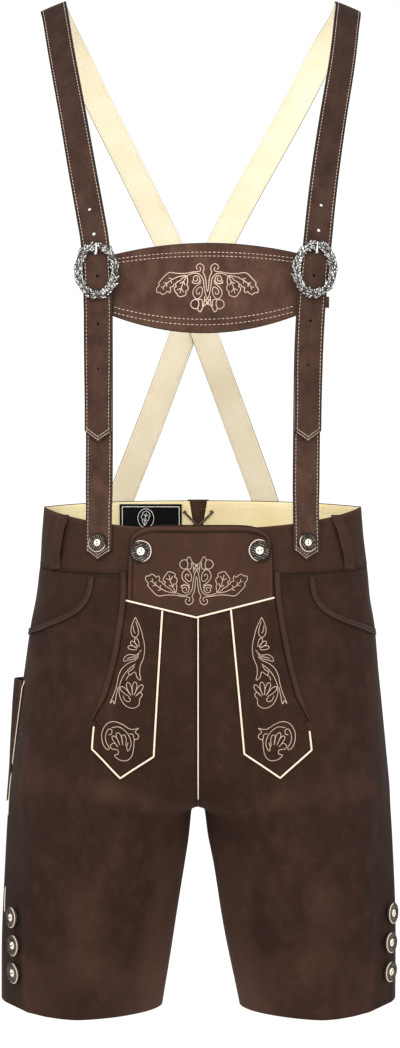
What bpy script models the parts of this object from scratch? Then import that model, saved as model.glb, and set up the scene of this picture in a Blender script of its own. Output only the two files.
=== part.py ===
"""Lederhosen: knee-length leather shorts with a drop flap and braces.

The garment keeps the form it has when worn, with nobody inside. Units are metres, +Z is up,
+X is the wearer's left and -Y the wearer's front. The origin lies midway between the two
shoulders, at the undersides of the braces.
"""

import math
from collections import namedtuple
from functools import lru_cache

import bmesh
import bpy
from mathutils import Matrix, Quaternion, Vector
from mathutils.bvhtree import BVHTree

MM = 0.001
RIGHT, LEFT = -1, 1                     # the wearer's sides, as the sign of x

# --- Leather, cloth and gaps -------------------------------------------------------------
WALL = 1.6 * MM                         # shorts leather
BAND_WALL = 1.8 * MM                    # waistband
LINING_WALL = 1.0 * MM                  # woven lining
LAYER_GAP = 0.5 * MM                    # between a panel and what lies on it
SEAM_HALF_GAP = 0.15 * MM               # each side of a seam

# --- Heights -----------------------------------------------------------------------------
WAIST_TOP_SIDE = -547 * MM              # top edge of the waistband over the hips
WAIST_TOP_FRONT_DIP = 24.3 * MM         # how far the top edge dips at the centre front
WAIST_TOP_BACK_RISE = 7.5 * MM          # how far it rises at the centre back
WAIST_SEAM_SIDE = -610.5 * MM           # seam under the waistband, over the hips
WAIST_SEAM_FRONT_DIP = 11 * MM
CROTCH = -874.5 * MM
HEM = -1094.5 * MM
LEG_EASE = 90 * MM                      # height over which the legs round off below it
LEG_SWEEP = 150 * MM                    # height over which the halves part into two legs
CROTCH_SWEEP = 110 * MM                 # height over which the centre seam curves under
BRIDGE_POWER = 3                        # how closely the cloth between the legs follows them

# --- Form of the shorts: one row a height, sizes in millimetres ---------------------------
# outer_right and outer_left are half widths, front and back are depths from the side seams,
# square is the superellipse power: 2 is an ellipse, more is squarer.
Section = namedtuple("Section", "z outer_right outer_left front back square")
SECTIONS = (
    Section(-535.0, 168.5, 178.0, 103.0, 105.0, 2.40),
    Section(-549.0, 169.3, 179.0, 104.0, 106.0, 2.40),
    Section(-580.0, 171.7, 181.5, 107.0, 110.0, 2.40),
    Section(-610.5, 173.5, 185.2, 110.5, 115.0, 2.40),
    Section(-650.0, 179.3, 189.4, 115.0, 123.0, 2.36),
    Section(-681.0, 185.3, 194.3, 118.0, 129.0, 2.32),
    Section(-738.0, 192.2, 199.0, 120.5, 134.0, 2.26),
    Section(-782.0, 198.0, 202.9, 120.0, 133.0, 2.20),
    Section(-848.0, 206.5, 210.1, 115.0, 126.0, 2.10),
    Section(-874.5, 208.8, 211.4, 112.0, 121.0, 2.06),
    Section(-918.5, 211.3, 213.8, 107.0, 113.0, 2.02),
    Section(-975.0, 213.9, 216.3, 100.0, 103.0, 2.00),
    Section(-1035.0, 215.7, 216.6, 94.5, 96.0, 1.98),
    Section(-1096.0, 217.0, 217.2, 91.0, 92.0, 1.62),
)

# Half of the gap between the legs, in millimetres, from the crotch down to the hem.
LegGap = namedtuple("LegGap", "z right left")
LEG_GAPS = (
    LegGap(-874.5, 0.15, 0.15),
    LegGap(-876.0, 4.2, 4.0),
    LegGap(-879.0, 6.4, 6.2),
    LegGap(-883.5, 7.3, 7.2),
    LegGap(-909.5, 10.2, 10.6),
    LegGap(-936.0, 14.4, 15.9),
    LegGap(-989.0, 23.0, 24.7),
    LegGap(-1042.0, 31.0, 34.6),
    LegGap(-1096.0, 39.4, 45.6),
)

# Share of the half ring's length that the front panel takes, from centre front to side seam.
SeamShare = namedtuple("SeamShare", "z share")
SIDE_SEAM = (
    SeamShare(-540.0, 0.495),
    SeamShare(-780.0, 0.490),
    SeamShare(-900.0, 0.465),
    SeamShare(-1096.0, 0.445),
)

PANEL_LEVELS = (-700, -730, -765, -800, -830, -852, -866, -872, -874.5,
                -879, -888, -910, -950, -1000, -1045, -1094.5)
FRONT_COLUMNS = 6                       # between the centre front and the pocket
POCKET_COLUMNS = 6
BACK_COLUMNS = 8
UPPER_ROWS = 3                          # between the waist seam and the first level
HEM_RISE = 8 * MM                       # how much higher the hem is at the outer side
HEM_RISE_START = -1000 * MM

# --- Waistband and its notch at the centre back --------------------------------------------
BAND_ROWS = (0.0, 0.29, 0.65, 1.0)
BAND_COLUMNS = 22
LINING_GAP = 0.3 * MM
LINING_INSETS = (1.2 * MM, 0.8 * MM, 0.5 * MM)      # from the seam, the top and the notch
NOTCH_HALF_WIDTH = 13 * MM
NOTCH_FOOT = -590 * MM
EYELET_X = 15.5 * MM
EYELET_HEIGHTS = (-553 * MM, -583.5 * MM)
EYELET_RADIUS = 2.0 * MM
LACE_RADIUS = 1.2 * MM
LACE_GAP = 0.8 * MM
KNOT_RADIUS = 2.6 * MM
KNOT_PLACES = (0.5, 1.0, 1.5, 2.0)       # knot radii beyond the lace's end
KNOT_SIZES = (0.85, 1.0, 0.85, 0.4)      # shares of its radius there
LACE_BEND = 0.8                          # share of its depth where it turns through a hole
LACE_LEAD = 0.75                         # share of the way out to an eyelet
LACE_RISE = 0.12                         # share of the height between the eyelets there
LACE_STRAIGHT = 0.7                      # where the outer run is flat
LACE_OVER = 1.05                         # depth of the upper of two crossed runs
CENTRE_STRIP = 2 * MM                    # each side of the centre back, taken as level
TONGUE_TOP = -538.5 * MM
TONGUE_FOOT = -622 * MM
TONGUE_HALF_WIDTH = 12 * MM
TONGUE_FOOT_HALF_WIDTH = 7 * MM
LABEL_START = 18.9 * MM                 # to the wearer's right of the centre back
LABEL_END = 90.7 * MM
LABEL_TOP = -543.5 * MM
LABEL_HEIGHT = 46 * MM
LABEL_WALL = 0.8 * MM
LABEL_GAP = 0.9 * MM

Loop = namedtuple("Loop", "place top foot")     # distances from the centre plane
BELT_LOOPS = {
    RIGHT: (Loop("front", 143.5, 152.5), Loop("back", 128.0, 132.0)),
    LEFT: (Loop("front", 147.5, 162.0), Loop("back", 130.0, 134.0)),
}
BELT_LOOP_WIDTH = 15 * MM
BELT_LOOP_WALL = 1.8 * MM
BELT_LOOP_STAND = 7.4 * MM
BELT_LOOP_MARGIN = 1.5 * MM
BELT_LOOP_STANDS = ((0.0, 0.0), (0.1, 0.0), (0.2, 1.0), (0.5, 1.0), (0.8, 1.0), (0.9, 0.0),
                    (1.0, 0.0))

# --- Side pockets: a quarter arc from the waist seam to the side seam ----------------------
POCKET_TOP_X = {RIGHT: 112 * MM, LEFT: 120 * MM}
POCKET_DEPTH = 54 * MM
POCKET_TAIL = 12 * MM                     # how much it drops besides, towards the side
POCKET_TAIL_POWER = 6
POCKET_SQUARE = 0.6                      # under 1 for a squarer corner
POCKET_SPACING = 1.35                    # spreads the spots evenly along its steep start
POCKET_EDGE_WIDTH = 7 * MM
POCKET_EDGE_WALL = 1.4 * MM
POCKET_EDGE_START = 0.02                 # of the pocket mouth's run
POCKET_EDGE_RUN = 0.95
POCKET_EDGE_STEPS = 14
FACING_DROP = 0.2 * MM
FACING_CLEARANCE = 0.6 * MM
FACING_CORNER = 0.35                    # where the facing starts along the first chord

# Knife pocket on the right side seam: its front and back edges behind the side plane, and
# how far it stands off the leg.
KnifeRow = namedtuple("KnifeRow", "z front back stand")
KNIFE_POCKET = (
    KnifeRow(-737.5, -18.0, 40.0, 8.8),
    KnifeRow(-760.0, -17.0, 40.0, 7.4),
    KnifeRow(-781.0, -15.0, 39.0, 5.7),
    KnifeRow(-806.0, -11.0, 37.0, 4.2),
    KnifeRow(-829.0, -8.0, 35.0, 2.4),
    KnifeRow(-850.0, -6.0, 33.0, 1.2),
    KnifeRow(-870.0, -5.0, 30.0, 0.4),
)
POCKET_SEWN_GAP = 0.6 * MM
KNIFE_POCKET_FULLNESS = 0.6              # power of the sine that bows its mouth out

# --- Drop flap, in the front view ----------------------------------------------------------
FLAP_SIDE_TOP = {RIGHT: 73.5 * MM, LEFT: 79.0 * MM}
FLAP_SIDE_FOOT = {RIGHT: 75.2 * MM, LEFT: 79.5 * MM}
FLAP_TOP = -567.5 * MM
FLAP_CORNER_DROP = 13 * MM
FLAP_CORNER_POWER = 8                    # a higher one gives tighter corners
FLAP_CORNER_INSET = 4 * MM
FLAP_FOOT = {RIGHT: -647.5 * MM, LEFT: -644.5 * MM}
FLAP_POINT = (-1.8 * MM, -665 * MM)
FLAP_WALL = 1.8 * MM
TAB_WALL = 1.6 * MM
BAND_STRIP_WALL = 2.4 * MM
PIPING_RADIUS = 1.0 * MM
SEAM_PIPING_RADIUS = 0.7 * MM
SEAM_PIPING_FOOT = -858 * MM
SEAM_PIPING_GAP = 0.9 * MM
PIPING_CLEARANCE = 1.35 * MM            # from a piping's middle to the leather beside it
PIPING_STEP = 10 * MM
PIPING_LIFT = 0.1 * MM
PIPING_DROP = 2.4 * MM                   # from the bib's piping to the ones under it

# Outline of a tab and the raised strip beside it, as distance from the centre front and
# height in millimetres.
Spot = namedtuple("Spot", "x z")
TAB_INNER = {
    RIGHT: (Spot(37.6, -658), Spot(44.9, -770), Spot(46.8, -811)),
    LEFT: (Spot(34.5, -657), Spot(48.6, -808), Spot(48.6, -808)),
}
TAB_POINT = {RIGHT: Spot(82.0, -834), LEFT: Spot(86.4, -834)}
TAB_OUTER = {
    RIGHT: (Spot(112.0, -804), Spot(109.5, -781), Spot(104.5, -773)),
    LEFT: (Spot(119.5, -805), Spot(117.0, -786), Spot(110.5, -773)),
}
STRIP_OUTER = {
    RIGHT: (Spot(82.5, -617), Spot(83.2, -648), Spot(91.0, -702), Spot(103.0, -748),
            Spot(112.5, -774)),
    LEFT: (Spot(87.2, -617), Spot(89.0, -648), Spot(98.0, -702), Spot(109.5, -748),
           Spot(118.0, -774)),
}
STRIP_WIDTH = 7.8 * MM
STRIP_FOOT = -774 * MM
STRIP_CLEARANCE = 0.8 * MM
TAB_TOP_SPAN = (0.5, 0.9)                # of the bib's half width
TAB_FOOT_CLEARANCE = 1.75 * MM           # from a slanting piping's middle

# --- Braces: one row a point on the wearer, sizes in millimetres, tilt in degrees -----------
# tilt is how far the outer edge of the strap turns in towards the wearer.
Row = namedtuple("Row", "x y z tilt")
LOWER_STRAP = {
    RIGHT: (
        Row(-106.1, -93.0, -604.8, 19.0),
        Row(-105.3, -92.0, -586.7, 19.0),
        Row(-105.1, -92.5, -560.0, 18.0),
        Row(-104.8, -94.5, -541.0, 17.5),
        Row(-104.3, -99.7, -479.0, 17.0),
        Row(-104.1, -104.5, -436.0, 17.0),
        Row(-104.7, -109.5, -381.0, 9.0),
        Row(-104.9, -113.5, -330.0, 5.0),
        Row(-105.1, -115.5, -300.0, 5.0),
    ),
    LEFT: (
        Row(114.0, -92.0, -604.8, 19.0),
        Row(114.8, -91.5, -586.7, 19.0),
        Row(114.3, -92.0, -560.0, 18.0),
        Row(114.2, -94.0, -541.0, 17.5),
        Row(114.5, -99.5, -479.0, 17.0),
        Row(114.8, -104.0, -436.0, 17.0),
        Row(116.3, -108.5, -381.0, 9.0),
        Row(119.1, -111.5, -330.0, 5.0),
        Row(121.5, -113.0, -298.5, 5.0),
    ),
}
UPPER_STRAP = {
    RIGHT: LOWER_STRAP[RIGHT][4:] + (
        Row(-108.3, -115.0, -267.0, 5.0),
        Row(-113.3, -112.0, -240.0, 8.0),
        Row(-122.7, -101.0, -189.0, 12.0),
        Row(-132.3, -84.0, -135.0, 18.0),
        Row(-143.0, -61.0, -79.0, 21.0),
        Row(-148.5, -46.0, -50.0, 22.0),
        Row(-153.7, -27.0, -21.0, 22.0),
        Row(-157.1, -12.0, -4.5, 22.0),
        Row(-158.6, 0.0, 0.0, 22.0),
        Row(-157.5, 13.0, -3.5, 22.0),
        Row(-152.0, 33.0, -14.0, 22.0),
        Row(-142.0, 56.0, -32.0, 21.0),
        Row(-129.0, 74.0, -56.0, 19.0),
        Row(-110.0, 92.0, -94.0, 15.0),
        Row(-86.5, 104.0, -140.0, 10.0),
        Row(-63.3, 111.0, -186.0, 7.0),
        Row(-36.5, 115.5, -241.0, 3.0),
        Row(-10.5, 116.5, -300.0, 0.0),
        Row(13.0, 114.5, -365.0, -2.0),
        Row(42.9, 110.0, -447.0, -7.0),
        Row(67.0, 104.5, -514.0, -11.0),
        Row(75.9, 102.0, -541.0, -14.0),
        Row(81.9, 100.0, -563.0, -15.0),
        Row(89.9, 99.0, -592.0, -16.0),
    ),
    LEFT: LOWER_STRAP[LEFT][4:] + (
        Row(125.3, -112.5, -267.0, 5.0),
        Row(128.4, -109.5, -240.0, 8.0),
        Row(134.8, -99.5, -189.0, 12.0),
        Row(143.0, -83.0, -135.0, 18.0),
        Row(152.8, -60.0, -79.0, 21.0),
        Row(157.2, -45.0, -50.0, 22.0),
        Row(161.0, -27.0, -21.0, 22.0),
        Row(163.6, -12.0, -4.5, 22.0),
        Row(163.2, 0.0, 0.0, 22.0),
        Row(162.6, 13.0, -3.5, 22.0),
        Row(156.5, 33.0, -14.0, 22.0),
        Row(143.5, 56.0, -32.0, 21.0),
        Row(129.5, 74.0, -56.0, 19.0),
        Row(109.0, 92.0, -94.0, 15.0),
        Row(83.5, 104.0, -139.0, 10.0),
        Row(56.8, 111.0, -186.0, 7.0),
        Row(27.5, 115.5, -241.0, 3.0),
        Row(0.5, 116.5, -300.0, 0.0),
        Row(-23.1, 114.5, -365.0, -2.0),
        Row(-53.1, 110.0, -447.0, -7.0),
        Row(-79.1, 104.5, -514.0, -11.0),
        Row(-89.1, 101.0, -541.0, -14.0),
        Row(-96.1, 99.0, -563.0, -16.0),
        Row(-104.6, 97.0, -590.0, -18.0),
    ),
}
STRAP_HALF_WIDTH = 15.2 * MM
STRAP_WALL = 1.6 * MM
STRAP_LINING_WALL = 0.9 * MM
LOWER_STRAP_WALL = 1.8 * MM
STRAP_POINT = 10 * MM                   # length of a strap's pointed end
STRAP_STEP = 16 * MM
STRAP_WAIST_GAP = 0.7 * MM
STRAP_HOLES = {
    RIGHT: (-235.3, -262.0, -283.0, -306.0, -355.6, -403.1),
    LEFT: (-230.4, -257.8, -281.3, -305.0, -352.4, -398.9),
}
STRAP_HOLE_RADIUS = 1.7 * MM
BAR_HEIGHT = {RIGHT: -300 * MM, LEFT: -298.5 * MM}
BAR_CENTRE_LIFT = 3.4 * MM
BAR_RADIUS = 1.2 * MM
BAR_LIFT = 7.7 * MM                     # the upper strap over the folded lower strap
TAIL_LIFT = 3.0 * MM                    # the upper strap's end over the lower strap
CROSSING_HEIGHT = -315 * MM
CROSSING_LIFT = 4.2 * MM                # the left upper strap over the right one
CROSSING_REACH = 150 * MM
BAR_REACH = 75 * MM
TAIL_AHEAD = 20 * MM                     # of the bar, where the tail's lift starts to fade
TAIL_FADE = 40 * MM
WAIST_APPROACH = 14 * MM                 # height over which the straps settle on the waist
BAR_BEND = 0.08                          # share of each run of the bar near its corners
FOLD_TUCK = 7 * MM
FOLD_TURNS = (25, 55, 90, 125, 155, 180)     # degrees round the bar
FOLD_SLOT = (5 * MM, 14 * MM, 13 * MM)

# --- Buckles --------------------------------------------------------------------------------
BUCKLE_HALF_WIDTH = 19.4 * MM           # to the middle of the band
BUCKLE_HALF_HEIGHT = 25.8 * MM
BUCKLE_BAND = 4.6 * MM
BUCKLE_THICK = 2.2 * MM
BUCKLE_LIFT = 13 * MM
BUCKLE_SEGMENTS = 32
BUCKLE_SIDES = 6
PRONG_RADIUS = 0.9 * MM
PRONG_GAP = 0.35 * MM
PRONG_START = (Spot(4.5, 3.9), Spot(8.2, 4.4))      # x is along the strap, z out from it
PRONG_THROUGH = (-2.0, 1.4, 4.2)        # out from the strap's underside at the hole
PRONG_END = (Spot(21.0, 14.6), Spot(23.5, 16.3), Spot(28.5, 16.6))
PRONG_HOLE = 2                          # which of the holes the prong is in
PRONG_HOOK = (250, 29, -22)             # degrees round the bar: start, end, step
PRONG_TIP = 0.6                         # radius of its end, as a share

# --- Crossbar -------------------------------------------------------------------------------
CHEST_FRONT = -122.9 * MM
CHEST_CURVE = 0.9                       # per metre
CHEST_FULLEST = -295 * MM
CROSSBAR_WALL = 2.6 * MM
CROSSBAR_END = {RIGHT: 119 * MM, LEFT: 118 * MM}
CROSSBAR_TOP = -271 * MM
CROSSBAR_TOP_X = 12 * MM
CROSSBAR_TOP_FALL = 1.13                # per metre
CROSSBAR_FOOT = -366 * MM
CROSSBAR_FOOT_RISE = 2.0                # per metre
CROSSBAR_FOOT_X = 6 * MM
CROSSBAR_TAB = (-326 * MM, -338 * MM)
CROSSBAR_TAB_END = 139 * MM
CROSSBAR_TAB_START = 1 * MM              # beyond the end of the crossbar

# --- Buttons --------------------------------------------------------------------------------
BUTTON_PROFILE = ((0.75, 0.0), (1.0, 1.2), (0.98, 2.6), (0.82, 3.3), (0.45, 2.7))
BUTTON_SEGMENTS = 14
BUTTON_GAP = 0.4 * MM
STRAP_BUTTON_RADIUS = 10.4 * MM
FLAP_BUTTON_RADIUS = 12 * MM
LEG_BUTTON_RADIUS = 11.5 * MM
STRAP_BUTTON_HEIGHT = -586.7 * MM
BACK_BUTTON_HEIGHT = -566 * MM
FLAP_BUTTON = {RIGHT: (-59.8, -596.0), LEFT: (64.1, -595.0)}
LEG_BUTTON_HEIGHTS = {RIGHT: (-990.8, -1020.4, -1050.2), LEFT: (-988.4, -1019.4, -1051.1)}
LEG_BUTTON_TURNS = {RIGHT: (32, 35.5, 36.5), LEFT: (22, 26, 27)}     # degrees, forward
LEG_BUTTON_LEANS = {RIGHT: 0, LEFT: 9}    # degrees that they lean forward off the leg
SEAT_SHARES = (0.0, 0.5, 0.8, 1.0)       # rings of a button's foot that its seat is felt at
SEAT_SPOKES = 12
SEAT_REACH = 20 * MM

SHARE_STEP = 0.002                       # small part of a ring's run, for slopes
HALVINGS = 40                            # of a range, to find a place on a ring

MATERIAL_TABLE = {
    "suede": ("45302a", 0.85, 0.0),
    "strap_leather": ("573d33", 0.75, 0.0),
    "lining": ("efe2b9", 0.85, 0.0),
    "piping": ("f0e2cb", 0.7, 0.0),
    "horn": ("2e211b", 0.35, 0.0),
    "silver": ("9b9a96", 0.35, 1.0),
    "label": ("14161a", 0.7, 0.0),
    "lace": ("8a735f", 0.8, 0.0),
}


# --- Tables and curves ---------------------------------------------------------------------

def clear_scene():
    """Remove every object that the file starts with."""
    for thing in list(bpy.data.objects):
        bpy.data.objects.remove(thing, do_unlink=True)


def smooth_value(rows, column, z):
    """Read one column of a table at height z (metres), on a smooth curve through its rows."""
    level = z / MM
    heights = [row.z for row in rows]
    values = [getattr(row, column) for row in rows]
    level = max(min(level, heights[0]), heights[-1])
    place = 0
    while place < len(rows) - 2 and level < heights[place + 1]:
        place += 1
    slopes = []
    for k in (place, place + 1):
        low, high = max(k - 1, 0), min(k + 1, len(rows) - 1)
        slopes.append((values[high] - values[low]) / (heights[high] - heights[low]))
    step = heights[place + 1] - heights[place]
    t = (level - heights[place]) / step
    return ((2 * t ** 3 - 3 * t ** 2 + 1) * values[place]
            + (t ** 3 - 2 * t ** 2 + t) * step * slopes[0]
            + (3 * t ** 2 - 2 * t ** 3) * values[place + 1]
            + (t ** 3 - t ** 2) * step * slopes[1])


def steps(count):
    """Shares 0 to 1 in count equal steps."""
    return [k / count for k in range(count + 1)]


# --- The garment's form --------------------------------------------------------------------

Form = namedtuple("Form", "centre half inner front back square bridge")


def oval(across, square):
    """Depth share of a superellipse at a share of its half width."""
    return (1 - min(abs(across), 1.0) ** square) ** (1 / square)


@lru_cache(maxsize=None)
def half_form(side, z):
    """Sizes of one side's ring at height z.

    half and inner are its half widths away from and towards the centre plane. Above the
    crotch the ring slowly becomes a leg, and bridge is how deep the cloth that spans the
    two legs still is at the centre plane.
    """
    width = smooth_value(SECTIONS, "outer_right" if side == RIGHT else "outer_left", z) * MM
    front = smooth_value(SECTIONS, "front", z) * MM
    back = smooth_value(SECTIONS, "back", z) * MM
    square = smooth_value(SECTIONS, "square", z)
    if z < CROTCH:
        gap = smooth_value(LEG_GAPS, "right" if side == RIGHT else "left", z) * MM
        drop = min((CROTCH - z) / LEG_EASE, 1.0)
        centre = (width + gap * drop ** 2 * (3 - 2 * drop)) / 2
        return Form(centre, width - centre, centre - gap, front, back, square, 0.0)
    rise = min((z - CROTCH) / LEG_SWEEP, 1.0)
    parting = (1 - rise) ** 2 * (1 + 2 * rise)
    centre = parting * width / 2
    seam = max(0.0, 1 - (z - CROTCH) / CROTCH_SWEEP) ** 1.5
    wanted = oval(seam / (2 - seam), square)
    there = oval(centre / (width - centre), square)
    bridge = max(wanted ** BRIDGE_POWER - there ** BRIDGE_POWER, 0.0)
    half = width - centre
    return Form(centre, half, half, front, back, square, bridge)


def depth_share(form, x):
    """Depth of a ring at x from the centre plane, as a share of its full depth."""
    reach = form.half if x > form.centre else form.inner
    depth = oval((x - form.centre) / reach, form.square)
    if form.bridge > 0 and x < form.centre:
        fade = math.cos(math.pi / 2 * x / form.centre) ** (2 * BRIDGE_POWER)
        depth = (depth ** BRIDGE_POWER + form.bridge * fade) ** (1 / BRIDGE_POWER)
    return depth


def form_point(side, z, share):
    """Point of the form at height z.

    share runs from 0 at the centre front to 0.5 at the side and 1 at the centre back; below
    the crotch it runs from the inseam round to the inseam.
    """
    form = half_form(side, round(z, 7))
    start = math.asin(min(1.0, form.centre / form.inner) ** (form.square / 2))
    share = min(max(share, 0.0), 1.0)
    turn = 2 * min(share, 1 - share) * (math.pi / 2 + start) - start
    reach = form.half if turn > 0 else -form.inner
    x = max(form.centre + reach * abs(math.sin(turn)) ** (2 / form.square), 0.0)
    depth = -form.front if share < 0.5 else form.back
    return Vector((side * x, depth * depth_share(form, x), z))


def form_normal(side, z, share):
    """Outward direction of the form there."""
    low, high = max(share - 2 * SHARE_STEP, 0.0), min(share + 2 * SHARE_STEP, 1.0)
    across = form_point(side, z, high) - form_point(side, z, low)
    rise = 1.5 * MM
    upright = form_point(side, z + rise, share) - form_point(side, z - rise, share)
    return (across.cross(upright) * side).normalized()


def lifted(side, z, share, lift):
    """Point of the form moved out along its normal."""
    return form_point(side, z, share) + form_normal(side, z, share) * lift


def seam_share(z):
    """Where the side seam lies on the ring at height z."""
    return smooth_value(SIDE_SEAM, "share", z)


def share_gap(side, z, share, gap=SEAM_HALF_GAP):
    """How far the share moves over a gap in metres along the ring."""
    low, high = max(share - SHARE_STEP, 0.0), min(share + SHARE_STEP, 1.0)
    run = (form_point(side, z, high) - form_point(side, z, low)).length
    return gap * (high - low) / run


def share_at_x(side, z, x, front=True):
    """Share at which the ring stands x metres from the centre plane, in front or behind."""
    low, high = (0.0, seam_share(z)) if front else (1.0, seam_share(z))
    for _ in range(HALVINGS):
        middle = (low + high) / 2
        if abs(form_point(side, z, middle).x) < x:
            low = middle
        else:
            high = middle
    return (low + high) / 2


def front_spot(x, z, lift=0.0):
    """Point on the front face at x from the centre plane and height z, moved out by lift."""
    def surface(px, pz):
        form = half_form(LEFT if px >= 0 else RIGHT, round(pz, 7))
        return Vector((px, -form.front * depth_share(form, abs(px)), pz))

    step = 0.5 * MM
    across = surface(x + step, z) - surface(x - step, z)
    upright = surface(x, z + step) - surface(x, z - step)
    normal = across.cross(upright).normalized()
    return surface(x, z) + normal * lift


def waist_top(side, share):
    """Height of the waistband's top edge at a share of the ring."""
    point = form_point(side, WAIST_TOP_SIDE, share)
    form = half_form(side, WAIST_TOP_SIDE)
    if point.y < 0:
        return WAIST_TOP_SIDE - WAIST_TOP_FRONT_DIP * (point.y / form.front) ** 2
    return WAIST_TOP_SIDE + WAIST_TOP_BACK_RISE * (point.y / form.back) ** 2


def waist_seam(side, share):
    """Height of the seam under the waistband at a share of the ring."""
    point = form_point(side, WAIST_SEAM_SIDE, share)
    form = half_form(side, WAIST_SEAM_SIDE)
    return WAIST_SEAM_SIDE + WAIST_SEAM_FRONT_DIP * min(point.y, 0.0) / form.front


def pocket_curve(side, t):
    """Share and height of the pocket mouth, t from 0 at the waist seam to 1 at the side."""
    top = share_at_x(side, WAIST_SEAM_SIDE, POCKET_TOP_X[side])
    turn = math.pi / 2 * t ** POCKET_SPACING
    share = top + (seam_share(WAIST_SEAM_SIDE) - top) * (1 - math.cos(turn) ** POCKET_SQUARE)
    drop = POCKET_DEPTH * math.sin(turn) ** POCKET_SQUARE + POCKET_TAIL * t ** POCKET_TAIL_POWER
    return share, waist_seam(side, top) - drop


# --- Solids --------------------------------------------------------------------------------

def build_materials():
    """One Principled material for each finish in the table."""
    made = {}
    for name, (code, roughness, metallic) in MATERIAL_TABLE.items():
        material = bpy.data.materials.new(name)
        material.use_nodes = True
        shader = material.node_tree.nodes["Principled BSDF"]
        channels = [int(code[k:k + 2], 16) / 255 for k in (0, 2, 4)]
        linear = [c / 12.92 if c <= 0.04045 else ((c + 0.055) / 1.055) ** 2.4
                  for c in channels]
        shader.inputs["Base Color"].default_value = (*linear, 1.0)
        shader.inputs["Roughness"].default_value = roughness
        shader.inputs["Metallic"].default_value = metallic
        material.diffuse_color = (*linear, 1.0)
        made[name] = material
    return made


def add_solid(name, vertices, faces, material, smooth_angle=math.radians(35)):
    """Make one object from points and faces, facing out and shaded smooth."""
    mesh = bpy.data.meshes.new(name)
    mesh.from_pydata([tuple(v) for v in vertices], [], faces)
    shape = bmesh.new()
    shape.from_mesh(mesh)
    bmesh.ops.recalc_face_normals(shape, faces=shape.faces)
    shape.to_mesh(mesh)
    shape.free()
    mesh.materials.append(MATERIALS[material])
    mesh.shade_smooth()
    mesh.set_sharp_from_angle(angle=smooth_angle)
    thing = bpy.data.objects.new(name, mesh)
    bpy.context.scene.collection.objects.link(thing)
    return thing


def slab(name, outer, inner, material):
    """Closed solid between two grids of points of the same rows and columns.

    Both faces are split along the same diagonals, so that slabs laid on each other keep
    their gap where they twist.
    """
    rows, columns = len(outer), len(outer[0])
    vertices = [p for row in outer for p in row] + [p for row in inner for p in row]
    deep = rows * columns
    faces = []
    for r in range(rows - 1):
        for c in range(columns - 1):
            a, b = r * columns + c, r * columns + c + 1
            d, e = a + columns, b + columns
            faces += [(a, b, e), (a, e, d)]
            faces += [(deep + a, deep + e, deep + b), (deep + a, deep + d, deep + e)]
    rim = [c for c in range(columns)]
    rim += [r * columns + columns - 1 for r in range(1, rows)]
    rim += [(rows - 1) * columns + c for c in range(columns - 2, -1, -1)]
    rim += [r * columns for r in range(rows - 2, 0, -1)]
    for a, b in zip(rim, rim[1:] + rim[:1]):
        faces.append((a, deep + a, deep + b, b))
    return add_solid(name, vertices, faces, material)


def tube(name, points, radii, sides, material):
    """Closed tube along points, with a radius at each, its ends capped."""
    vertices, faces = [], []
    tangent = (points[1] - points[0]).normalized()
    across = tangent.orthogonal().normalized()
    for k, point in enumerate(points):
        ahead = points[min(k + 1, len(points) - 1)] - points[max(k - 1, 0)]
        turn = tangent.rotation_difference(ahead.normalized())
        across = turn @ across
        tangent = ahead.normalized()
        other = tangent.cross(across)
        for s in range(sides):
            angle = 2 * math.pi * s / sides
            vertices.append(point + across * radii[k] * math.cos(angle)
                            + other * radii[k] * math.sin(angle))
    for k in range(len(points) - 1):
        for s in range(sides):
            a, b = k * sides + s, k * sides + (s + 1) % sides
            faces.append((a, b, b + sides, a + sides))
    faces.append(tuple(range(sides)))
    faces.append(tuple(range((len(points) - 1) * sides, len(points) * sides)))
    return add_solid(name, vertices, faces, material)


# --- Shorts --------------------------------------------------------------------------------

def hem_level(side, z, share):
    """Height of a level that rises a little to the outer side towards the hem."""
    weight = max(0.0, (HEM_RISE_START - z) / (HEM_RISE_START - HEM))
    point = form_point(side, z, share)
    form = half_form(side, z)
    outward = max(0.0, (abs(point.x) - form.centre) / form.half)
    return z + HEM_RISE * weight * outward ** 2


def front_panel(side, name):
    """Front of one leg: from the waist seam and pocket mouth down to the hem."""
    top_share = share_at_x(side, WAIST_SEAM_SIDE, POCKET_TOP_X[side])
    columns = []
    for t in steps(FRONT_COLUMNS):
        share = top_share * t
        columns.append((share, waist_seam(side, share) - SEAM_HALF_GAP))
    for t in steps(POCKET_COLUMNS)[1:]:
        share, height = pocket_curve(side, t)
        columns.append((share, height))
    whole = seam_share(WAIST_SEAM_SIDE)
    first_level = PANEL_LEVELS[0] * MM
    outer, inner = [], []
    levels = [("share", k / UPPER_ROWS) for k in range(UPPER_ROWS)]
    levels += [("level", level * MM) for level in PANEL_LEVELS]
    for kind, value in levels:
        row_out, row_in = [], []
        for share, top in columns:
            z = value if kind == "level" else top + (first_level - top) * value
            start = share_gap(side, z, 0.0)
            end = seam_share(z) - share_gap(side, z, seam_share(z))
            place = start + (end - start) * share / whole
            z = hem_level(side, z, place)
            row_out.append(lifted(side, z, place, 0.0))
            row_in.append(lifted(side, z, place, -WALL))
        outer.append(row_out)
        inner.append(row_in)
    return slab(name, outer, inner, "suede")


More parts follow.
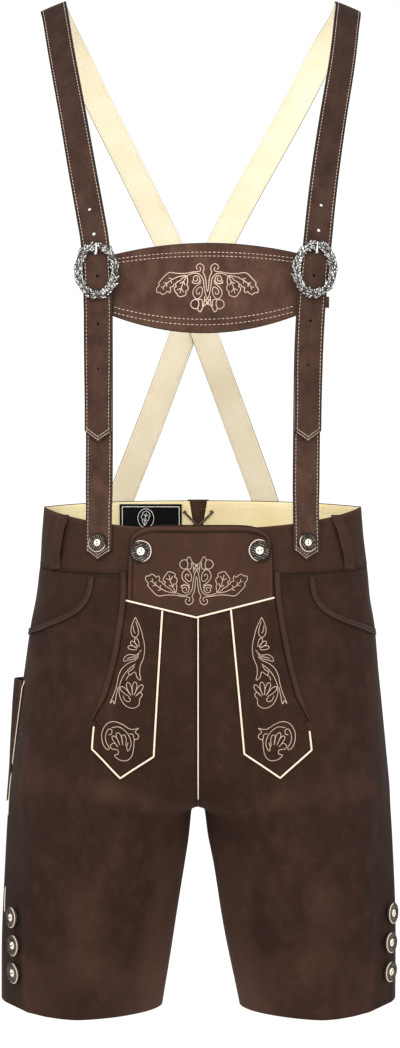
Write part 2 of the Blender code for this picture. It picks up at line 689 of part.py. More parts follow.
def back_panel(side, name):
    """Back of one leg: from the waist seam down to the hem."""
    first_level = PANEL_LEVELS[0] * MM
    outer, inner = [], []
    levels = [("share", k / UPPER_ROWS) for k in range(UPPER_ROWS)]
    levels += [("level", level * MM) for level in PANEL_LEVELS]
    for kind, value in levels:
        row_out, row_in = [], []
        for t in steps(BACK_COLUMNS):
            rough = seam_share(WAIST_SEAM_SIDE) * (1 - t) + t
            top = waist_seam(side, rough) - SEAM_HALF_GAP
            z = value if kind == "level" else top + (first_level - top) * value
            start = seam_share(z) + share_gap(side, z, seam_share(z))
            end = 1 - share_gap(side, z, 1.0)
            place = start + (end - start) * t
            z = hem_level(side, z, place)
            row_out.append(lifted(side, z, place, 0.0))
            row_in.append(lifted(side, z, place, -WALL))
        outer.append(row_out)
        inner.append(row_in)
    return slab(name, outer, inner, "suede")


def waistband(side, name):
    """Band of one side, from the centre front round to the notch at the centre back."""
    return band_solid(side, name, 0.0, -BAND_WALL, (0.0, 0.0, 0.0), "suede")


def waist_lining(side, name):
    """Woven lining inside the band."""
    outer = -BAND_WALL - LINING_GAP
    return band_solid(side, name, outer, outer - LINING_WALL, LINING_INSETS, "lining")


def band_solid(side, name, outer_lift, inner_lift, insets, material):
    """Wall that follows the waist between the waist seam and the top edge.

    insets holds how far it keeps back from the seam, the top edge and the notch.
    """
    seam_inset, top_inset, notch_inset = insets
    outer, inner = [], []
    for v in BAND_ROWS:
        row_out, row_in = [], []
        for t in steps(BAND_COLUMNS):
            low = waist_seam(side, t) + SEAM_HALF_GAP + seam_inset
            z = low + (waist_top(side, t) - top_inset - low) * v
            start = share_gap(side, z, 0.0)
            end = 1 - share_gap(side, z, 1.0, notch_half_width(z) + notch_inset)
            place = start + (end - start) * t
            row_out.append(lifted(side, z, place, outer_lift))
            row_in.append(lifted(side, z, place, inner_lift))
        outer.append(row_out)
        inner.append(row_in)
    return slab(name, outer, inner, material)


def notch_half_width(z):
    """Half width of the notch at the centre back at height z."""
    opening = (z - NOTCH_FOOT) / (WAIST_TOP_SIDE + WAIST_TOP_BACK_RISE - NOTCH_FOOT)
    return max(SEAM_HALF_GAP, NOTCH_HALF_WIDTH * opening)


def pocket_facing(side, name):
    """What shows inside the pocket mouth, between the waist seam and the pocket edge."""
    corners = [pocket_curve(side, t) for t in steps(POCKET_COLUMNS)]
    first = tuple(a + (b - a) * FACING_CORNER for a, b in zip(corners[0], corners[1]))
    outer, inner = [], []
    for v in steps(3):
        row_out, row_in = [], []
        for k, (share, low) in enumerate([first] + corners[1:]):
            top = waist_seam(side, share) - FACING_CLEARANCE
            z = top + (low + FACING_CLEARANCE - top) * v
            place = share * seam_share(z) / seam_share(WAIST_SEAM_SIDE)
            if k == 0:
                place += share_gap(side, z, place, FACING_CLEARANCE)
            if k == POCKET_COLUMNS:
                place -= share_gap(side, z, place)
            row_out.append(lifted(side, z, place, -FACING_DROP))
            row_in.append(lifted(side, z, place, -FACING_DROP - WALL))
        outer.append(row_out)
        inner.append(row_in)
    return slab(name, outer, inner, "suede")


def pocket_edge(side, name):
    """Folded edge that runs along the pocket mouth."""
    outer, inner = [], []
    spots = []
    for t in steps(POCKET_EDGE_STEPS):
        share, z = pocket_curve(side, POCKET_EDGE_START + POCKET_EDGE_RUN * t)
        spots.append((share * seam_share(z) / seam_share(WAIST_SEAM_SIDE), z))
    for k, (share, z) in enumerate(spots):
        before, after = spots[max(k - 1, 0)], spots[min(k + 1, len(spots) - 1)]
        per_metre = share_gap(side, z, share, 1.0)
        run = Vector(((after[0] - before[0]) / per_metre, after[1] - before[1])).normalized()
        row_out, row_in = [], []
        for offset in (-0.5, 0.0, 0.5):
            step = Vector((-run.y, run.x)) * POCKET_EDGE_WIDTH * offset
            place, height = share + step.x * per_metre, z + step.y
            row_out.append(lifted(side, height, place, LAYER_GAP + POCKET_EDGE_WALL))
            row_in.append(lifted(side, height, place, LAYER_GAP))
        outer.append(row_out)
        inner.append(row_in)
    return slab(name, outer, inner, "suede")


def knife_pocket(side, name):
    """Narrow pocket on the side seam, gaping at its mouth and flat at its foot."""
    outer, inner = [], []
    for row in KNIFE_POCKET:
        z = row.z * MM
        start, end = (share_at_y(side, z, y * MM) for y in (row.front, row.back))
        row_out, row_in = [], []
        for u in steps(8):
            bow = math.sin(math.pi * u) ** KNIFE_POCKET_FULLNESS
            stand = POCKET_SEWN_GAP + row.stand * MM * bow
            place = start + (end - start) * u
            row_out.append(lifted(side, z, place, stand + WALL))
            row_in.append(lifted(side, z, place, stand))
        outer.append(row_out)
        inner.append(row_in)
    return slab(name, outer, inner, "suede")


def share_at_y(side, z, y):
    """Share at which the ring's outer face stands y metres behind the side seam's plane."""
    low, high = 0.2, 0.8
    for _ in range(HALVINGS):
        middle = (low + high) / 2
        if form_point(side, z, middle).y < y:
            low = middle
        else:
            high = middle
    return (low + high) / 2


def belt_loop(side, name, top_x, foot_x, front):
    """Upright loop on the waistband that stands off far enough for a belt."""
    share = share_at_x(side, WAIST_SEAM_SIDE, foot_x, front)
    low = waist_seam(side, share) + BELT_LOOP_MARGIN
    high = waist_top(side, share) - BELT_LOOP_MARGIN
    outer, inner = [], []
    for v, stand in BELT_LOOP_STANDS:
        z = low + (high - low) * v
        place = share_at_x(side, z, foot_x + (top_x - foot_x) * v, front)
        half = share_gap(side, z, place, BELT_LOOP_WIDTH / 2)
        lift = LAYER_GAP + stand * BELT_LOOP_STAND
        edges = (place - half, place + half)
        outer.append([lifted(side, z, edge, lift + BELT_LOOP_WALL) for edge in edges])
        inner.append([lifted(side, z, edge, lift) for edge in edges])
    return slab(name, outer, inner, "suede")


# --- The drop flap ---------------------------------------------------------------------------

def front_slab(name, grid, base, wall, material):
    """Closed solid on the front face, from a grid of (x, z), base above the face."""
    outer = [[front_spot(x, z, base + wall) for x, z in row] for row in grid]
    inner = [[front_spot(x, z, base) for x, z in row] for row in grid]
    return slab(name, outer, inner, material)


def flap_foot(x):
    """Height of the flap's lower edge, a shallow V, at x."""
    side = LEFT if x > FLAP_POINT[0] else RIGHT
    end = side * FLAP_SIDE_FOOT[side]
    share = (x - FLAP_POINT[0]) / (end - FLAP_POINT[0])
    return FLAP_POINT[1] + (FLAP_FOOT[side] - FLAP_POINT[1]) * share


def drop_flap(name):
    """Bib that buttons on the waistband, with rounded upper corners."""
    grid = []
    for v in steps(6):
        row = []
        for u in steps(14):
            across = 2 * u - 1
            side = LEFT if across > 0 else RIGHT
            edge = FLAP_SIDE_TOP[side] + (FLAP_SIDE_FOOT[side] - FLAP_SIDE_TOP[side]) * v
            edge -= FLAP_CORNER_INSET * (1 - v) ** FLAP_CORNER_POWER
            x = across * edge
            top = FLAP_TOP - FLAP_CORNER_DROP * abs(across) ** FLAP_CORNER_POWER
            foot = flap_foot(x) + PIPING_CLEARANCE
            row.append((x, top + (foot - top) * v))
        grid.append(row)
    return front_slab(name, grid, LAYER_GAP, FLAP_WALL, "suede")


def outline_x(spots, z):
    """Distance from the centre front of a chain of spots at height z."""
    level = z / MM
    chain = sorted(spots, key=lambda spot: -spot.z)
    if level >= chain[0].z:
        return chain[0].x * MM
    for a, b in zip(chain, chain[1:]):
        if a.z >= level >= b.z and a.z > b.z:
            return (a.x + (b.x - a.x) * (level - a.z) / (b.z - a.z)) * MM
    return chain[-1].x * MM


def tab_foot(side, t):
    """Height of the tab's pointed foot, t from 0 at its inner edge to 1 at its outer edge."""
    inner, point, outer = TAB_INNER[side][-1], TAB_POINT[side], TAB_OUTER[side][0]
    middle = (point.x - inner.x) / (outer.x - inner.x)
    if t < middle:
        return (inner.z + (point.z - inner.z) * t / middle) * MM
    return (point.z + (outer.z - point.z) * (t - middle) / (1 - middle)) * MM


def flap_tab(side, name):
    """Pointed panel under the bib, inset from the piping that edges it."""
    inner, point, outer = TAB_INNER[side][-1], TAB_POINT[side], TAB_OUTER[side][0]
    middle = (point.x - inner.x) / (outer.x - inner.x)
    columns = [middle * k / 3 for k in range(4)]
    columns += [middle + (1 - middle) * k / 3 for k in range(1, 4)]
    grid = []
    for v in steps(10):
        row = []
        for t in columns:
            near, far = TAB_TOP_SPAN
            top = flap_foot(side * (near + (far - near) * t) * FLAP_SIDE_FOOT[side])
            top -= PIPING_CLEARANCE
            foot = tab_foot(side, t) + TAB_FOOT_CLEARANCE
            z = top + (foot - top) * v
            near = outline_x(TAB_INNER[side], z) + PIPING_CLEARANCE
            far = outline_x(TAB_OUTER[side], z) - PIPING_CLEARANCE
            if z > STRIP_FOOT:
                far = outline_x(STRIP_OUTER[side], z) - STRIP_WIDTH - STRIP_CLEARANCE
            x = side * (near + (far - near) * t)
            if v == 0:
                z = flap_foot(x) - PIPING_CLEARANCE
            row.append((x, z))
        grid.append(row)
    return front_slab(name, grid, LAYER_GAP, TAB_WALL, "suede")


def flap_strip(side, name):
    """Raised strip beside the tab's outer edge."""
    grid = []
    for spot in sorted(STRIP_OUTER[side], key=lambda spot: -spot.z):
        z = spot.z * MM
        grid.append([(side * (spot.x * MM - STRIP_WIDTH * k), z) for k in (0.0, 0.5, 1.0)])
    fine = []
    for a, b in zip(grid, grid[1:]):
        for t in (0.0, 1 / 3, 2 / 3):
            fine.append([(p[0] + (q[0] - p[0]) * t, p[1] + (q[1] - p[1]) * t)
                         for p, q in zip(a, b)])
    fine.append(grid[-1])
    return front_slab(name, fine, LAYER_GAP, BAND_STRIP_WALL, "suede")


def piping(name, corners, radius, lift):
    """Round cord laid on the front face along a chain of (x, z) corners."""
    points = []
    for a, b in zip(corners, corners[1:]):
        count = max(1, round(math.dist(a, b) / PIPING_STEP))
        for k in range(count):
            t = k / count
            points.append(front_spot(a[0] + (b[0] - a[0]) * t, a[1] + (b[1] - a[1]) * t, lift))
    points.append(front_spot(*corners[-1], lift))
    return tube(name, points, [radius] * len(points), 6, "piping")


def build_piping():
    """All of the light piping on the front."""
    lift = LAYER_GAP + PIPING_RADIUS + PIPING_LIFT
    ends = {side: (side * FLAP_SIDE_FOOT[side], FLAP_FOOT[side]) for side in (RIGHT, LEFT)}
    piping("flap_piping", [ends[RIGHT], FLAP_POINT, ends[LEFT]], PIPING_RADIUS, lift)
    for side, word in ((RIGHT, "right"), (LEFT, "left")):
        top, _, low = TAB_INNER[side]
        chain = [(side * top.x * MM, top.z * MM - PIPING_DROP), (side * low.x * MM, low.z * MM)]
        chain += [(side * spot.x * MM, spot.z * MM)
                  for spot in (TAB_POINT[side],) + TAB_OUTER[side][:2]]
        piping(f"tab_piping_{word}", chain, PIPING_RADIUS, lift)
    seam_top = FLAP_POINT[1] - PIPING_DROP
    seam = [(0.0, seam_top), (0.0, SEAM_PIPING_FOOT)]
    piping("seam_piping", seam, SEAM_PIPING_RADIUS, SEAM_PIPING_RADIUS + SEAM_PIPING_GAP)


# --- Braces ----------------------------------------------------------------------------------

Frame = namedtuple("Frame", "point across out")


def spline(rows, count_step):
    """Smooth chain through table rows: points, tilts, spaced about count_step apart."""
    places = [Vector((row.x, row.y, row.z)) * MM for row in rows]
    tilts = [math.radians(row.tilt) for row in rows]
    chain = []
    for k in range(len(places) - 1):
        before, after = max(k - 1, 0), min(k + 2, len(places) - 1)
        span = (places[k + 1] - places[k]).length
        count = max(1, round(span / count_step))
        lead = (places[k + 1] - places[before]) * 0.5
        trail = (places[after] - places[k]) * 0.5
        if before == k:
            lead = places[k + 1] - places[k]
        if after == k + 1:
            trail = places[k + 1] - places[k]
        for s in range(count):
            t = s / count
            point = (places[k] * (2 * t ** 3 - 3 * t ** 2 + 1) + lead * (t ** 3 - 2 * t ** 2 + t)
                     + places[k + 1] * (3 * t ** 2 - 2 * t ** 3) + trail * (t ** 3 - t ** 2))
            chain.append((point, tilts[k] * (1 - t) + tilts[k + 1] * t))
    chain.append((places[-1], tilts[-1]))
    return chain


def strap_frames(side, chain):
    """Frames along a brace: the point on the wearer, the direction across and outward."""
    frames = []
    for k, (point, tilt) in enumerate(chain):
        ahead = chain[min(k + 1, len(chain) - 1)][0] - chain[max(k - 1, 0)][0]
        ahead.normalize()
        level = Vector((side, 0.0, 0.0))
        across = (level - ahead * level.dot(ahead)).normalized()
        out = across.cross(ahead) * side
        across_tilted = across * math.cos(tilt) - out * math.sin(tilt)
        out_tilted = out * math.cos(tilt) + across * math.sin(tilt)
        frames.append(Frame(point, across_tilted, out_tilted))
    return frames


def run_lengths(frames):
    """Length run up to each frame."""
    runs = [0.0]
    for a, b in zip(frames, frames[1:]):
        runs.append(runs[-1] + (b.point - a.point).length)
    return runs


def clear_of_waist(frames, gap):
    """Lay the frames that reach the waistband flat on it, a gap away."""
    moved = []
    for frame in frames:
        x, y, z = frame.point
        across, out = frame.across, frame.out
        weight = min(max((WAIST_TOP_SIDE - z) / WAIST_APPROACH + 1, 0.0), 1.0)
        if weight > 0:
            side = LEFT if x > 0 else RIGHT
            level = max(z, WAIST_SEAM_SIDE)
            place = share_at_x(side, level, abs(x), y < 0)
            along = across.cross(out)
            out = out.lerp(form_normal(side, level, place), weight).normalized()
            turned = out.cross(along).normalized()
            across = turned if turned.dot(across) > 0 else -turned
            limit = abs(form_point(side, level, place).y) + gap
            y = math.copysign(max(abs(y), limit), y)
        moved.append(Frame(Vector((x, y, z)), across, out))
    return moved


def ribbon(name, frames, widths, lifts, wall, material):
    """Flat strap along frames, of the half width and lift given for each."""
    outer, inner = [], []
    for frame, half, lift in zip(frames, widths, lifts):
        edges = [frame.point + frame.across * half * k for k in (-1, 1)]
        outer.append([edge + frame.out * (lift + wall) for edge in edges])
        inner.append([edge + frame.out * lift for edge in edges])
    return slab(name, outer, inner, material)


def pointed(runs, point_length, half, at_start=False):
    """Half widths that taper to a point over the last stretch of a strap."""
    total = runs[-1]
    widths = []
    for run in runs:
        left = run if at_start else total - run
        widths.append(max(half * min(left / point_length, 1.0), 0.25 * MM))
    return widths


def insert_run(frames, run):
    """Add a frame at a length along the chain."""
    runs = run_lengths(frames)
    for k in range(len(frames) - 1):
        if runs[k] < run < runs[k + 1]:
            t = (run - runs[k]) / (runs[k + 1] - runs[k])
            a, b = frames[k], frames[k + 1]
            middle = Frame(a.point.lerp(b.point, t), a.across.lerp(b.across, t).normalized(),
                           a.out.lerp(b.out, t).normalized())
            return frames[:k + 1] + [middle] + frames[k + 1:]
    return frames


def bump(distance, reach):
    """1 at no distance, falling smoothly to 0 at reach."""
    return 0.5 + 0.5 * math.cos(math.pi * min(abs(distance) / reach, 1.0))


def upper_strap_frames(side):
    """Frames of an upper strap, from its pointed end over the shoulder to the back."""
    frames = strap_frames(side, spline(UPPER_STRAP[side], STRAP_STEP))
    frames = clear_of_waist(frames, STRAP_WAIST_GAP)
    frames = insert_run(frames, STRAP_POINT)
    return insert_run(frames, run_lengths(frames)[-1] - STRAP_POINT)


def upper_strap_lifts(side, frames):
    """How far an upper strap stands off the wearer along its run."""
    runs = run_lengths(frames)
    bar = min(range(len(frames)), key=lambda k: abs(frames[k].point.z - BAR_HEIGHT[side])
              + (1 if frames[k].point.y > 0 else 0))
    cross = min(range(len(frames)), key=lambda k: abs(frames[k].point.z - CROSSING_HEIGHT)
                + (1 if frames[k].point.y < 0 else 0))
    lifts = []
    for k, run in enumerate(runs):
        over_bar = BAR_LIFT * bump(run - runs[bar], BAR_REACH)
        tail = TAIL_LIFT * min(max((runs[bar] + TAIL_AHEAD - run) / TAIL_FADE, 0.0), 1.0)
        lift = max(over_bar, tail)
        if side == LEFT:
            lift = max(lift, CROSSING_LIFT * bump(run - runs[cross], CROSSING_REACH))
        lifts.append(lift)
    return lifts


def place_at_height(frames, lifts, z):
    """Point and outward direction on a strap's front run at height z."""
    for k in range(len(frames) - 1):
        a, b = frames[k], frames[k + 1]
        if a.point.z <= z <= b.point.z:
            t = (z - a.point.z) / (b.point.z - a.point.z)
            out = a.out.lerp(b.out, t).normalized()
            return a.point.lerp(b.point, t) + out * (lifts[k] * (1 - t) + lifts[k + 1] * t), out
    return frames[0].point, frames[0].out


def upper_strap(side, word):
    """Leather of an upper strap and the lining under it, with the adjusting holes."""
    frames = upper_strap_frames(side)
    runs = run_lengths(frames)
    lifts = upper_strap_lifts(side, frames)
    widths = [min(a, b) for a, b in zip(pointed(runs, STRAP_POINT, STRAP_HALF_WIDTH, True),
                                        pointed(runs, STRAP_POINT, STRAP_HALF_WIDTH))]
    raised = [lift + STRAP_LINING_WALL + LINING_GAP for lift in lifts]
    leather = ribbon(f"upper_strap_{word}", frames, widths, raised, STRAP_WALL,
                     "strap_leather")
    lining_widths = [max(half - 0.4 * MM, 0.2 * MM) for half in widths]
    lining = ribbon(f"upper_strap_lining_{word}", frames, lining_widths, lifts,
                    STRAP_LINING_WALL, "lining")
    holes = []
    for height in STRAP_HOLES[side]:
        middle, out = place_at_height(frames, lifts, height * MM)
        holes.append((middle, out))
    for thing in (leather, lining):
        pierce(thing, holes, STRAP_HOLE_RADIUS, 12 * MM)


def lower_strap(side, word):
    """Strap from the waistband button up to the buckle, folded over the buckle's bar."""
    frames = strap_frames(side, spline(LOWER_STRAP[side], STRAP_STEP))
    frames = clear_of_waist(frames, STRAP_WAIST_GAP)
    frames = insert_run(frames, STRAP_POINT)
    runs = run_lengths(frames)
    widths = pointed(runs, STRAP_POINT, STRAP_HALF_WIDTH, True)
    last = frames[-1]
    up = last.across.cross(last.out) * side
    if up.z < 0:
        up = -up
    middle = last.point + last.out * BAR_CENTRE_LIFT
    radius = BAR_CENTRE_LIFT
    for degrees in FOLD_TURNS:
        turn = math.radians(degrees)
        out = last.out * math.cos(turn) - up * math.sin(turn)
        frames.append(Frame(middle - out * radius, last.across, out))
        widths.append(STRAP_HALF_WIDTH)
    tuck = frames[-1]
    frames.append(Frame(tuck.point - up * FOLD_TUCK, tuck.across, tuck.out))
    widths.append(STRAP_HALF_WIDTH)
    strap = ribbon(f"lower_strap_{word}", frames, widths, [0.0] * len(frames),
                   LOWER_STRAP_WALL, "strap_leather")
    slot = bmesh.new()
    bmesh.ops.create_cube(slot, size=1.0)
    turn = Matrix((last.across, last.out, up)).transposed().to_4x4()
    place = Matrix.Translation(middle) @ turn @ Matrix.Diagonal((*FOLD_SLOT, 1.0))
    bmesh.ops.transform(slot, matrix=place, verts=slot.verts)
    cut(strap, slot, f"cutter_slot_{word}")


def cut(thing, shape, name):
    """Take a bmesh shape away from an object."""
    bmesh.ops.recalc_face_normals(shape, faces=shape.faces)
    mesh = bpy.data.meshes.new(name)
    shape.to_mesh(mesh)
    shape.free()
    cutter = bpy.data.objects.new(name, mesh)
    bpy.context.scene.collection.objects.link(cutter)
    cutter.hide_render = True
    cutter.display_type = "WIRE"
    modifier = thing.modifiers.new("cut", "BOOLEAN")
    modifier.operation = "DIFFERENCE"
    modifier.solver = "EXACT"
    modifier.object = cutter


def pierce(thing, holes, radius, reach):
    """Cut round holes, each given as its middle and direction."""
    shape = bmesh.new()
    for middle, direction in holes:
        turn = direction.to_track_quat("Z", "Y").to_matrix().to_4x4()
        bmesh.ops.create_cone(shape, cap_ends=True, segments=10, radius1=radius,
                              radius2=radius, depth=2 * reach,
                              matrix=Matrix.Translation(middle) @ turn)
    cut(thing, shape, f"cutter_{thing.name}")


def chest(x, z, lift=0.0):
    """Point of the crossbar's outer face at x and height z, moved out by lift."""
    def surface(px, pz):
        low = min(pz - CHEST_FULLEST, 0.0)
        return Vector((px, CHEST_FRONT + CHEST_CURVE * (px ** 2 + low ** 2), pz))

    step = 1 * MM
    across = surface(x + step, z) - surface(x - step, z)
    upright = surface(x, z + step) - surface(x, z - step)
    return surface(x, z) + across.cross(upright).normalized() * lift


def crossbar(name):
    """Chest piece between the braces, with a short tab at its left end."""
    start, end = -CROSSBAR_END[RIGHT], CROSSBAR_END[LEFT]
    columns = [start + (end - start) * t for t in steps(18)]
    columns += [end + CROSSBAR_TAB_START, (end + CROSSBAR_TAB_END) / 2, CROSSBAR_TAB_END]
    grid = []
    for v in steps(5):
        row = []
        for x in columns:
            top = CROSSBAR_TOP - CROSSBAR_TOP_FALL * (x - CROSSBAR_TOP_X) ** 2
            foot = CROSSBAR_FOOT + CROSSBAR_FOOT_RISE * (x - CROSSBAR_FOOT_X) ** 2
            if x > end:
                top, foot = CROSSBAR_TAB
            row.append((x, top + (foot - top) * v))
        grid.append(row)
    outer = [[chest(x, z) for x, z in row] for row in grid]
    inner = [[chest(x, z, -CROSSBAR_WALL) for x, z in row] for row in grid]
    return slab(name, outer, inner, "strap_leather")


def buckle_place(side):
    """Bar's frame of a buckle: its middle on the wearer, across, out and up."""
    frames = strap_frames(side, spline(LOWER_STRAP[side], STRAP_STEP))
    last = frames[-1]
    up = last.out.cross(last.across)
    if up.z < 0:
        up = -up
    return last.point, last.across, last.out, up


def buckle(side, word):
    """Oval ring in front of the strap with a bar behind it, and the prong on the bar."""
    point, across, out, up = buckle_place(side)
    vertices, faces = [], []
    for k in range(BUCKLE_SEGMENTS):
        turn = 2 * math.pi * k / BUCKLE_SEGMENTS
        radial = across * math.cos(turn) + up * math.sin(turn)
        middle = (point + out * BUCKLE_LIFT + across * BUCKLE_HALF_WIDTH * math.cos(turn)
                  + up * BUCKLE_HALF_HEIGHT * math.sin(turn))
        for s in range(BUCKLE_SIDES):
            angle = 2 * math.pi * s / BUCKLE_SIDES
            vertices.append(middle + radial * BUCKLE_BAND * math.cos(angle)
                            + out * BUCKLE_THICK * math.sin(angle))
    count = len(vertices)
    for k in range(BUCKLE_SEGMENTS):
        for s in range(BUCKLE_SIDES):
            a, b = k * BUCKLE_SIDES + s, k * BUCKLE_SIDES + (s + 1) % BUCKLE_SIDES
            faces.append((a, b, (b + BUCKLE_SIDES) % count, (a + BUCKLE_SIDES) % count))
    ring_part = add_solid(f"buckle_{word}", vertices, faces, "silver")
    reach = BUCKLE_HALF_WIDTH
    level, top = out * BAR_CENTRE_LIFT, out * BUCKLE_LIFT
    corners = [point + across * -reach + top, point + across * -reach + level,
               point + across * reach + level, point + across * reach + top]
    chain = []
    for a, b in zip(corners, corners[1:]):
        chain += [a.lerp(b, t) for t in (0.0, BAR_BEND, 1 - BAR_BEND)]
    chain.append(corners[-1])
    rod = tube(f"cutter_rod_{word}", chain, [BAR_RADIUS] * len(chain), 6, "silver")
    rod.hide_render = True
    rod.display_type = "WIRE"
    join = ring_part.modifiers.new("bar", "BOOLEAN")
    join.operation = "UNION"
    join.solver = "EXACT"
    join.object = rod
    middle = point + out * BAR_CENTRE_LIFT
    hook = BAR_RADIUS + PRONG_GAP + PRONG_RADIUS
    path = []
    for degrees in range(*PRONG_HOOK):
        turn = math.radians(degrees)
        path.append(middle + (up * math.cos(turn) - out * math.sin(turn)) * hook)
    frames = upper_strap_frames(side)
    hole, direction = place_at_height(frames, upper_strap_lifts(side, frames),
                                      STRAP_HOLES[side][PRONG_HOLE] * MM)
    path += [point + (up * spot.x + out * spot.z) * MM for spot in PRONG_START]
    path += [hole + direction * lift * MM for lift in PRONG_THROUGH]
    path += [point + (up * spot.x + out * spot.z) * MM for spot in PRONG_END]
    radii = [PRONG_RADIUS] * (len(path) - 1) + [PRONG_RADIUS * PRONG_TIP]
    tube(f"buckle_prong_{word}", path, radii, 6, "silver")


# --- Buttons, tongue, lace and label ----------------------------------------------------------

def button(name, place, out, radius):
    """Round horn button with a shallow dish, sitting at place and facing out."""
    turn = out.to_track_quat("Z", "Y").to_matrix()
    vertices, faces = [], []
    for share, height in BUTTON_PROFILE:
        for s in range(BUTTON_SEGMENTS):
            angle = 2 * math.pi * s / BUTTON_SEGMENTS
            spot = Vector((math.cos(angle) * share * radius, math.sin(angle) * share * radius,
                           height * MM))
            vertices.append(place + turn @ spot)
    rows = len(BUTTON_PROFILE)
    for r in range(rows - 1):
        for s in range(BUTTON_SEGMENTS):
            a, b = r * BUTTON_SEGMENTS + s, r * BUTTON_SEGMENTS + (s + 1) % BUTTON_SEGMENTS
            faces.append((a, b, b + BUTTON_SEGMENTS, a + BUTTON_SEGMENTS))
    faces.append(tuple(range(BUTTON_SEGMENTS)))
    faces.append(tuple(range((rows - 1) * BUTTON_SEGMENTS, rows * BUTTON_SEGMENTS)))
    return add_solid(name, vertices, faces, "horn")


def seat(thing, place, out, radius):
    """Lowest height along out at which a flat disc of that radius clears the object."""
    faces = []
    for face in thing.data.polygons:
        corners = tuple(face.vertices)
        for k in range(len(corners)):
            faces.append((corners[k - 2], corners[k - 1], corners[k]))
    tree = BVHTree.FromPolygons([v.co for v in thing.data.vertices], faces)
    across = out.orthogonal().normalized()
    other = out.cross(across)
    highest = 0.0
    for share in SEAT_SHARES:
        for s in range(SEAT_SPOKES):
            turn = 2 * math.pi * s / SEAT_SPOKES
            spot = place + (across * math.cos(turn) + other * math.sin(turn)) * share * radius
            hit = tree.ray_cast(spot + out * SEAT_REACH, -out, SEAT_REACH * 1.5)
            if hit[0] is not None:
                highest = max(highest, (hit[0] - place).dot(out))
    return place + out * (highest + BUTTON_GAP)


def place_button(name, holder, place, out, radius):
    """Button that rests on the object it is sewn to or holds."""
    return button(name, seat(holder, place, out, radius), out, radius)


def build_buttons():
    """Every button, each on what it fastens."""
    made = bpy.data.objects
    for side, word in ((RIGHT, "right"), (LEFT, "left")):
        frames = clear_of_waist(strap_frames(side, spline(LOWER_STRAP[side], STRAP_STEP)),
                                STRAP_WAIST_GAP)
        frame = min(frames, key=lambda f: abs(f.point.z - STRAP_BUTTON_HEIGHT))
        place_button(f"strap_button_{word}", made[f"lower_strap_{word}"], frame.point,
                     frame.out, STRAP_BUTTON_RADIUS)
        x, z = FLAP_BUTTON[side]
        base = front_spot(x * MM, z * MM)
        out = (front_spot(x * MM, z * MM, 1 * MM) - base).normalized()
        place_button(f"flap_button_{word}", made["drop_flap"], base, out, FLAP_BUTTON_RADIUS)
        back = [f for f in upper_strap_frames(side) if f.point.y > 0]
        frame = min(back, key=lambda f: abs(f.point.z - BACK_BUTTON_HEIGHT))
        place_button(f"back_button_{word}", made[f"upper_strap_{word}"], frame.point,
                     frame.out, STRAP_BUTTON_RADIUS)
        leg = zip(LEG_BUTTON_HEIGHTS[side], LEG_BUTTON_TURNS[side])
        for number, (height, turn) in enumerate(leg, 1):
            z = height * MM
            form = half_form(side, z)
            x = form.centre + form.half * math.cos(math.radians(turn))
            place = share_at_x(side, z, x)
            out = form_normal(side, z, place)
            out.rotate(Quaternion((0, 0, 1), -side * math.radians(LEG_BUTTON_LEANS[side])))
            place_button(f"leg_button_{word}_{number}", made[f"front_panel_{word}"],
                         form_point(side, z, place), out, LEG_BUTTON_RADIUS)


def back_spot(x, z, lift=0.0):
    """Point on the back face at x and height z, moved out by lift."""
    side = LEFT if x >= 0 else RIGHT
    share = share_at_x(side, z, abs(x), front=False)
    point = form_point(side, z, share)
    normal = form_normal(side, z, share)
    if abs(x) < CENTRE_STRIP:
        normal = Vector((0.0, normal.y, normal.z)).normalized()
        point = Vector((x, point.y, z))
    return point + normal * lift


def back_tongue(name):
    """Leather tongue in the notch, sewn on under the notch's foot."""
    outer, inner = [], []
    for v in steps(6):
        z = TONGUE_TOP + (TONGUE_FOOT - TONGUE_TOP) * v
        half = TONGUE_HALF_WIDTH + (TONGUE_FOOT_HALF_WIDTH - TONGUE_HALF_WIDTH) * v
        spots = [(-1 + 2 * u) * half for u in steps(4)]
        outer.append([back_spot(x, z, LAYER_GAP + WALL) for x in spots])
        inner.append([back_spot(x, z, LAYER_GAP) for x in spots])
    return slab(name, outer, inner, "suede")


def back_lace(name):
    """Lace through the four eyelets: crossed inside, straight outside, knotted above."""
    inside = -BAND_WALL - LINING_GAP - LINING_WALL - LACE_RADIUS - LACE_GAP
    outside = LAYER_GAP + WALL + LACE_RADIUS + LACE_GAP
    x, high, low = EYELET_X, EYELET_HEIGHTS[0], EYELET_HEIGHTS[1]
    deeper = inside - 2 * LACE_RADIUS - LACE_GAP
    centre, rise, lead = (high + low) / 2, (high - low) * LACE_RISE, x * LACE_LEAD
    bend_in, bend_out, over = inside * LACE_BEND, outside * LACE_BEND, inside * LACE_OVER
    route = [(x, high, LACE_RADIUS), (x, high, 0.0), (x, high, bend_in),
             (lead, high - rise, inside), (0.0, centre, inside), (-lead, low + rise, inside),
             (-x, low, bend_in), (-x, low, 0.0), (-x, low, bend_out),
             (-x * LACE_STRAIGHT, low, outside), (0.0, low, outside),
             (x * LACE_STRAIGHT, low, outside),
             (x, low, bend_out), (x, low, 0.0), (x, low, bend_in),
             (lead, low + rise, over), (0.0, centre, deeper), (-lead, high - rise, over),
             (-x, high, bend_in), (-x, high, 0.0), (-x, high, LACE_RADIUS)]
    places = [back_spot(*spot) for spot in route]
    radii = [LACE_RADIUS] * len(places)
    knot = Vector((0.0, 1.0, 0.0)) * KNOT_RADIUS
    for end in (0, -1):
        tip = places[end]
        swell = [tip + knot * k for k in KNOT_PLACES]
        sizes = [KNOT_RADIUS * k for k in KNOT_SIZES]
        if end == 0:
            places = swell[::-1] + places
            radii = sizes[::-1] + radii
        else:
            places = places + swell
            radii = radii + sizes
    return tube(name, places, radii, 6, "lace")


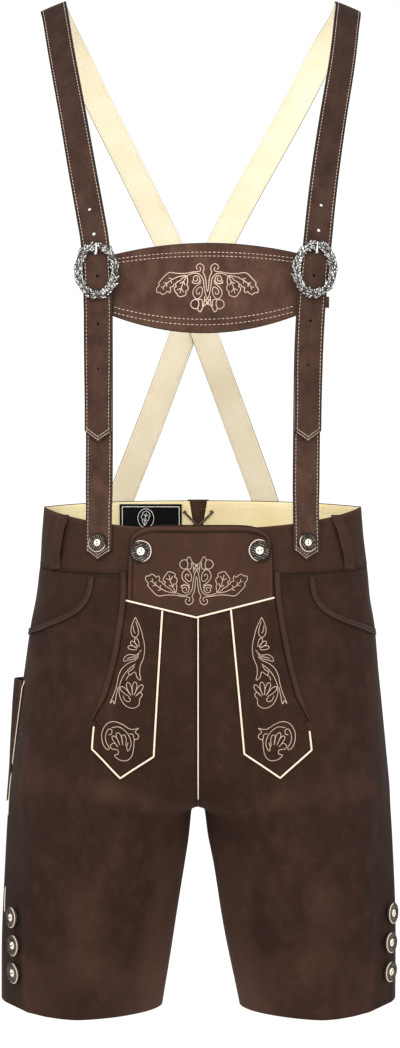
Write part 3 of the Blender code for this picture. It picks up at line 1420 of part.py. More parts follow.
def label(name):
    """Woven label sewn to the lining at the back of the waist."""
    outer, inner = [], []
    near = -BAND_WALL - LINING_GAP - LINING_WALL - LABEL_GAP
    for v in steps(3):
        z = LABEL_TOP - LABEL_HEIGHT * v
        spots = [-LABEL_START - (LABEL_END - LABEL_START) * u for u in steps(6)]
        outer.append([back_spot(x, z, near) for x in spots])
        inner.append([back_spot(x, z, near - LABEL_WALL) for x in spots])
    return slab(name, outer, inner, "label")


MATERIALS = {}


def main():
    """Build every piece."""
    clear_scene()
    MATERIALS.update(build_materials())
    for side, word in ((RIGHT, "right"), (LEFT, "left")):
        front_panel(side, f"front_panel_{word}")
        back_panel(side, f"back_panel_{word}")
        pocket_facing(side, f"pocket_facing_{word}")
        pocket_edge(side, f"pocket_edge_{word}")
        band = waistband(side, f"waistband_{word}")
        lining = waist_lining(side, f"waist_lining_{word}")
        eyelets = []
        for height in EYELET_HEIGHTS:
            spot = back_spot(side * EYELET_X, height)
            eyelets.append((spot, (back_spot(side * EYELET_X, height, 1 * MM)
                                   - spot).normalized()))
        for thing in (band, lining):
            pierce(thing, eyelets, EYELET_RADIUS, 6 * MM)
        for row in BELT_LOOPS[side]:
            belt_loop(side, f"belt_loop_{row.place}_{word}", row.top * MM, row.foot * MM,
                      row.place == "front")
        flap_tab(side, f"flap_tab_{word}")
        flap_strip(side, f"flap_strip_{word}")
        lower_strap(side, word)
        upper_strap(side, word)
        buckle(side, word)
    drop_flap("drop_flap")
    build_piping()
    knife_pocket(RIGHT, "knife_pocket")
    crossbar("crossbar")
    build_buttons()
    back_tongue("back_tongue")
    back_lace("back_lace")
    label("label")


main()
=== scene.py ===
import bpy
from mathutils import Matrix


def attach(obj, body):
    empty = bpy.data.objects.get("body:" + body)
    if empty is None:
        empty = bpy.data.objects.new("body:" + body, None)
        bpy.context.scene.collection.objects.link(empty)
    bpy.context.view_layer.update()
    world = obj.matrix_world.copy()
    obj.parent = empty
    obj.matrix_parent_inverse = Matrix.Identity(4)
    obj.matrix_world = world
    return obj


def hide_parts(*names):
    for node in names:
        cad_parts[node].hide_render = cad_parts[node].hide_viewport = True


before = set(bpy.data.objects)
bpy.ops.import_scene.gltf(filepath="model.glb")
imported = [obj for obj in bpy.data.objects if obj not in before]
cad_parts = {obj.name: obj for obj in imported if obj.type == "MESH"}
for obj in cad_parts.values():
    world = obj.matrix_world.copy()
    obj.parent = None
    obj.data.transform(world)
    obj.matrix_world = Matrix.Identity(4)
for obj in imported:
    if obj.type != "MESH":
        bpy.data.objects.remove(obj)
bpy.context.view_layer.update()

"""Lederhosen: knee-length leather shorts with a drop flap, embroidery and braces.

The garment keeps the form it has when worn. Units are metres, +Z is up, +X is the wearer's
left and -Y the wearer's front. Every layer is made from the same form and the same creases,
so that what lies on a panel follows it.
"""
import logging
import math
from collections import namedtuple
from dataclasses import dataclass
from enum import Enum
from typing import Callable, Sequence, Union

import bmesh
import bpy
import numpy as np
from mathutils import Vector

LOG = logging.getLogger("lederhosen")
MM = 0.001
RIGHT, LEFT = -1, 1
WORD = {RIGHT: "right", LEFT: "left"}
Grid = np.ndarray                       # rows x columns x 3, points in metres
Spot = namedtuple("Spot", "x z")
Value = Union[bpy.types.NodeSocket, float]


class Body(Enum):
    """CAD bodies that pieces ride."""

    ROOT = "root"


class Slot(Enum):
    """Material slots of the CAD record."""

    SUEDE = "suede"
    STRAP = "strap_leather"
    LINING = "lining"
    PIPING = "piping"
    HORN = "horn"
    SILVER = "silver"
    LABEL = "label"
    LACE = "lace"


class Held(Enum):
    """How a sheet is held."""

    STRETCHED = "stretched"
    HUNG = "hung"
    LAID = "laid"
    FOLDED = "folded"


# --- Leather, cloth and gaps, in metres; tables say where they are in millimetres ----------
WALL = 1.6 * MM                         # shorts leather
BAND_WALL = 1.8 * MM                    # waistband
LINING_WALL = 1.0 * MM                  # woven lining
LAYER_GAP = 0.5 * MM                    # between a panel and what lies on it
SEAM_HALF_GAP = 0.15 * MM               # each side of a seam
SEAM_SHUT = 0.02 * MM                   # each side of a sewn seam that light can't pass

# --- Heights --------------------------------------------------------------------------------
WAIST_TOP_SIDE = -547 * MM              # top edge of the waistband over the hips
WAIST_TOP_FRONT_DIP = 24.3 * MM         # how far the top edge dips at the centre front
WAIST_TOP_BACK_RISE = 7.5 * MM          # how far it rises at the centre back
WAIST_SEAM_SIDE = -610.5 * MM           # seam under the waistband, over the hips
WAIST_SEAM_FRONT_DIP = 11 * MM
CROTCH = -874.5 * MM
HEM = -1094.5 * MM
LEG_EASE = 90 * MM                      # height over which the legs round off below it
LEG_SWEEP = 150 * MM                    # height over which the halves part into two legs
CROTCH_SWEEP = 110 * MM                 # height over which the centre seam curves under
BRIDGE_POWER = 3                        # how closely the cloth between the legs follows them

# --- Form of the shorts: one row a height, sizes in millimetres -----------------------------
# outer_right and outer_left are half widths, front and back are depths from the side seams,
# square is the superellipse power: 2 is an ellipse, more is squarer.
Section = namedtuple("Section", "z outer_right outer_left front back square")
SECTIONS = (
    Section(-535.0, 168.5, 178.0, 103.0, 105.0, 2.40),
    Section(-549.0, 169.3, 179.0, 104.0, 106.0, 2.40),
    Section(-580.0, 171.7, 181.5, 107.0, 110.0, 2.40),
    Section(-610.5, 173.5, 185.2, 110.5, 115.0, 2.40),
    Section(-650.0, 179.3, 189.4, 115.0, 123.0, 2.36),
    Section(-681.0, 185.3, 194.3, 118.0, 129.0, 2.32),
    Section(-738.0, 192.2, 199.0, 120.5, 134.0, 2.26),
    Section(-782.0, 198.0, 202.9, 120.0, 133.0, 2.20),
    Section(-848.0, 206.5, 210.1, 115.0, 126.0, 2.10),
    Section(-874.5, 208.8, 211.4, 112.0, 121.0, 2.06),
    Section(-918.5, 211.3, 213.8, 107.0, 113.0, 2.02),
    Section(-975.0, 213.9, 216.3, 100.0, 103.0, 2.00),
    Section(-1035.0, 215.7, 216.6, 94.5, 96.0, 1.98),
    Section(-1096.0, 217.0, 217.2, 91.0, 92.0, 1.62),
)

# Half of the gap between the legs, in millimetres, from the crotch down to the hem.
LegGap = namedtuple("LegGap", "z right left")
LEG_GAPS = (
    LegGap(-874.5, 0.15, 0.15),
    LegGap(-876.0, 4.2, 4.0),
    LegGap(-879.0, 6.4, 6.2),
    LegGap(-883.5, 7.3, 7.2),
    LegGap(-909.5, 10.2, 10.6),
    LegGap(-936.0, 14.4, 15.9),
    LegGap(-989.0, 23.0, 24.7),
    LegGap(-1042.0, 31.0, 34.6),
    LegGap(-1096.0, 39.4, 45.6),
)

# Share of the half ring's length that the front panel takes, from centre front to side seam.
SeamShare = namedtuple("SeamShare", "z share")
SIDE_SEAM = (
    SeamShare(-540.0, 0.495),
    SeamShare(-780.0, 0.490),
    SeamShare(-900.0, 0.465),
    SeamShare(-1096.0, 0.445),
)

HEM_RISE = 8 * MM                       # how much higher the hem is at the outer side
HEM_RISE_START = -1000 * MM

# --- Waistband and its notch at the centre back ---------------------------------------------
LINING_GAP = 0.3 * MM
LINING_INSETS = (1.2 * MM, 0.8 * MM, 0.5 * MM)      # from the seam, the top and the notch
NOTCH_HALF_WIDTH = 13 * MM
NOTCH_FOOT = -590 * MM
EYELET_X = 15.5 * MM
EYELET_HEIGHTS = (-553 * MM, -583.5 * MM)
EYELET_RADIUS = 2.0 * MM
LACE_RADIUS = 1.2 * MM
LACE_GAP = 0.8 * MM
KNOT_RADIUS = 2.6 * MM
TONGUE_TOP = -538.5 * MM
TONGUE_FOOT = -622 * MM
TONGUE_HALF_WIDTH = 12 * MM
TONGUE_FOOT_HALF_WIDTH = 7 * MM
LABEL_START = 18.9 * MM                 # to the wearer's right of the centre back
LABEL_END = 90.7 * MM
LABEL_TOP = -543.5 * MM
LABEL_HEIGHT = 46 * MM
LABEL_WALL = 0.8 * MM
LABEL_GAP = 0.9 * MM

Loop = namedtuple("Loop", "place top foot")     # distances from the centre plane
BELT_LOOPS = {
    RIGHT: (Loop("front", 143.5, 152.5), Loop("back", 128.0, 132.0)),
    LEFT: (Loop("front", 147.5, 162.0), Loop("back", 130.0, 134.0)),
}
BELT_LOOP_WIDTH = 15 * MM
BELT_LOOP_WALL = 1.8 * MM
BELT_LOOP_STAND = 7.4 * MM
BELT_LOOP_MARGIN = 1.5 * MM

# --- Side pockets: a quarter arc from the waist seam to the side seam -----------------------
POCKET_TOP_X = {RIGHT: 112 * MM, LEFT: 120 * MM}
POCKET_DEPTH = 54 * MM
POCKET_TAIL = 12 * MM                     # how much it drops besides, towards the side
POCKET_TAIL_POWER = 6
POCKET_SQUARE = 0.6                      # under 1 for a squarer corner
POCKET_SPACING = 1.35                    # spreads the spots evenly along its steep start
POCKET_EDGE_WIDTH = 7 * MM
POCKET_EDGE_WALL = 1.4 * MM
FACING_DROP = 0.2 * MM
FACING_CLEARANCE = 0.6 * MM

# Knife pocket on the right side seam: its front and back edges behind the side plane, and
# how far it stands off the leg.
KnifeRow = namedtuple("KnifeRow", "z front back stand")
KNIFE_POCKET = (
    KnifeRow(-737.5, -18.0, 40.0, 8.8),
    KnifeRow(-760.0, -17.0, 40.0, 7.4),
    KnifeRow(-781.0, -15.0, 39.0, 5.7),
    KnifeRow(-806.0, -11.0, 37.0, 4.2),
    KnifeRow(-829.0, -8.0, 35.0, 2.4),
    KnifeRow(-850.0, -6.0, 33.0, 1.2),
    KnifeRow(-870.0, -5.0, 30.0, 0.4),
)
POCKET_SEWN_GAP = 0.6 * MM

# --- Drop flap, in the front view -----------------------------------------------------------
FLAP_SIDE_TOP = {RIGHT: 73.5 * MM, LEFT: 79.0 * MM}
FLAP_SIDE_FOOT = {RIGHT: 75.2 * MM, LEFT: 79.5 * MM}
FLAP_TOP = -567.5 * MM
FLAP_CORNER_DROP = 13 * MM
FLAP_CORNER_POWER = 8                    # a higher one gives tighter corners
FLAP_CORNER_INSET = 4 * MM
FLAP_FOOT = {RIGHT: -647.5 * MM, LEFT: -644.5 * MM}
FLAP_POINT = (-1.8 * MM, -665 * MM)
FLAP_WALL = 1.8 * MM
TAB_WALL = 1.6 * MM
BAND_STRIP_WALL = 2.4 * MM
PIPING_RADIUS = 1.0 * MM
SEAM_PIPING_RADIUS = 0.7 * MM
SEAM_PIPING_FOOT = -858 * MM
SEAM_PIPING_GAP = 0.9 * MM
PIPING_CLEARANCE = 1.35 * MM            # from a piping's middle to the leather beside it

# Outline of a tab and the raised strip beside it, as distance from the centre front and
# height in millimetres.
TAB_INNER = {
    RIGHT: (Spot(37.6, -658), Spot(44.9, -770), Spot(46.8, -811)),
    LEFT: (Spot(34.5, -657), Spot(48.6, -808), Spot(48.6, -808)),
}
TAB_POINT = {RIGHT: Spot(82.0, -834), LEFT: Spot(86.4, -834)}
TAB_OUTER = {
    RIGHT: (Spot(112.0, -804), Spot(109.5, -781), Spot(104.5, -773)),
    LEFT: (Spot(119.5, -805), Spot(117.0, -786), Spot(110.5, -773)),
}
STRIP_OUTER = {
    RIGHT: (Spot(82.5, -617), Spot(83.2, -648), Spot(91.0, -702), Spot(103.0, -748),
            Spot(112.5, -774)),
    LEFT: (Spot(87.2, -617), Spot(89.0, -648), Spot(98.0, -702), Spot(109.5, -748),
           Spot(118.0, -774)),
}
STRIP_WIDTH = 7.8 * MM
STRIP_FOOT = -774 * MM
STRIP_CLEARANCE = 0.8 * MM

# --- Braces: one row a point on the wearer, sizes in millimetres, tilt in degrees -----------
# tilt is how far the outer edge of the strap turns in towards the wearer.
Row = namedtuple("Row", "x y z tilt")
LOWER_STRAP = {
    RIGHT: (
        Row(-106.1, -93.0, -604.8, 19.0),
        Row(-105.3, -92.0, -586.7, 19.0),
        Row(-105.1, -92.5, -560.0, 18.0),
        Row(-104.8, -94.5, -541.0, 17.5),
        Row(-104.3, -99.7, -479.0, 17.0),
        Row(-104.1, -104.5, -436.0, 17.0),
        Row(-104.7, -109.5, -381.0, 9.0),
        Row(-104.9, -113.5, -330.0, 5.0),
        Row(-105.1, -115.5, -300.0, 5.0),
    ),
    LEFT: (
        Row(114.0, -92.0, -604.8, 19.0),
        Row(114.8, -91.5, -586.7, 19.0),
        Row(114.3, -92.0, -560.0, 18.0),
        Row(114.2, -94.0, -541.0, 17.5),
        Row(114.5, -99.5, -479.0, 17.0),
        Row(114.8, -104.0, -436.0, 17.0),
        Row(116.3, -108.5, -381.0, 9.0),
        Row(119.1, -111.5, -330.0, 5.0),
        Row(121.5, -113.0, -298.5, 5.0),
    ),
}
UPPER_STRAP = {
    RIGHT: LOWER_STRAP[RIGHT][4:] + (
        Row(-108.3, -115.0, -267.0, 5.0),
        Row(-113.3, -112.0, -240.0, 8.0),
        Row(-122.7, -101.0, -189.0, 12.0),
        Row(-132.3, -84.0, -135.0, 18.0),
        Row(-143.0, -61.0, -79.0, 21.0),
        Row(-148.5, -46.0, -50.0, 22.0),
        Row(-153.7, -27.0, -21.0, 22.0),
        Row(-157.1, -12.0, -4.5, 22.0),
        Row(-158.6, 0.0, 0.0, 22.0),
        Row(-157.5, 13.0, -3.5, 22.0),
        Row(-152.0, 33.0, -14.0, 22.0),
        Row(-142.0, 56.0, -32.0, 21.0),
        Row(-129.0, 74.0, -56.0, 19.0),
        Row(-110.0, 92.0, -94.0, 15.0),
        Row(-86.5, 104.0, -140.0, 10.0),
        Row(-63.3, 111.0, -186.0, 7.0),
        Row(-36.5, 115.5, -241.0, 3.0),
        Row(-10.5, 116.5, -300.0, 0.0),
        Row(13.0, 114.5, -365.0, -2.0),
        Row(42.9, 110.0, -447.0, -7.0),
        Row(67.0, 104.5, -514.0, -11.0),
        Row(75.9, 102.0, -541.0, -14.0),
        Row(81.9, 100.0, -563.0, -15.0),
        Row(89.9, 99.0, -592.0, -16.0),
    ),
    LEFT: LOWER_STRAP[LEFT][4:] + (
        Row(125.3, -112.5, -267.0, 5.0),
        Row(128.4, -109.5, -240.0, 8.0),
        Row(134.8, -99.5, -189.0, 12.0),
        Row(143.0, -83.0, -135.0, 18.0),
        Row(152.8, -60.0, -79.0, 21.0),
        Row(157.2, -45.0, -50.0, 22.0),
        Row(161.0, -27.0, -21.0, 22.0),
        Row(163.6, -12.0, -4.5, 22.0),
        Row(163.2, 0.0, 0.0, 22.0),
        Row(162.6, 13.0, -3.5, 22.0),
        Row(156.5, 33.0, -14.0, 22.0),
        Row(143.5, 56.0, -32.0, 21.0),
        Row(129.5, 74.0, -56.0, 19.0),
        Row(109.0, 92.0, -94.0, 15.0),
        Row(83.5, 104.0, -139.0, 10.0),
        Row(56.8, 111.0, -186.0, 7.0),
        Row(27.5, 115.5, -241.0, 3.0),
        Row(0.5, 116.5, -300.0, 0.0),
        Row(-23.1, 114.5, -365.0, -2.0),
        Row(-53.1, 110.0, -447.0, -7.0),
        Row(-79.1, 104.5, -514.0, -11.0),
        Row(-89.1, 101.0, -541.0, -14.0),
        Row(-96.1, 99.0, -563.0, -16.0),
        Row(-104.6, 97.0, -590.0, -18.0),
    ),
}
STRAP_HALF_WIDTH = 15.2 * MM
STRAP_WALL = 1.6 * MM
STRAP_LINING_WALL = 0.9 * MM
LOWER_STRAP_WALL = 1.8 * MM
STRAP_POINT = 10 * MM                   # length of a strap's pointed end
STRAP_STEP = 16 * MM
STRAP_WAIST_GAP = 0.7 * MM
STRAP_HOLES = {
    RIGHT: (-235.3, -262.0, -283.0, -306.0, -355.6, -403.1),
    LEFT: (-230.4, -257.8, -281.3, -305.0, -352.4, -398.9),
}
STRAP_HOLE_RADIUS = 1.7 * MM
BAR_HEIGHT = {RIGHT: -300 * MM, LEFT: -298.5 * MM}
BAR_CENTRE_LIFT = 3.4 * MM
BAR_RADIUS = 1.2 * MM
BAR_LIFT = 7.7 * MM                     # the upper strap over the folded lower strap
TAIL_LIFT = 3.0 * MM                    # the upper strap's end over the lower strap
CROSSING_HEIGHT = -315 * MM
CROSSING_LIFT = 4.2 * MM                # the left upper strap over the right one
CROSSING_REACH = 150 * MM
BAR_REACH = 75 * MM
FOLD_TUCK = 7 * MM

# --- Buckles --------------------------------------------------------------------------------
BUCKLE_HALF_WIDTH = 19.4 * MM           # to the middle of the band
BUCKLE_HALF_HEIGHT = 25.8 * MM
BUCKLE_BAND = 4.6 * MM
BUCKLE_THICK = 2.2 * MM
BUCKLE_LIFT = 13 * MM
PRONG_RADIUS = 0.9 * MM
PRONG_GAP = 0.35 * MM
PRONG_START = (Spot(4.5, 3.9), Spot(8.2, 4.4))      # x is along the strap, z out from it
PRONG_THROUGH = (-2.0, 1.4, 4.2)        # out from the strap's underside at the hole
PRONG_END = (Spot(21.0, 14.6), Spot(23.5, 16.3), Spot(28.5, 16.6))
PRONG_HOLE = 2                          # which of the holes the prong is in

# --- Crossbar -------------------------------------------------------------------------------
CHEST_FRONT = -122.9 * MM
CHEST_CURVE = 0.9                       # per metre
CHEST_FULLEST = -295 * MM
CROSSBAR_WALL = 2.6 * MM
CROSSBAR_END = {RIGHT: 119 * MM, LEFT: 118 * MM}
CROSSBAR_TOP = -271 * MM
CROSSBAR_TOP_X = 12 * MM
CROSSBAR_TOP_FALL = 1.13                # per metre
CROSSBAR_FOOT = -366 * MM
CROSSBAR_FOOT_RISE = 2.0                # per metre
CROSSBAR_FOOT_X = 6 * MM
CROSSBAR_TAB = (-326 * MM, -338 * MM)
CROSSBAR_TAB_END = 139 * MM


# --- Tables and the garment's form ----------------------------------------------------------

def smooth_value(rows: Sequence, column: str, z: float) -> float:
    """Read one column of a table at a height, on a smooth curve through its rows.

    Args:
        rows: named tuples that fall in z, in millimetres.
        column: the field to read.
        z: height in metres.

    Returns:
        The value in the table's own unit.
    """
    level = z / MM
    heights = [row.z for row in rows]
    values = [getattr(row, column) for row in rows]
    level = max(min(level, heights[0]), heights[-1])
    place = 0
    while place < len(rows) - 2 and level < heights[place + 1]:
        place += 1
    slopes = []
    for k in (place, place + 1):
        low, high = max(k - 1, 0), min(k + 1, len(rows) - 1)
        slopes.append((values[high] - values[low]) / (heights[high] - heights[low]))
    step = heights[place + 1] - heights[place]
    t = (level - heights[place]) / step
    return ((2 * t ** 3 - 3 * t ** 2 + 1) * values[place]
            + (t ** 3 - 2 * t ** 2 + t) * step * slopes[0]
            + (3 * t ** 2 - 2 * t ** 3) * values[place + 1]
            + (t ** 3 - t ** 2) * step * slopes[1])


def unit(vectors: np.ndarray) -> np.ndarray:
    """Vectors of length one in the same directions."""
    return vectors / np.maximum(np.linalg.norm(vectors, axis=-1, keepdims=True), 1e-12)


def together(*values: np.ndarray | float) -> Sequence[np.ndarray]:
    """Values as arrays of one shape."""
    return np.broadcast_arrays(*(np.asarray(value, float) for value in values))


def oval(across: np.ndarray, square: np.ndarray) -> np.ndarray:
    """Depth share of a superellipse at shares of its half width."""
    return (1 - np.minimum(np.abs(across), 1.0) ** square) ** (1 / square)


def ease(t: np.ndarray) -> np.ndarray:
    """Smooth step from 0 to 1."""
    t = np.clip(t, 0.0, 1.0)
    return t * t * (3 - 2 * t)


@dataclass(frozen=True)
class Crease:
    """One soft trough or ridge, placed one by one.

    side is the leg, spots are (share of the ring, height in millimetres), depth is out from
    the form in millimetres and width is how far it reaches.
    """

    side: int
    spots: tuple[tuple[float, float], ...]
    depth: float
    width: float


CREASES = (
    # From the hips down across the thighs in front, and the soft rolls beside the flap.
    Crease(RIGHT, ((0.46, -640), (0.36, -690), (0.30, -745)), -1.6, 15),
    Crease(RIGHT, ((0.44, -668), (0.36, -716), (0.33, -762)), 1.3, 14),
    Crease(RIGHT, ((0.05, -842), (0.18, -815), (0.30, -800)), -1.5, 13),
    Crease(RIGHT, ((0.06, -868), (0.20, -848), (0.36, -842)), 1.5, 15),
    Crease(RIGHT, ((0.10, -905), (0.22, -880), (0.34, -872)), -1.4, 14),
    Crease(RIGHT, ((0.22, -915), (0.26, -975), (0.24, -1040)), 2.0, 22),
    Crease(RIGHT, ((0.36, -900), (0.37, -960), (0.34, -1010)), -1.6, 18),
    Crease(RIGHT, ((0.14, -960), (0.16, -1010), (0.13, -1075)), -1.3, 16),
    Crease(LEFT, ((0.46, -646), (0.38, -700), (0.31, -760)), -1.5, 15),
    Crease(LEFT, ((0.45, -676), (0.38, -726), (0.35, -775)), 1.2, 14),
    Crease(LEFT, ((0.04, -848), (0.16, -822), (0.29, -806)), -1.4, 13),
    Crease(LEFT, ((0.06, -872), (0.19, -856), (0.34, -846)), 1.4, 15),
    Crease(LEFT, ((0.09, -900), (0.20, -888), (0.36, -878)), -1.2, 13),
    Crease(LEFT, ((0.24, -905), (0.27, -965), (0.25, -1035)), 1.9, 22),
    Crease(LEFT, ((0.38, -910), (0.38, -965), (0.36, -1020)), -1.5, 17),
    Crease(LEFT, ((0.15, -955), (0.15, -1005), (0.14, -1070)), -1.2, 16),
    # The seat's slack and the backs of the legs.
    Crease(RIGHT, ((0.97, -760), (0.86, -775), (0.74, -768)), -2.2, 17),
    Crease(RIGHT, ((0.97, -800), (0.84, -822), (0.70, -808)), 2.2, 18),
    Crease(RIGHT, ((0.96, -845), (0.84, -868), (0.70, -852)), -2.6, 18),
    Crease(RIGHT, ((0.90, -895), (0.80, -905), (0.66, -888)), 2.0, 18),
    Crease(RIGHT, ((0.78, -925), (0.75, -985), (0.79, -1060)), -2.0, 20),
    Crease(RIGHT, ((0.64, -905), (0.62, -970), (0.65, -1040)), 1.8, 20),
    Crease(RIGHT, ((0.60, -640), (0.66, -690), (0.68, -735)), -1.6, 16),
    Crease(LEFT, ((0.97, -764), (0.85, -782), (0.72, -772)), -2.3, 17),
    Crease(LEFT, ((0.97, -806), (0.83, -826), (0.69, -814)), 2.1, 18),
    Crease(LEFT, ((0.95, -850), (0.84, -872), (0.71, -860)), -2.5, 18),
    Crease(LEFT, ((0.91, -898), (0.79, -910), (0.67, -896)), 1.9, 18),
    Crease(LEFT, ((0.80, -930), (0.77, -990), (0.80, -1055)), -2.0, 20),
    Crease(LEFT, ((0.63, -912), (0.61, -975), (0.64, -1045)), 1.7, 20),
    Crease(LEFT, ((0.61, -646), (0.67, -694), (0.69, -742)), -1.5, 16),
)
WAVE = 0.45 * MM                        # slow unevenness of the leather everywhere
CREASE_FREE = 20 * MM                   # height over which creases fade in below the waist
FormSizes = namedtuple("FormSizes", "centre half inner front back square bridge")


class GarmentForm:
    """The worn form of the shorts, read for many points at once."""

    STEP = 0.5 * MM
    TOP = -530 * MM

    def __init__(self) -> None:
        """Tabulate both sides and lay out the creases."""
        count = int((self.TOP - (HEM - 4 * MM)) / self.STEP) + 1
        self.heights = self.TOP - np.arange(count) * self.STEP
        self.tables = {}
        for side in (RIGHT, LEFT):
            rows = [self._sizes_at(side, float(z)) for z in self.heights]
            self.tables[side] = np.array(rows)
        self.creases: list[tuple[np.ndarray, np.ndarray, float, float]] = []
        for crease in CREASES:
            chain = self.bare_point(crease.side, np.array([s[1] for s in crease.spots]) * MM,
                                    np.array([s[0] for s in crease.spots]))
            for a, b in zip(chain, chain[1:]):
                self.creases.append((a, b, crease.depth * MM, crease.width * MM))

    @staticmethod
    def _sizes_at(side: int, z: float) -> tuple[float, ...]:
        """Sizes of one side's ring at height z.

        Args:
            side: RIGHT or LEFT.
            z: height in metres.

        Returns:
            The seven values of FormSizes.
        """
        width = smooth_value(SECTIONS, "outer_" + WORD[side], z) * MM
        front = smooth_value(SECTIONS, "front", z) * MM
        back = smooth_value(SECTIONS, "back", z) * MM
        square = smooth_value(SECTIONS, "square", z)
        if z < CROTCH:
            gap = smooth_value(LEG_GAPS, WORD[side], z) * MM
            drop = min((CROTCH - z) / LEG_EASE, 1.0)
            centre = (width + gap * drop ** 2 * (3 - 2 * drop)) / 2
            return (centre, width - centre, centre - gap, front, back, square, 0.0)
        rise = min((z - CROTCH) / LEG_SWEEP, 1.0)
        centre = (1 - rise) ** 2 * (1 + 2 * rise) * width / 2
        seam = max(0.0, 1 - (z - CROTCH) / CROTCH_SWEEP) ** 1.5
        wanted = (1 - (seam / (2 - seam)) ** square) ** (1 / square)
        there = (1 - min(centre / (width - centre), 1.0) ** square) ** (1 / square)
        bridge = max(wanted ** BRIDGE_POWER - there ** BRIDGE_POWER, 0.0)
        half = width - centre
        return (centre, half, half, front, back, square, bridge)

    def sizes(self, side: int, z: np.ndarray) -> FormSizes:
        """Ring sizes at many heights.

        Args:
            side: RIGHT or LEFT.
            z: heights in metres.

        Returns:
            One value a field and height.
        """
        place = np.clip((self.TOP - z) / self.STEP, 0, len(self.heights) - 1.001)
        low = place.astype(int)
        t = (place - low)[..., None]
        rows = self.tables[side][low] * (1 - t) + self.tables[side][low + 1] * t
        return FormSizes(*np.moveaxis(rows, -1, 0))

    @staticmethod
    def depth_share(form: FormSizes, x: np.ndarray) -> np.ndarray:
        """Depth of a ring at x from the centre plane, as a share of its full depth.

        Args:
            form: the ring's sizes there.
            x: places across in metres.

        Returns:
            One share a place.
        """
        reach = np.where(x > form.centre, form.half, form.inner)
        depth = oval((x - form.centre) / reach, form.square)
        centre = np.maximum(form.centre, 1e-9)
        fade = np.cos(np.pi / 2 * np.clip(x / centre, 0, 1)) ** (2 * BRIDGE_POWER)
        bridged = (depth ** BRIDGE_POWER + form.bridge * fade) ** (1 / BRIDGE_POWER)
        return np.where((form.bridge > 0) & (x < form.centre), bridged, depth)

    def bare_point(self, side: int, z: np.ndarray, share: np.ndarray) -> np.ndarray:
        """Points of the smooth form, without creases.

        Args:
            side: RIGHT or LEFT.
            z: heights in metres.
            share: shares of the ring, from the centre front round to the centre back.

        Returns:
            One point for each height and share.
        """
        z, share = together(z, share)
        form = self.sizes(side, z)
        start = np.arcsin(np.clip(form.centre / form.inner, 0, 1) ** (form.square / 2))
        share = np.clip(share, 0.0, 1.0)
        turn = 2 * np.minimum(share, 1 - share) * (np.pi / 2 + start) - start
        reach = np.where(turn > 0, form.half, -form.inner)
        x = np.maximum(form.centre + reach * np.abs(np.sin(turn)) ** (2 / form.square), 0.0)
        depth = np.where(share < 0.5, -form.front, form.back)
        return np.stack([side * x, depth * self.depth_share(form, x), z], -1)

    def normal(self, side: int, z: np.ndarray, share: np.ndarray) -> np.ndarray:
        """Outward directions of the smooth form.

        Args:
            side: RIGHT or LEFT.
            z: heights in metres.
            share: shares of the ring, from the centre front round to the centre back.

        Returns:
            One unit vector for each height and share.
        """
        z, share = together(z, share)
        low, high = np.maximum(share - 0.004, 0.0), np.minimum(share + 0.004, 1.0)
        across = self.bare_point(side, z, high) - self.bare_point(side, z, low)
        rise = 1.5 * MM
        upright = self.bare_point(side, z + rise, share) - self.bare_point(side, z - rise,
                                                                           share)
        return unit(np.cross(across, upright) * side)

    def relief(self, points: np.ndarray) -> np.ndarray:
        """How far the creases move points of the smooth form out.

        Args:
            points: places on the form, with the last axis x, y, z.

        Returns:
            One distance for each point.
        """
        out = np.zeros(points.shape[:-1])
        for a, b, depth, width in self.creases:
            run = b - a
            t = np.clip(((points - a) @ run) / (run @ run), 0.0, 1.0)
            gap = np.linalg.norm(points - (a + t[..., None] * run), axis=-1)
            out += depth * np.exp(-(gap / width) ** 2)
        x, y, z = points[..., 0], points[..., 1], points[..., 2]
        out += WAVE * (np.sin(x * 61 + z * 23) + np.sin(z * 47 - x * 29 + y * 37)
                       + np.sin(y * 71 + z * 31 + 1.0)) / 2
        return out * ease((WAIST_SEAM_SIDE - z) / CREASE_FREE)

    def raised(self, base: np.ndarray, normals: np.ndarray, lift: float | np.ndarray
               ) -> np.ndarray:
        """Points of the smooth form moved out by its creases and a lift."""
        reach = np.broadcast_to(np.asarray(lift, float), base.shape[:-1])
        return base + normals * (self.relief(base) + reach)[..., None]

    def lifted(self, side: int, z: np.ndarray, share: np.ndarray,
               lift: float | np.ndarray) -> np.ndarray:
        """Points of the creased form at heights and shares, moved out by lift."""
        return self.raised(self.bare_point(side, z, share), self.normal(side, z, share), lift)

    def seam_share(self, z: np.ndarray) -> np.ndarray:
        """Where the side seam lies on the ring at heights.

        Args:
            z: heights in metres.

        Returns:
            One share a height.
        """
        flat = np.atleast_1d(z).ravel()
        values = [smooth_value(SIDE_SEAM, "share", float(v)) for v in flat]
        return np.array(values).reshape(np.shape(z)) if np.shape(z) else values[0]

    def share_gap(self, side: int, z: np.ndarray, share: np.ndarray,
                  gap: float | np.ndarray = SEAM_HALF_GAP) -> np.ndarray:
        """How far the share moves over a gap in metres along the ring.

        Args:
            side: RIGHT or LEFT.
            z: heights in metres.
            share: shares of the ring, from the centre front round to the centre back.
            gap: the gap in metres.

        Returns:
            Differences of share.
        """
        share = np.asarray(share, float)
        low, high = np.maximum(share - 0.002, 0.0), np.minimum(share + 0.002, 1.0)
        run = np.linalg.norm(self.bare_point(side, z, high) - self.bare_point(side, z, low),
                             axis=-1)
        return gap * (high - low) / run

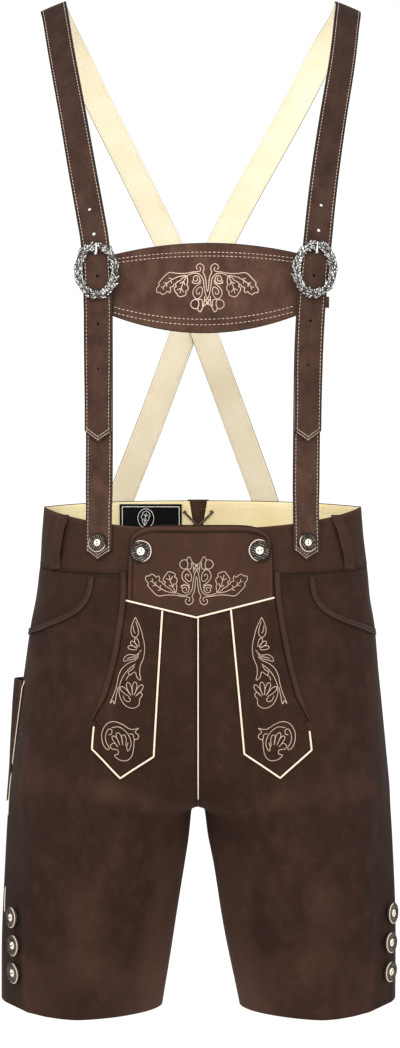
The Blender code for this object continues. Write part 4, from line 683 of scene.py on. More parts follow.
    def share_at(self, side: int, z: np.ndarray, value: np.ndarray, axis: int = 0,
                 front: bool = True) -> np.ndarray:
        """Share at which the ring reaches a distance.

        Args:
            side: RIGHT or LEFT.
            z: heights.
            value: distance from the centre plane, or y where axis is 1.
            axis: 0 for x, 1 for y.
            front: whether to look in front of the side seam, for x.

        Returns:
            Shares of the ring.
        """
        z, value = together(z, value)
        if axis == 1:
            low, high = np.full(z.shape, 0.2), np.full(z.shape, 0.8)
        else:
            low = np.full(z.shape, 0.0 if front else 1.0)
            high = np.full(z.shape, 0.5)
        for _ in range(32):
            middle = (low + high) / 2
            point = self.bare_point(side, z, middle)[..., axis]
            under = (np.abs(point) if axis == 0 else point) < value
            low = np.where(under, middle, low)
            high = np.where(under, high, middle)
        return (low + high) / 2

    def _front_face(self, x: np.ndarray, z: np.ndarray) -> np.ndarray:
        """Points of the smooth front face at x and z.

        Args:
            x: places across in metres.
            z: heights in metres.

        Returns:
            The points.
        """
        parts = {side: self.sizes(side, z) for side in (RIGHT, LEFT)}
        y = {side: -form.front * self.depth_share(form, np.abs(x))
             for side, form in parts.items()}
        return np.stack([x, np.where(x >= 0, y[LEFT], y[RIGHT]), z], -1)

    def front(self, x: np.ndarray, z: np.ndarray, lift: float | np.ndarray = 0.0
              ) -> np.ndarray:
        """Points on the creased front face at x and height z, moved out by lift."""
        x, z = together(x, z)
        return self.raised(self._front_face(x, z), self.front_normal(x, z), lift)

    def front_normal(self, x: np.ndarray, z: np.ndarray) -> np.ndarray:
        """Outward directions of the smooth front face.

        Args:
            x: places across in metres.
            z: heights in metres.

        Returns:
            One unit vector a place.
        """
        step = 0.5 * MM
        across = self._front_face(x + step, z) - self._front_face(x - step, z)
        upright = self._front_face(x, z + step) - self._front_face(x, z - step)
        return unit(np.cross(across, upright))

    def back(self, x: np.ndarray, z: np.ndarray, lift: float | np.ndarray = 0.0
             ) -> np.ndarray:
        """Points on the back face at x and height z, moved out by lift.

        Args:
            x: places across in metres.
            z: heights in metres.
            lift: how far out, in metres.

        Returns:
            The points.
        """
        x, z, lift = together(x, z, lift)
        points = np.zeros((*x.shape, 3))
        for side in (RIGHT, LEFT):
            chosen = (x >= 0) if side == LEFT else (x < 0)
            share = self.share_at(side, z, np.abs(x), front=False)
            base = self.bare_point(side, z, share)
            normal = self.normal(side, z, share)
            near = (np.abs(x) < 2 * MM)[..., None]
            flat = unit(normal * np.array([0.0, 1.0, 1.0]))
            normal = np.where(near, flat, normal)
            base = np.where(near, np.stack([x, base[..., 1], z], -1), base)
            points = np.where(chosen[..., None], self.raised(base, normal, lift), points)
        return points

    def waist_top(self, side: int, share: np.ndarray) -> np.ndarray:
        """Height of the waistband's top edge at shares of the ring.

        Args:
            side: RIGHT or LEFT.
            share: shares of the ring, from the centre front round to the centre back.

        Returns:
            Heights in metres.
        """
        y = self.bare_point(side, WAIST_TOP_SIDE, share)[..., 1]
        form = self.sizes(side, np.asarray(WAIST_TOP_SIDE))
        return np.where(y < 0, WAIST_TOP_SIDE - WAIST_TOP_FRONT_DIP * (y / form.front) ** 2,
                        WAIST_TOP_SIDE + WAIST_TOP_BACK_RISE * (y / form.back) ** 2)

    def waist_seam(self, side: int, share: np.ndarray) -> np.ndarray:
        """Height of the seam under the waistband at shares of the ring.

        Args:
            side: RIGHT or LEFT.
            share: shares of the ring, from the centre front round to the centre back.

        Returns:
            Heights in metres.
        """
        y = self.bare_point(side, WAIST_SEAM_SIDE, share)[..., 1]
        form = self.sizes(side, np.asarray(WAIST_SEAM_SIDE))
        return WAIST_SEAM_SIDE + WAIST_SEAM_FRONT_DIP * np.minimum(y, 0.0) / form.front

    def pocket_top_share(self, side: int) -> float:
        """Share of the ring where the pocket mouth meets the waist seam."""
        return float(self.share_at(side, WAIST_SEAM_SIDE, POCKET_TOP_X[side]))

    def pocket_curve(self, side: int, t: np.ndarray) -> tuple[np.ndarray, np.ndarray]:
        """Share and height of the pocket mouth, t from 0 at the waist seam to 1.

        Args:
            side: RIGHT or LEFT.
            t: places along the mouth.

        Returns:
            The shares and the heights.
        """
        top = self.pocket_top_share(side)
        t = np.asarray(t, float)
        turn = np.pi / 2 * t ** POCKET_SPACING
        bend = np.maximum(np.cos(turn), 0.0) ** POCKET_SQUARE
        share = top + (self.seam_share(WAIST_SEAM_SIDE) - top) * (1 - bend)
        drop = POCKET_DEPTH * np.sin(turn) ** POCKET_SQUARE + POCKET_TAIL * t ** POCKET_TAIL_POWER
        return share, self.waist_seam(side, top) - drop


FORM = GarmentForm()


# --- Finishes -------------------------------------------------------------------------------

def linear(code: str) -> tuple[float, float, float, float]:
    """An sRGB hex code as linear red, green, blue and an alpha of one.

    Args:
        code: six hex digits.

    Returns:
        The four channels.
    """
    channels = [int(code[k:k + 2], 16) / 255 for k in (0, 2, 4)]
    parts = [c / 12.92 if c <= 0.04045 else ((c + 0.055) / 1.055) ** 2.4 for c in channels]
    return (*parts, 1.0)


class Shading:
    """One material's node tree around its Principled shader."""

    def __init__(self, name: str) -> None:
        """Start a material of that name.

        Args:
            name: the material's name.
        """
        self.material = bpy.data.materials.new(name)
        self.material.use_nodes = True
        self.tree = self.material.node_tree
        self.shader = self.tree.nodes["Principled BSDF"]

    def add(self, kind: str, settings: dict | None = None, **inputs) -> bpy.types.Node:
        """Add a node with its settings, socket values and links.

        Args:
            kind: node type.
            settings: properties of the node.
            inputs: sockets by name, with _ for a space; a socket object is linked.

        Returns:
            The node.
        """
        made = self.tree.nodes.new(kind)
        for key, value in (settings or {}).items():
            setattr(made, key, value)
        for key, value in inputs.items():
            if key[0] == "i" and key[1:].isdigit():
                socket = made.inputs[int(key[1:])]
            else:
                socket = made.inputs[key.replace("_", " ")]
            if isinstance(value, bpy.types.NodeSocket):
                self.tree.links.new(value, socket)
            else:
                socket.default_value = value
        return made

    def math(self, operation: str, a: Value, b: Value = 0.0) -> bpy.types.NodeSocket:
        """Result of a maths node on two values or sockets."""
        return self.add("ShaderNodeMath", {"operation": operation}, i0=a, i1=b).outputs[0]

    def blend(self, first: Value, share: float, second: Value) -> bpy.types.NodeSocket:
        """Two values added: the first by its share and the second by the rest."""
        return self.math("ADD", self.math("MULTIPLY", first, share),
                         self.math("MULTIPLY", second, 1 - share))

    def place(self, scale: tuple[float, float, float], cloth: bool = False
              ) -> bpy.types.NodeSocket:
        """Coordinates scaled per metre, of the object or along the cloth.

        Args:
            scale: factors on x, y and z.
            cloth: whether to go by the cloth attribute.

        Returns:
            The vector socket.
        """
        if cloth:
            source = self.add("ShaderNodeAttribute", {"attribute_name": "cloth"})
            socket = source.outputs["Vector"]
        else:
            socket = self.add("ShaderNodeTexCoord").outputs["Object"]
        return self.add("ShaderNodeMapping", Vector=socket, Scale=scale).outputs["Vector"]

    def noise(self, vector: bpy.types.NodeSocket, scale: float = 1.0, detail: float = 3.0,
              roughness: float = 0.5) -> bpy.types.NodeSocket:
        """Noise value at a vector."""
        return self.add("ShaderNodeTexNoise", Vector=vector, Scale=scale, Detail=detail,
                        Roughness=roughness).outputs["Fac"]

    def ramp(self, value: bpy.types.NodeSocket, stops: Sequence[tuple[float, str]]
             ) -> bpy.types.NodeSocket:
        """Colour between stops of (place, hex code).

        Args:
            value: what it goes by.
            stops: at least two.

        Returns:
            The colour socket.
        """
        made = self.add("ShaderNodeValToRGB", Fac=value)
        band = made.color_ramp
        while len(band.elements) < len(stops):
            band.elements.new(0.5)
        for element, (place, code) in zip(band.elements, stops):
            element.position = place
            element.color = linear(code)
        return made.outputs["Color"]

    def mix(self, share: Value, a: Value | tuple, b: Value | tuple, blend: str = "MIX"
            ) -> bpy.types.NodeSocket:
        """Mix of two colours.

        Args:
            share: of the second.
            a: the first.
            b: the second.
            blend: how they mix.

        Returns:
            The colour socket.
        """
        made = self.add("ShaderNodeMix", {"data_type": "RGBA", "blend_type": blend})
        for index, value in ((0, share), (6, a), (7, b)):
            if isinstance(value, bpy.types.NodeSocket):
                self.tree.links.new(value, made.inputs[index])
            else:
                made.inputs[index].default_value = value
        return made.outputs[2]

    def remap(self, value: Value, low: float, high: float, to_low: float = 0.0,
              to_high: float = 1.0) -> bpy.types.NodeSocket:
        """Value moved from one range to another, held inside it."""
        return self.add("ShaderNodeMapRange", Value=value, From_Min=low, From_Max=high,
                        To_Min=to_low, To_Max=to_high).outputs["Result"]

    def bump(self, height: bpy.types.NodeSocket, distance: float, strength: float = 1.0
             ) -> None:
        """Raise the surface by a height value, over a distance in metres.

        Args:
            height: the value.
            distance: its full height.
            strength: how strongly it shows.
        """
        made = self.add("ShaderNodeBump", Height=height, Distance=distance,
                        Strength=strength)
        last = self.shader.inputs["Normal"]
        if last.is_linked:
            self.tree.links.new(last.links[0].from_socket, made.inputs["Normal"])
        self.tree.links.new(made.outputs["Normal"], last)

    def set(self, **inputs) -> None:
        """Set or link sockets of the shader."""
        for key, value in inputs.items():
            socket = self.shader.inputs[key.replace("_", " ")]
            if isinstance(value, bpy.types.NodeSocket):
                self.tree.links.new(value, socket)
            else:
                socket.default_value = value


@dataclass(frozen=True)
class Leather:
    """Leather of one colour, with its pores, nap, rubbed places and painted highlight and shade.

    nap is the share of sheen that the raised fibres give, grain how deep the pores are; the pale
    and dark colours are those of rubbed places and pressed seams, and of painted highlight and
    painted shade.
    """

    name: str
    dark: str
    color: str
    light: str
    roughness: float
    nap: float
    grain: float
    # Pale of rubbed places and of painted highlight; dark of pressed seams and of painted shade.
    rubbed_and_highlight: str = "6b4c3e"
    pressed_and_shade: str = "120b08"
    shine: float = 0.15

    def build(self) -> bpy.types.Material:
        """Make the material.

        Returns:
            The material.
        """
        made = Shading(self.name)
        # Slow mottling, longer down the hide than across, as of brushed and worn suede.
        slow = made.noise(made.place((14, 14, 9)), detail=4.0, roughness=0.55)
        cloudy = made.noise(made.place((60, 60, 44)), detail=3.0, roughness=0.6)
        tone = made.blend(slow, 0.25, cloudy)
        color = made.ramp(tone, ((0.32, self.dark), (0.5, self.color), (0.68, self.light)))
        # The nap: short fibres about 0.3 mm apart, drawn at 0.9 mm so that they still show.
        nap = made.noise(made.place((1100, 1100, 800)), detail=2.0, roughness=0.6)
        fleck = made.ramp(nap, ((0.3, "c9c2bd"), (0.7, "ffffff")))
        color = made.mix(1.0, color, fleck, "MULTIPLY")
        # Pale and dark places: the cloth attribute's z is 1 where the leather is worn pale and
        # where a painted highlight lies on ridges, and -1 where it is dark, in seams and under
        # stitches and where painted shade lies in troughs, grooves and along edges.
        wear_and_shade = made.add("ShaderNodeSeparateXYZ",
                        Vector=made.place((1, 1, 1), cloth=True)).outputs[2]
        worn = made.mix(made.remap(wear_and_shade, 0.0, 1.0), color, linear(self.rubbed_and_highlight))
        pressed_and_shade = made.mix(made.remap(wear_and_shade, 0.0, -1.0), worn, linear(self.pressed_and_shade))
        made.set(Base_Color=pressed_and_shade, Roughness=self.roughness, Sheen_Weight=self.nap,
                 Sheen_Roughness=0.45, Sheen_Tint=linear(self.light),
                 Specular_IOR_Level=self.shine)
        made.bump(cloudy, 0.9 * MM, 0.5)
        made.bump(nap, self.grain * MM, 0.6)
        return made.material


@dataclass(frozen=True)
class Woven:
    """Cloth woven of two threads, pitch apart in metres."""

    name: str
    color: str
    shade: str
    pitch: float
    depth: float
    fuzz: float = 0.25                  # share of sheen that the loose fibres give

    def build(self) -> bpy.types.Material:
        """Make the material.

        Returns:
            The material.
        """
        made = Shading(self.name)
        turns = 1 / self.pitch
        vector = made.place((turns, turns, 1), cloth=True)
        warp = made.add("ShaderNodeTexWave", {"bands_direction": "DIAGONAL"}, Vector=vector,
                        Scale=0.31, Distortion=1.2, Detail=1.0, Detail_Scale=1.5)
        weft = made.add("ShaderNodeTexWave", {"bands_direction": "X"}, Vector=vector,
                        Scale=0.31, Distortion=1.0, Detail=1.0, Detail_Scale=1.5)
        weave = made.blend(warp.outputs["Fac"], 0.6, weft.outputs["Fac"])
        slow = made.noise(made.place((30, 30, 30)), detail=3.0)
        base = made.ramp(slow, ((0.35, self.shade), (0.65, self.color)))
        tone = made.ramp(weave, ((0.0, "f0ece6"), (1.0, "ffffff")))
        made.set(Base_Color=made.mix(1.0, base, tone, "MULTIPLY"), Roughness=0.88,
                 Sheen_Weight=self.fuzz, Sheen_Roughness=0.5, Specular_IOR_Level=0.15)
        made.bump(weave, self.depth, 0.7)
        return made.material


@dataclass(frozen=True)
class Thread:
    """Twisted or satin-laid thread."""

    name: str
    color: str
    shade: str
    roughness: float

    def build(self) -> bpy.types.Material:
        """Make the material.

        Returns:
            The material.
        """
        made = Shading(self.name)
        # Strands of 0.15 mm, drawn 0.5 mm apart, which roughen the thread's light edge.
        strand = made.noise(made.place((1900, 1900, 1900)), detail=2.0)
        slow = made.noise(made.place((60, 60, 60)), detail=2.0)
        color = made.ramp(made.blend(strand, 0.55, slow),
                          ((0.36, self.shade), (0.6, self.color)))
        made.set(Base_Color=color, Roughness=self.roughness, Sheen_Weight=0.2,
                 Specular_IOR_Level=0.4)
        made.bump(strand, 0.12 * MM, 0.6)
        return made.material


@dataclass(frozen=True)
class Horn:
    """Polished stag horn, dark with pale lines scraped along it.

    The cloth attribute holds the button's own x and y, as shares of its radius.
    """

    name: str
    dark: str
    color: str
    scrape: str

    def build(self) -> bpy.types.Material:
        """Make the material.

        Returns:
            The material.
        """
        made = Shading(self.name)
        own = made.place((1, 1, 1), cloth=True)
        parts = made.add("ShaderNodeSeparateXYZ", Vector=own)
        x, y = parts.outputs[0], parts.outputs[1]
        marble = made.noise(own, 2.3, detail=4.0, roughness=0.6)
        body = made.ramp(marble, ((0.36, self.dark), (0.66, self.color)))
        # Scraped lines: a wave across the button, broken up along its length.
        wave = made.add("ShaderNodeTexWave", {"bands_direction": "Y"}, Vector=own,
                        Scale=1.5, Distortion=1.5, Detail=3.0, Detail_Scale=0.9,
                        Detail_Roughness=0.7).outputs["Fac"]
        broken = made.noise(made.add("ShaderNodeMapping", Vector=own,
                                     Scale=(2.2, 6.0, 1.0)).outputs["Vector"], 1.6, 3.0)
        lines = made.math("MULTIPLY", made.remap(wave, 0.8, 0.97),
                          made.remap(broken, 0.42, 0.58))
        radius = made.math("SQRT", made.math("ADD", made.math("MULTIPLY", x, x),
                                             made.math("MULTIPLY", y, y)))
        inside = made.remap(radius, 0.86, 0.8)
        lines = made.math("MULTIPLY", lines, inside)
        # The pale arc on the rim, on the side where the button's own x is positive.
        rim = made.math("MULTIPLY", made.remap(radius, 0.88, 0.905),
                        made.remap(radius, 0.99, 0.965))
        arc = made.math("MULTIPLY", rim, made.remap(x, -0.25, 0.1))
        arc = made.math("MULTIPLY", arc, 0.75)
        pale = made.math("MAXIMUM", made.math("MULTIPLY", lines, 0.5), arc)
        made.set(Base_Color=made.mix(pale, body, linear(self.scrape)), Roughness=0.5,
                 Specular_IOR_Level=0.18)
        made.bump(made.math("SUBTRACT", 1.0, lines), 0.25 * MM, 0.6)
        return made.material


@dataclass(frozen=True)
class AntiqueMetal:
    """Cast metal, silver plated and blackened, then rubbed bright on its ridges.

    The cloth attribute's x is 0 in the recesses and 1 on the ridges.
    """

    name: str
    black: str
    grey: str
    bright: str

    def build(self) -> bpy.types.Material:
        """Make the material.

        Returns:
            The material.
        """
        made = Shading(self.name)
        height = made.add("ShaderNodeSeparateXYZ",
                          Vector=made.place((1, 1, 1), cloth=True)).outputs[0]
        worn = made.noise(made.place((420, 420, 420)), detail=3.0)
        level = made.math("ADD", height, made.math("MULTIPLY",
                                                   made.math("SUBTRACT", worn, 0.5), 0.9))
        color = made.ramp(level, ((0.2, self.black), (0.55, self.grey), (1.0, self.bright)))
        rough = made.remap(level, 0.2, 0.8, 0.6, 0.24)
        made.set(Base_Color=color, Roughness=rough,
                 Metallic=made.remap(level, 0.15, 0.45, 0.35, 1.0))
        made.bump(worn, 0.12 * MM, 0.4)
        return made.material


@dataclass(frozen=True)
class Smooth:
    """Even, nearly plain finish with a faint grain."""

    name: str
    color: str
    roughness: float
    grain: float = 0.05
    glow: float = 0.0

    def build(self) -> bpy.types.Material:
        """Make the material.

        Returns:
            The material.
        """
        made = Shading(self.name)
        grain = made.noise(made.place((800, 800, 800)), detail=2.0)
        shade = made.ramp(grain, ((0.3, "e6e2dc"), (0.7, "ffffff")))
        made.set(Base_Color=made.mix(1.0, linear(self.color), shade, "MULTIPLY"),
                 Roughness=self.roughness, Specular_IOR_Level=0.35,
                 Emission_Color=linear("ffffff"), Emission_Strength=self.glow)
        made.bump(grain, self.grain * MM, 0.5)
        return made.material


# Brushed split suede: matt, with a soft light bloom where it turns away.
SUEDE = Leather("brushed_split_suede", "2a1a12", "311e16", "3a261c", 0.94, 0.06, 0.2)
# Nubuck strap leather: redder, a little closer and smoother than the shorts.
NUBUCK = Leather("nubuck_strap_leather", "3c271f", "4a3329", "593f34", 0.82, 0.1, 0.1)
# Cut edge of the straps: dyed and burnished, nearly black from the front.
CUT_EDGE = Smooth("burnished_cut_edge", "20140f", 0.6)
# Flesh side of the split, rougher and paler than its face.
FLESH = Leather("suede_flesh_side", "3a281f", "4a352a", "5b4437", 0.95, 0.12, 0.2)
# Cotton twill: cream, matt; 0.5 mm threads drawn 1.2 mm apart so that the weave shows. Its cream
# is painted paler, to make up for the shade inside the back.
TWILL = Woven("cotton_twill_lining", "fdf0c4", "f8e6b2", 1.2 * MM, 0.08 * MM, 0.1)
# The straps' twill, a little greyer, and darker than the waist lining's, whose cream is painted
# paler.
STRAP_TWILL = Woven("cotton_twill_strap_lining", "e1d7bf", "dacfb3", 1.2 * MM,
                    0.08 * MM, 0.05)
# Sewing thread of the straps: polyester, with a low satin light.
SEWING = Thread("satin_sewing_thread", "c8b7a4", "a08d7a", 0.6)
# Embroidery thread: rayon cord, laid and couched down.
EMBROIDERY = Thread("couched_rayon_cord", "bfa792", "96806e", 0.5)
CHEST_EMBROIDERY = Thread("couched_rayon_cord_pale", "c9b09b", "967d6b", 0.5)
# Piping of cream lamb leather rolled round a cord.
PIPING = Smooth("cream_lamb_piping", "eadac3", 0.6, 0.08)
# Stag horn buttons, and their pale sewn middles.
HORN = Horn("polished_stag_horn", "0a0604", "21160f", "dccab8")
HORN_CENTRE = Smooth("pale_antler_core", "f1e8d2", 0.45)
# Zinc casting, silver plated and oxidised.
SILVER = AntiqueMetal("antique_silver_plate", "100d0c", "6c6966", "dad7d3")
# The prong, rubbed bright by the strap that slides along it.
RUBBED_SILVER = AntiqueMetal("rubbed_silver_plate", "a5a29d", "dcdad6", "f7f6f4")
# Damask label: fine black polyester weave of 0.2 mm threads, drawn 0.8 mm apart.
LABEL = Woven("damask_label", "08090b", "050607", 0.8 * MM, 0.05 * MM, 0.03)
LABEL_THREAD = Thread("white_label_thread", "f1efea", "d9d5cc", 0.6)
# Tone-on-tone sewing thread of the shorts, and the lining's own cream thread.
DARK_THREAD = Thread("dark_brown_thread", "2a1b14", "1e130e", 0.8)
LINING_THREAD = Thread("cream_cotton_thread", "e2d6b0", "cabd95", 0.7)
# Round leather-brown cotton cord.
LACE = Thread("waxed_cotton_lace", "5b4533", "33251b", 0.7)


Finish = Union[Leather, Woven, Thread, Horn, AntiqueMetal, Smooth]


class Finishes:
    """Every material, made once."""

    def __init__(self) -> None:
        """Start with none."""
        self.made: dict[str, bpy.types.Material] = {}

    def get(self, finish: Finish) -> bpy.types.Material:
        """The material of a finish, built the first time it is asked for.

        Args:
            finish: the finish.

        Returns:
            The material.
        """
        if finish.name not in self.made:
            self.made[finish.name] = finish.build()
        return self.made[finish.name]


FINISHES = Finishes()


# --- Meshes ---------------------------------------------------------------------------------

class Draft:
    """Points and faces of one piece, gathered before its mesh is made."""

    def __init__(self) -> None:
        """Start empty."""
        self.points: list[np.ndarray] = []
        self.cloth: list[np.ndarray] = []
        self.faces: list[tuple[np.ndarray, int]] = []
        self.count = 0

    def add(self, points: np.ndarray, faces: Sequence[np.ndarray], slot: int = 0,
            cloth: np.ndarray | None = None) -> None:
        """Add a part.

        Args:
            points: its points.
            faces: arrays of corner numbers into those points, one array a corner count.
            slot: the material of its faces.
            cloth: the pattern place of each point.
        """
        flat = points.reshape(-1, 3)
        self.points.append(flat)
        self.cloth.append(np.zeros_like(flat) if cloth is None else cloth.reshape(-1, 3))
        for corners in faces:
            if len(corners):
                self.faces.append((np.asarray(corners) + self.count, slot))
        self.count += len(flat)

    def build(self, name: str, finishes: Sequence[Finish]) -> bpy.types.Object:
        """Make the object.

        Args:
            name: its name.
            finishes: one finish a slot.

        Returns:
            The object, shaded smooth, its faces turned out.
        """
        mesh = bpy.data.meshes.new(name)
        points = np.concatenate(self.points)
        mesh.vertices.add(len(points))
        mesh.vertices.foreach_set("co", points.ravel())
        totals = np.concatenate([np.full(len(f), f.shape[1]) for f, _ in self.faces])
        corners = np.concatenate([f.ravel() for f, _ in self.faces])
        slots = np.concatenate([np.full(len(f), slot) for f, slot in self.faces])
        mesh.loops.add(len(corners))
        mesh.loops.foreach_set("vertex_index", corners.astype(np.int32))
        mesh.polygons.add(len(totals))
        starts = np.concatenate([[0], np.cumsum(totals)[:-1]])
        mesh.polygons.foreach_set("loop_start", starts.astype(np.int32))
        mesh.polygons.foreach_set("material_index", slots.astype(np.int32))
        mesh.polygons.foreach_set("use_smooth", np.ones(len(totals), bool))
        mesh.update(calc_edges=True)
        for finish in finishes:
            mesh.materials.append(FINISHES.get(finish))
        pattern = mesh.attributes.new("cloth", "FLOAT_VECTOR", "POINT")
        pattern.data.foreach_set("vector", np.concatenate(self.cloth).ravel())
        turn_out(mesh)
        thing = bpy.data.objects.new(name, mesh)
        bpy.context.scene.collection.objects.link(thing)
        return thing


def turn_out(mesh: bpy.types.Mesh) -> None:
    """Turn every closed part's faces outward.

    Args:
        mesh: changed in place.
    """
    shape = bmesh.new()
    shape.from_mesh(mesh)
    bmesh.ops.recalc_face_normals(shape, faces=shape.faces)
    shape.to_mesh(mesh)
    shape.free()


def keep(thing: bpy.types.Object, nodes: Sequence[str] = ()
         ) -> bpy.types.Object:
    """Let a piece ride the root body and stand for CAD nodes.

    Args:
        thing: the piece.
        nodes: the CAD nodes that it stands for.

    Returns:
        The piece.
    """
    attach(thing, Body.ROOT.value)
    if nodes:
        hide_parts(*nodes)
    LOG.info("%s: %d faces", thing.name, len(thing.data.polygons))
    return thing


def grid_faces(rows: int, columns: int, start: int = 0) -> np.ndarray:
    """Quads between the points of a grid.

    Args:
        rows: rows of points.
        columns: points in a row.
        start: number of the first point.

    Returns:
        Four corner numbers a face.
    """
    r, c = np.meshgrid(np.arange(rows - 1), np.arange(columns - 1), indexing="ij")
    a = start + r * columns + c
    return np.stack([a, a + 1, a + columns + 1, a + columns], -1).reshape(-1, 4)


def ring_faces(rings: int, sides: int) -> np.ndarray:
    """Quads between closed rings of points, one ring after another.

    Args:
        rings: how many rings.
        sides: points in a ring.

    Returns:
        Four corner numbers a face.
    """
    ids = np.arange(rings * sides).reshape(rings, sides)
    a, b = ids[:-1], ids[1:]
    return np.stack([a, np.roll(a, -1, 1), np.roll(b, -1, 1), b], -1).reshape(-1, 4)


def tip_faces(rings: int, sides: int) -> list[np.ndarray]:
    """Triangles from the first and the last ring to the two tips numbered after them.

    Args:
        rings: how many rings.
        sides: points in a ring.

    Returns:
        Three corner numbers a face, one array a tip.
    """
    made = []
    for start, tip in ((0, rings * sides), ((rings - 1) * sides, rings * sides + 1)):
        ring = start + np.arange(sides)
        made.append(np.stack([ring, np.roll(ring, -1), np.full(sides, tip)], -1))
    return made


def cloth_places(grid: Grid) -> np.ndarray:
    """Distance across and down a grid at each of its points.

    Args:
        grid: rows of points.

    Returns:
        Places in metres, with the last of the three values left at 0.
    """
    across = np.linalg.norm(np.diff(grid, axis=1), axis=-1)
    down = np.linalg.norm(np.diff(grid, axis=0), axis=-1)
    places = np.zeros(grid.shape)
    places[:, 1:, 0] = np.cumsum(across, axis=1)
    places[1:, :, 1] = np.cumsum(down, axis=0)
    return places


def edge_steps(grid: Grid, limit: np.ndarray) -> np.ndarray:
    """Steps that bring a grid's border in, no more than a limit or most of half a cell.

    Args:
        grid: rows of points.
        limit: the longest step at each point.

    Returns:
        One step a point, none inside the border.
    """
    steps_in = np.zeros(grid.shape)
    for edge, inner in (((0, slice(None)), (1, slice(None))),
                        ((-1, slice(None)), (-2, slice(None))),
                        ((slice(None), 0), (slice(None), 1)),
                        ((slice(None), -1), (slice(None), -2))):
        gap = grid[edge] - grid[inner]
        length = np.linalg.norm(gap, axis=-1, keepdims=True)
        steps_in[edge] += unit(gap) * np.minimum(limit[edge], 0.45 * length)
    return steps_in


def border(rows: int, columns: int) -> np.ndarray:
    """Numbers of a grid's border points, in order round it.

    Args:
        rows: rows of points.
        columns: points in a row.

    Returns:
        The numbers.
    """
    top = np.arange(columns)
    right = np.arange(1, rows) * columns + columns - 1
    foot = (rows - 1) * columns + np.arange(columns - 2, -1, -1)
    left = np.arange(rows - 2, 0, -1) * columns
    return np.concatenate([top, right, foot, left])


def shell(draft: Draft, outer: Grid, inner: Grid, slots: tuple[int, int, int] = (0, 0, 0),
          wear_and_shade: np.ndarray | float = 0.0, rim_rows: int = 3) -> None:
    """Add a closed wall between two grids, its edges rounded.

    Args:
        draft: where it goes.
        outer: points of the outer face.
        inner: points of the inner face, as many.
        slots: materials of the outer face, the edge and the inner face.
        wear_and_shade: how pale (to 1) or dark (to -1) the leather is at each point, from its
            wear and from painted highlight and shade.
        rim_rows: rows of points round the edge between the faces.
    """
    rows, columns = outer.shape[:2]
    half = np.linalg.norm(outer - inner, axis=-1, keepdims=True) * 0.47
    steps_in = edge_steps(outer, half)
    outer, inner = outer - steps_in, inner - steps_in
    ring = border(rows, columns)
    flat_out, flat_in = outer.reshape(-1, 3), inner.reshape(-1, 3)
    push = steps_in.reshape(-1, 3)[ring]
    middle = (flat_out[ring] + flat_in[ring]) / 2
    lift = (flat_out[ring] - flat_in[ring]) / 2
    places = cloth_places(outer)
    places[..., 2] = wear_and_shade
    points, cloth = [flat_out, flat_in], [places.reshape(-1, 3)] * 2
    for k in range(rim_rows):
        turn = math.pi * (k + 1) / (rim_rows + 1)
        points.append(middle + lift * math.cos(turn) + push * math.sin(turn))
        cloth.append(places.reshape(-1, 3)[ring])
    count = rows * columns
    loops = [ring]
    for k in range(rim_rows):
        loops.append(2 * count + k * len(ring) + np.arange(len(ring)))
    loops.append(ring + count)
    start = draft.count
    draft.add(np.concatenate(points), [grid_faces(rows, columns)], slots[0],
              np.concatenate(cloth))
    draft.faces.append((grid_faces(rows, columns, start + count)[:, ::-1], slots[2]))
    for a, b in zip(loops, loops[1:]):
        quads = np.stack([a, b, np.roll(b, -1), np.roll(a, -1)], -1)
        draft.faces.append((quads + start, slots[1]))


def line_at(place: np.ndarray, middle: float, width: float) -> np.ndarray:
    """1 on a line across a value, falling off within a width."""
    return np.exp(-((place - middle) / width) ** 2)


def transport(path: np.ndarray) -> tuple[np.ndarray, np.ndarray, np.ndarray]:
    """Directions along, across and beside a path, turning no more than it has to.

    Args:
        path: points of its middle line.

    Returns:
        Three unit vectors a point.
    """
    ahead = np.gradient(path, axis=0)
    along = unit(ahead)
    across = np.zeros_like(path)
    first = np.array([0.0, 0.0, 1.0])
    if abs(along[0] @ first) > 0.9:
        first = np.array([1.0, 0.0, 0.0])
    across[0] = unit(np.cross(along[0], first))
    for k in range(1, len(path)):
        moved = across[k - 1] - along[k] * (across[k - 1] @ along[k])
        across[k] = moved / max(np.linalg.norm(moved), 1e-12)
    return along, across, np.cross(along, across)


def tube(draft: Draft, path: np.ndarray, radii: float | np.ndarray, sides: int = 10,
         slot: int = 0) -> None:
    """Add a round tube along a path, its ends rounded.

    Args:
        draft: where it goes.
        path: points of its middle line.
        radii: one radius, or one a point.
        sides: points round it.
        slot: material.
    """
    radii = np.broadcast_to(np.asarray(radii, float), (len(path),)).copy()
    along, across, beside = transport(path)
    caps = [(math.sin(t), math.cos(t)) for t in (math.pi / 6, math.pi / 3)]
    centres = [path[0] - along[0] * radii[0] * s for s, _ in caps[::-1]] + list(path)
    centres += [path[-1] + along[-1] * radii[-1] * s for s, _ in caps]
    sizes = [radii[0] * c for _, c in caps[::-1]] + list(radii)
    sizes += [radii[-1] * c for _, c in caps]
    axes = [(across[0], beside[0])] * 2 + list(zip(across, beside))
    axes += [(across[-1], beside[-1])] * 2
    turn = 2 * np.pi * np.arange(sides) / sides
    rings = [centre + size * (np.outer(np.cos(turn), a) + np.outer(np.sin(turn), b))
             for centre, size, (a, b) in zip(centres, sizes, axes)]
    tips = np.array([path[0] - along[0] * radii[0], path[-1] + along[-1] * radii[-1]])
    draft.add(np.concatenate([np.array(rings).reshape(-1, 3), tips]),
              [ring_faces(len(rings), sides), *tip_faces(len(rings), sides)], slot)


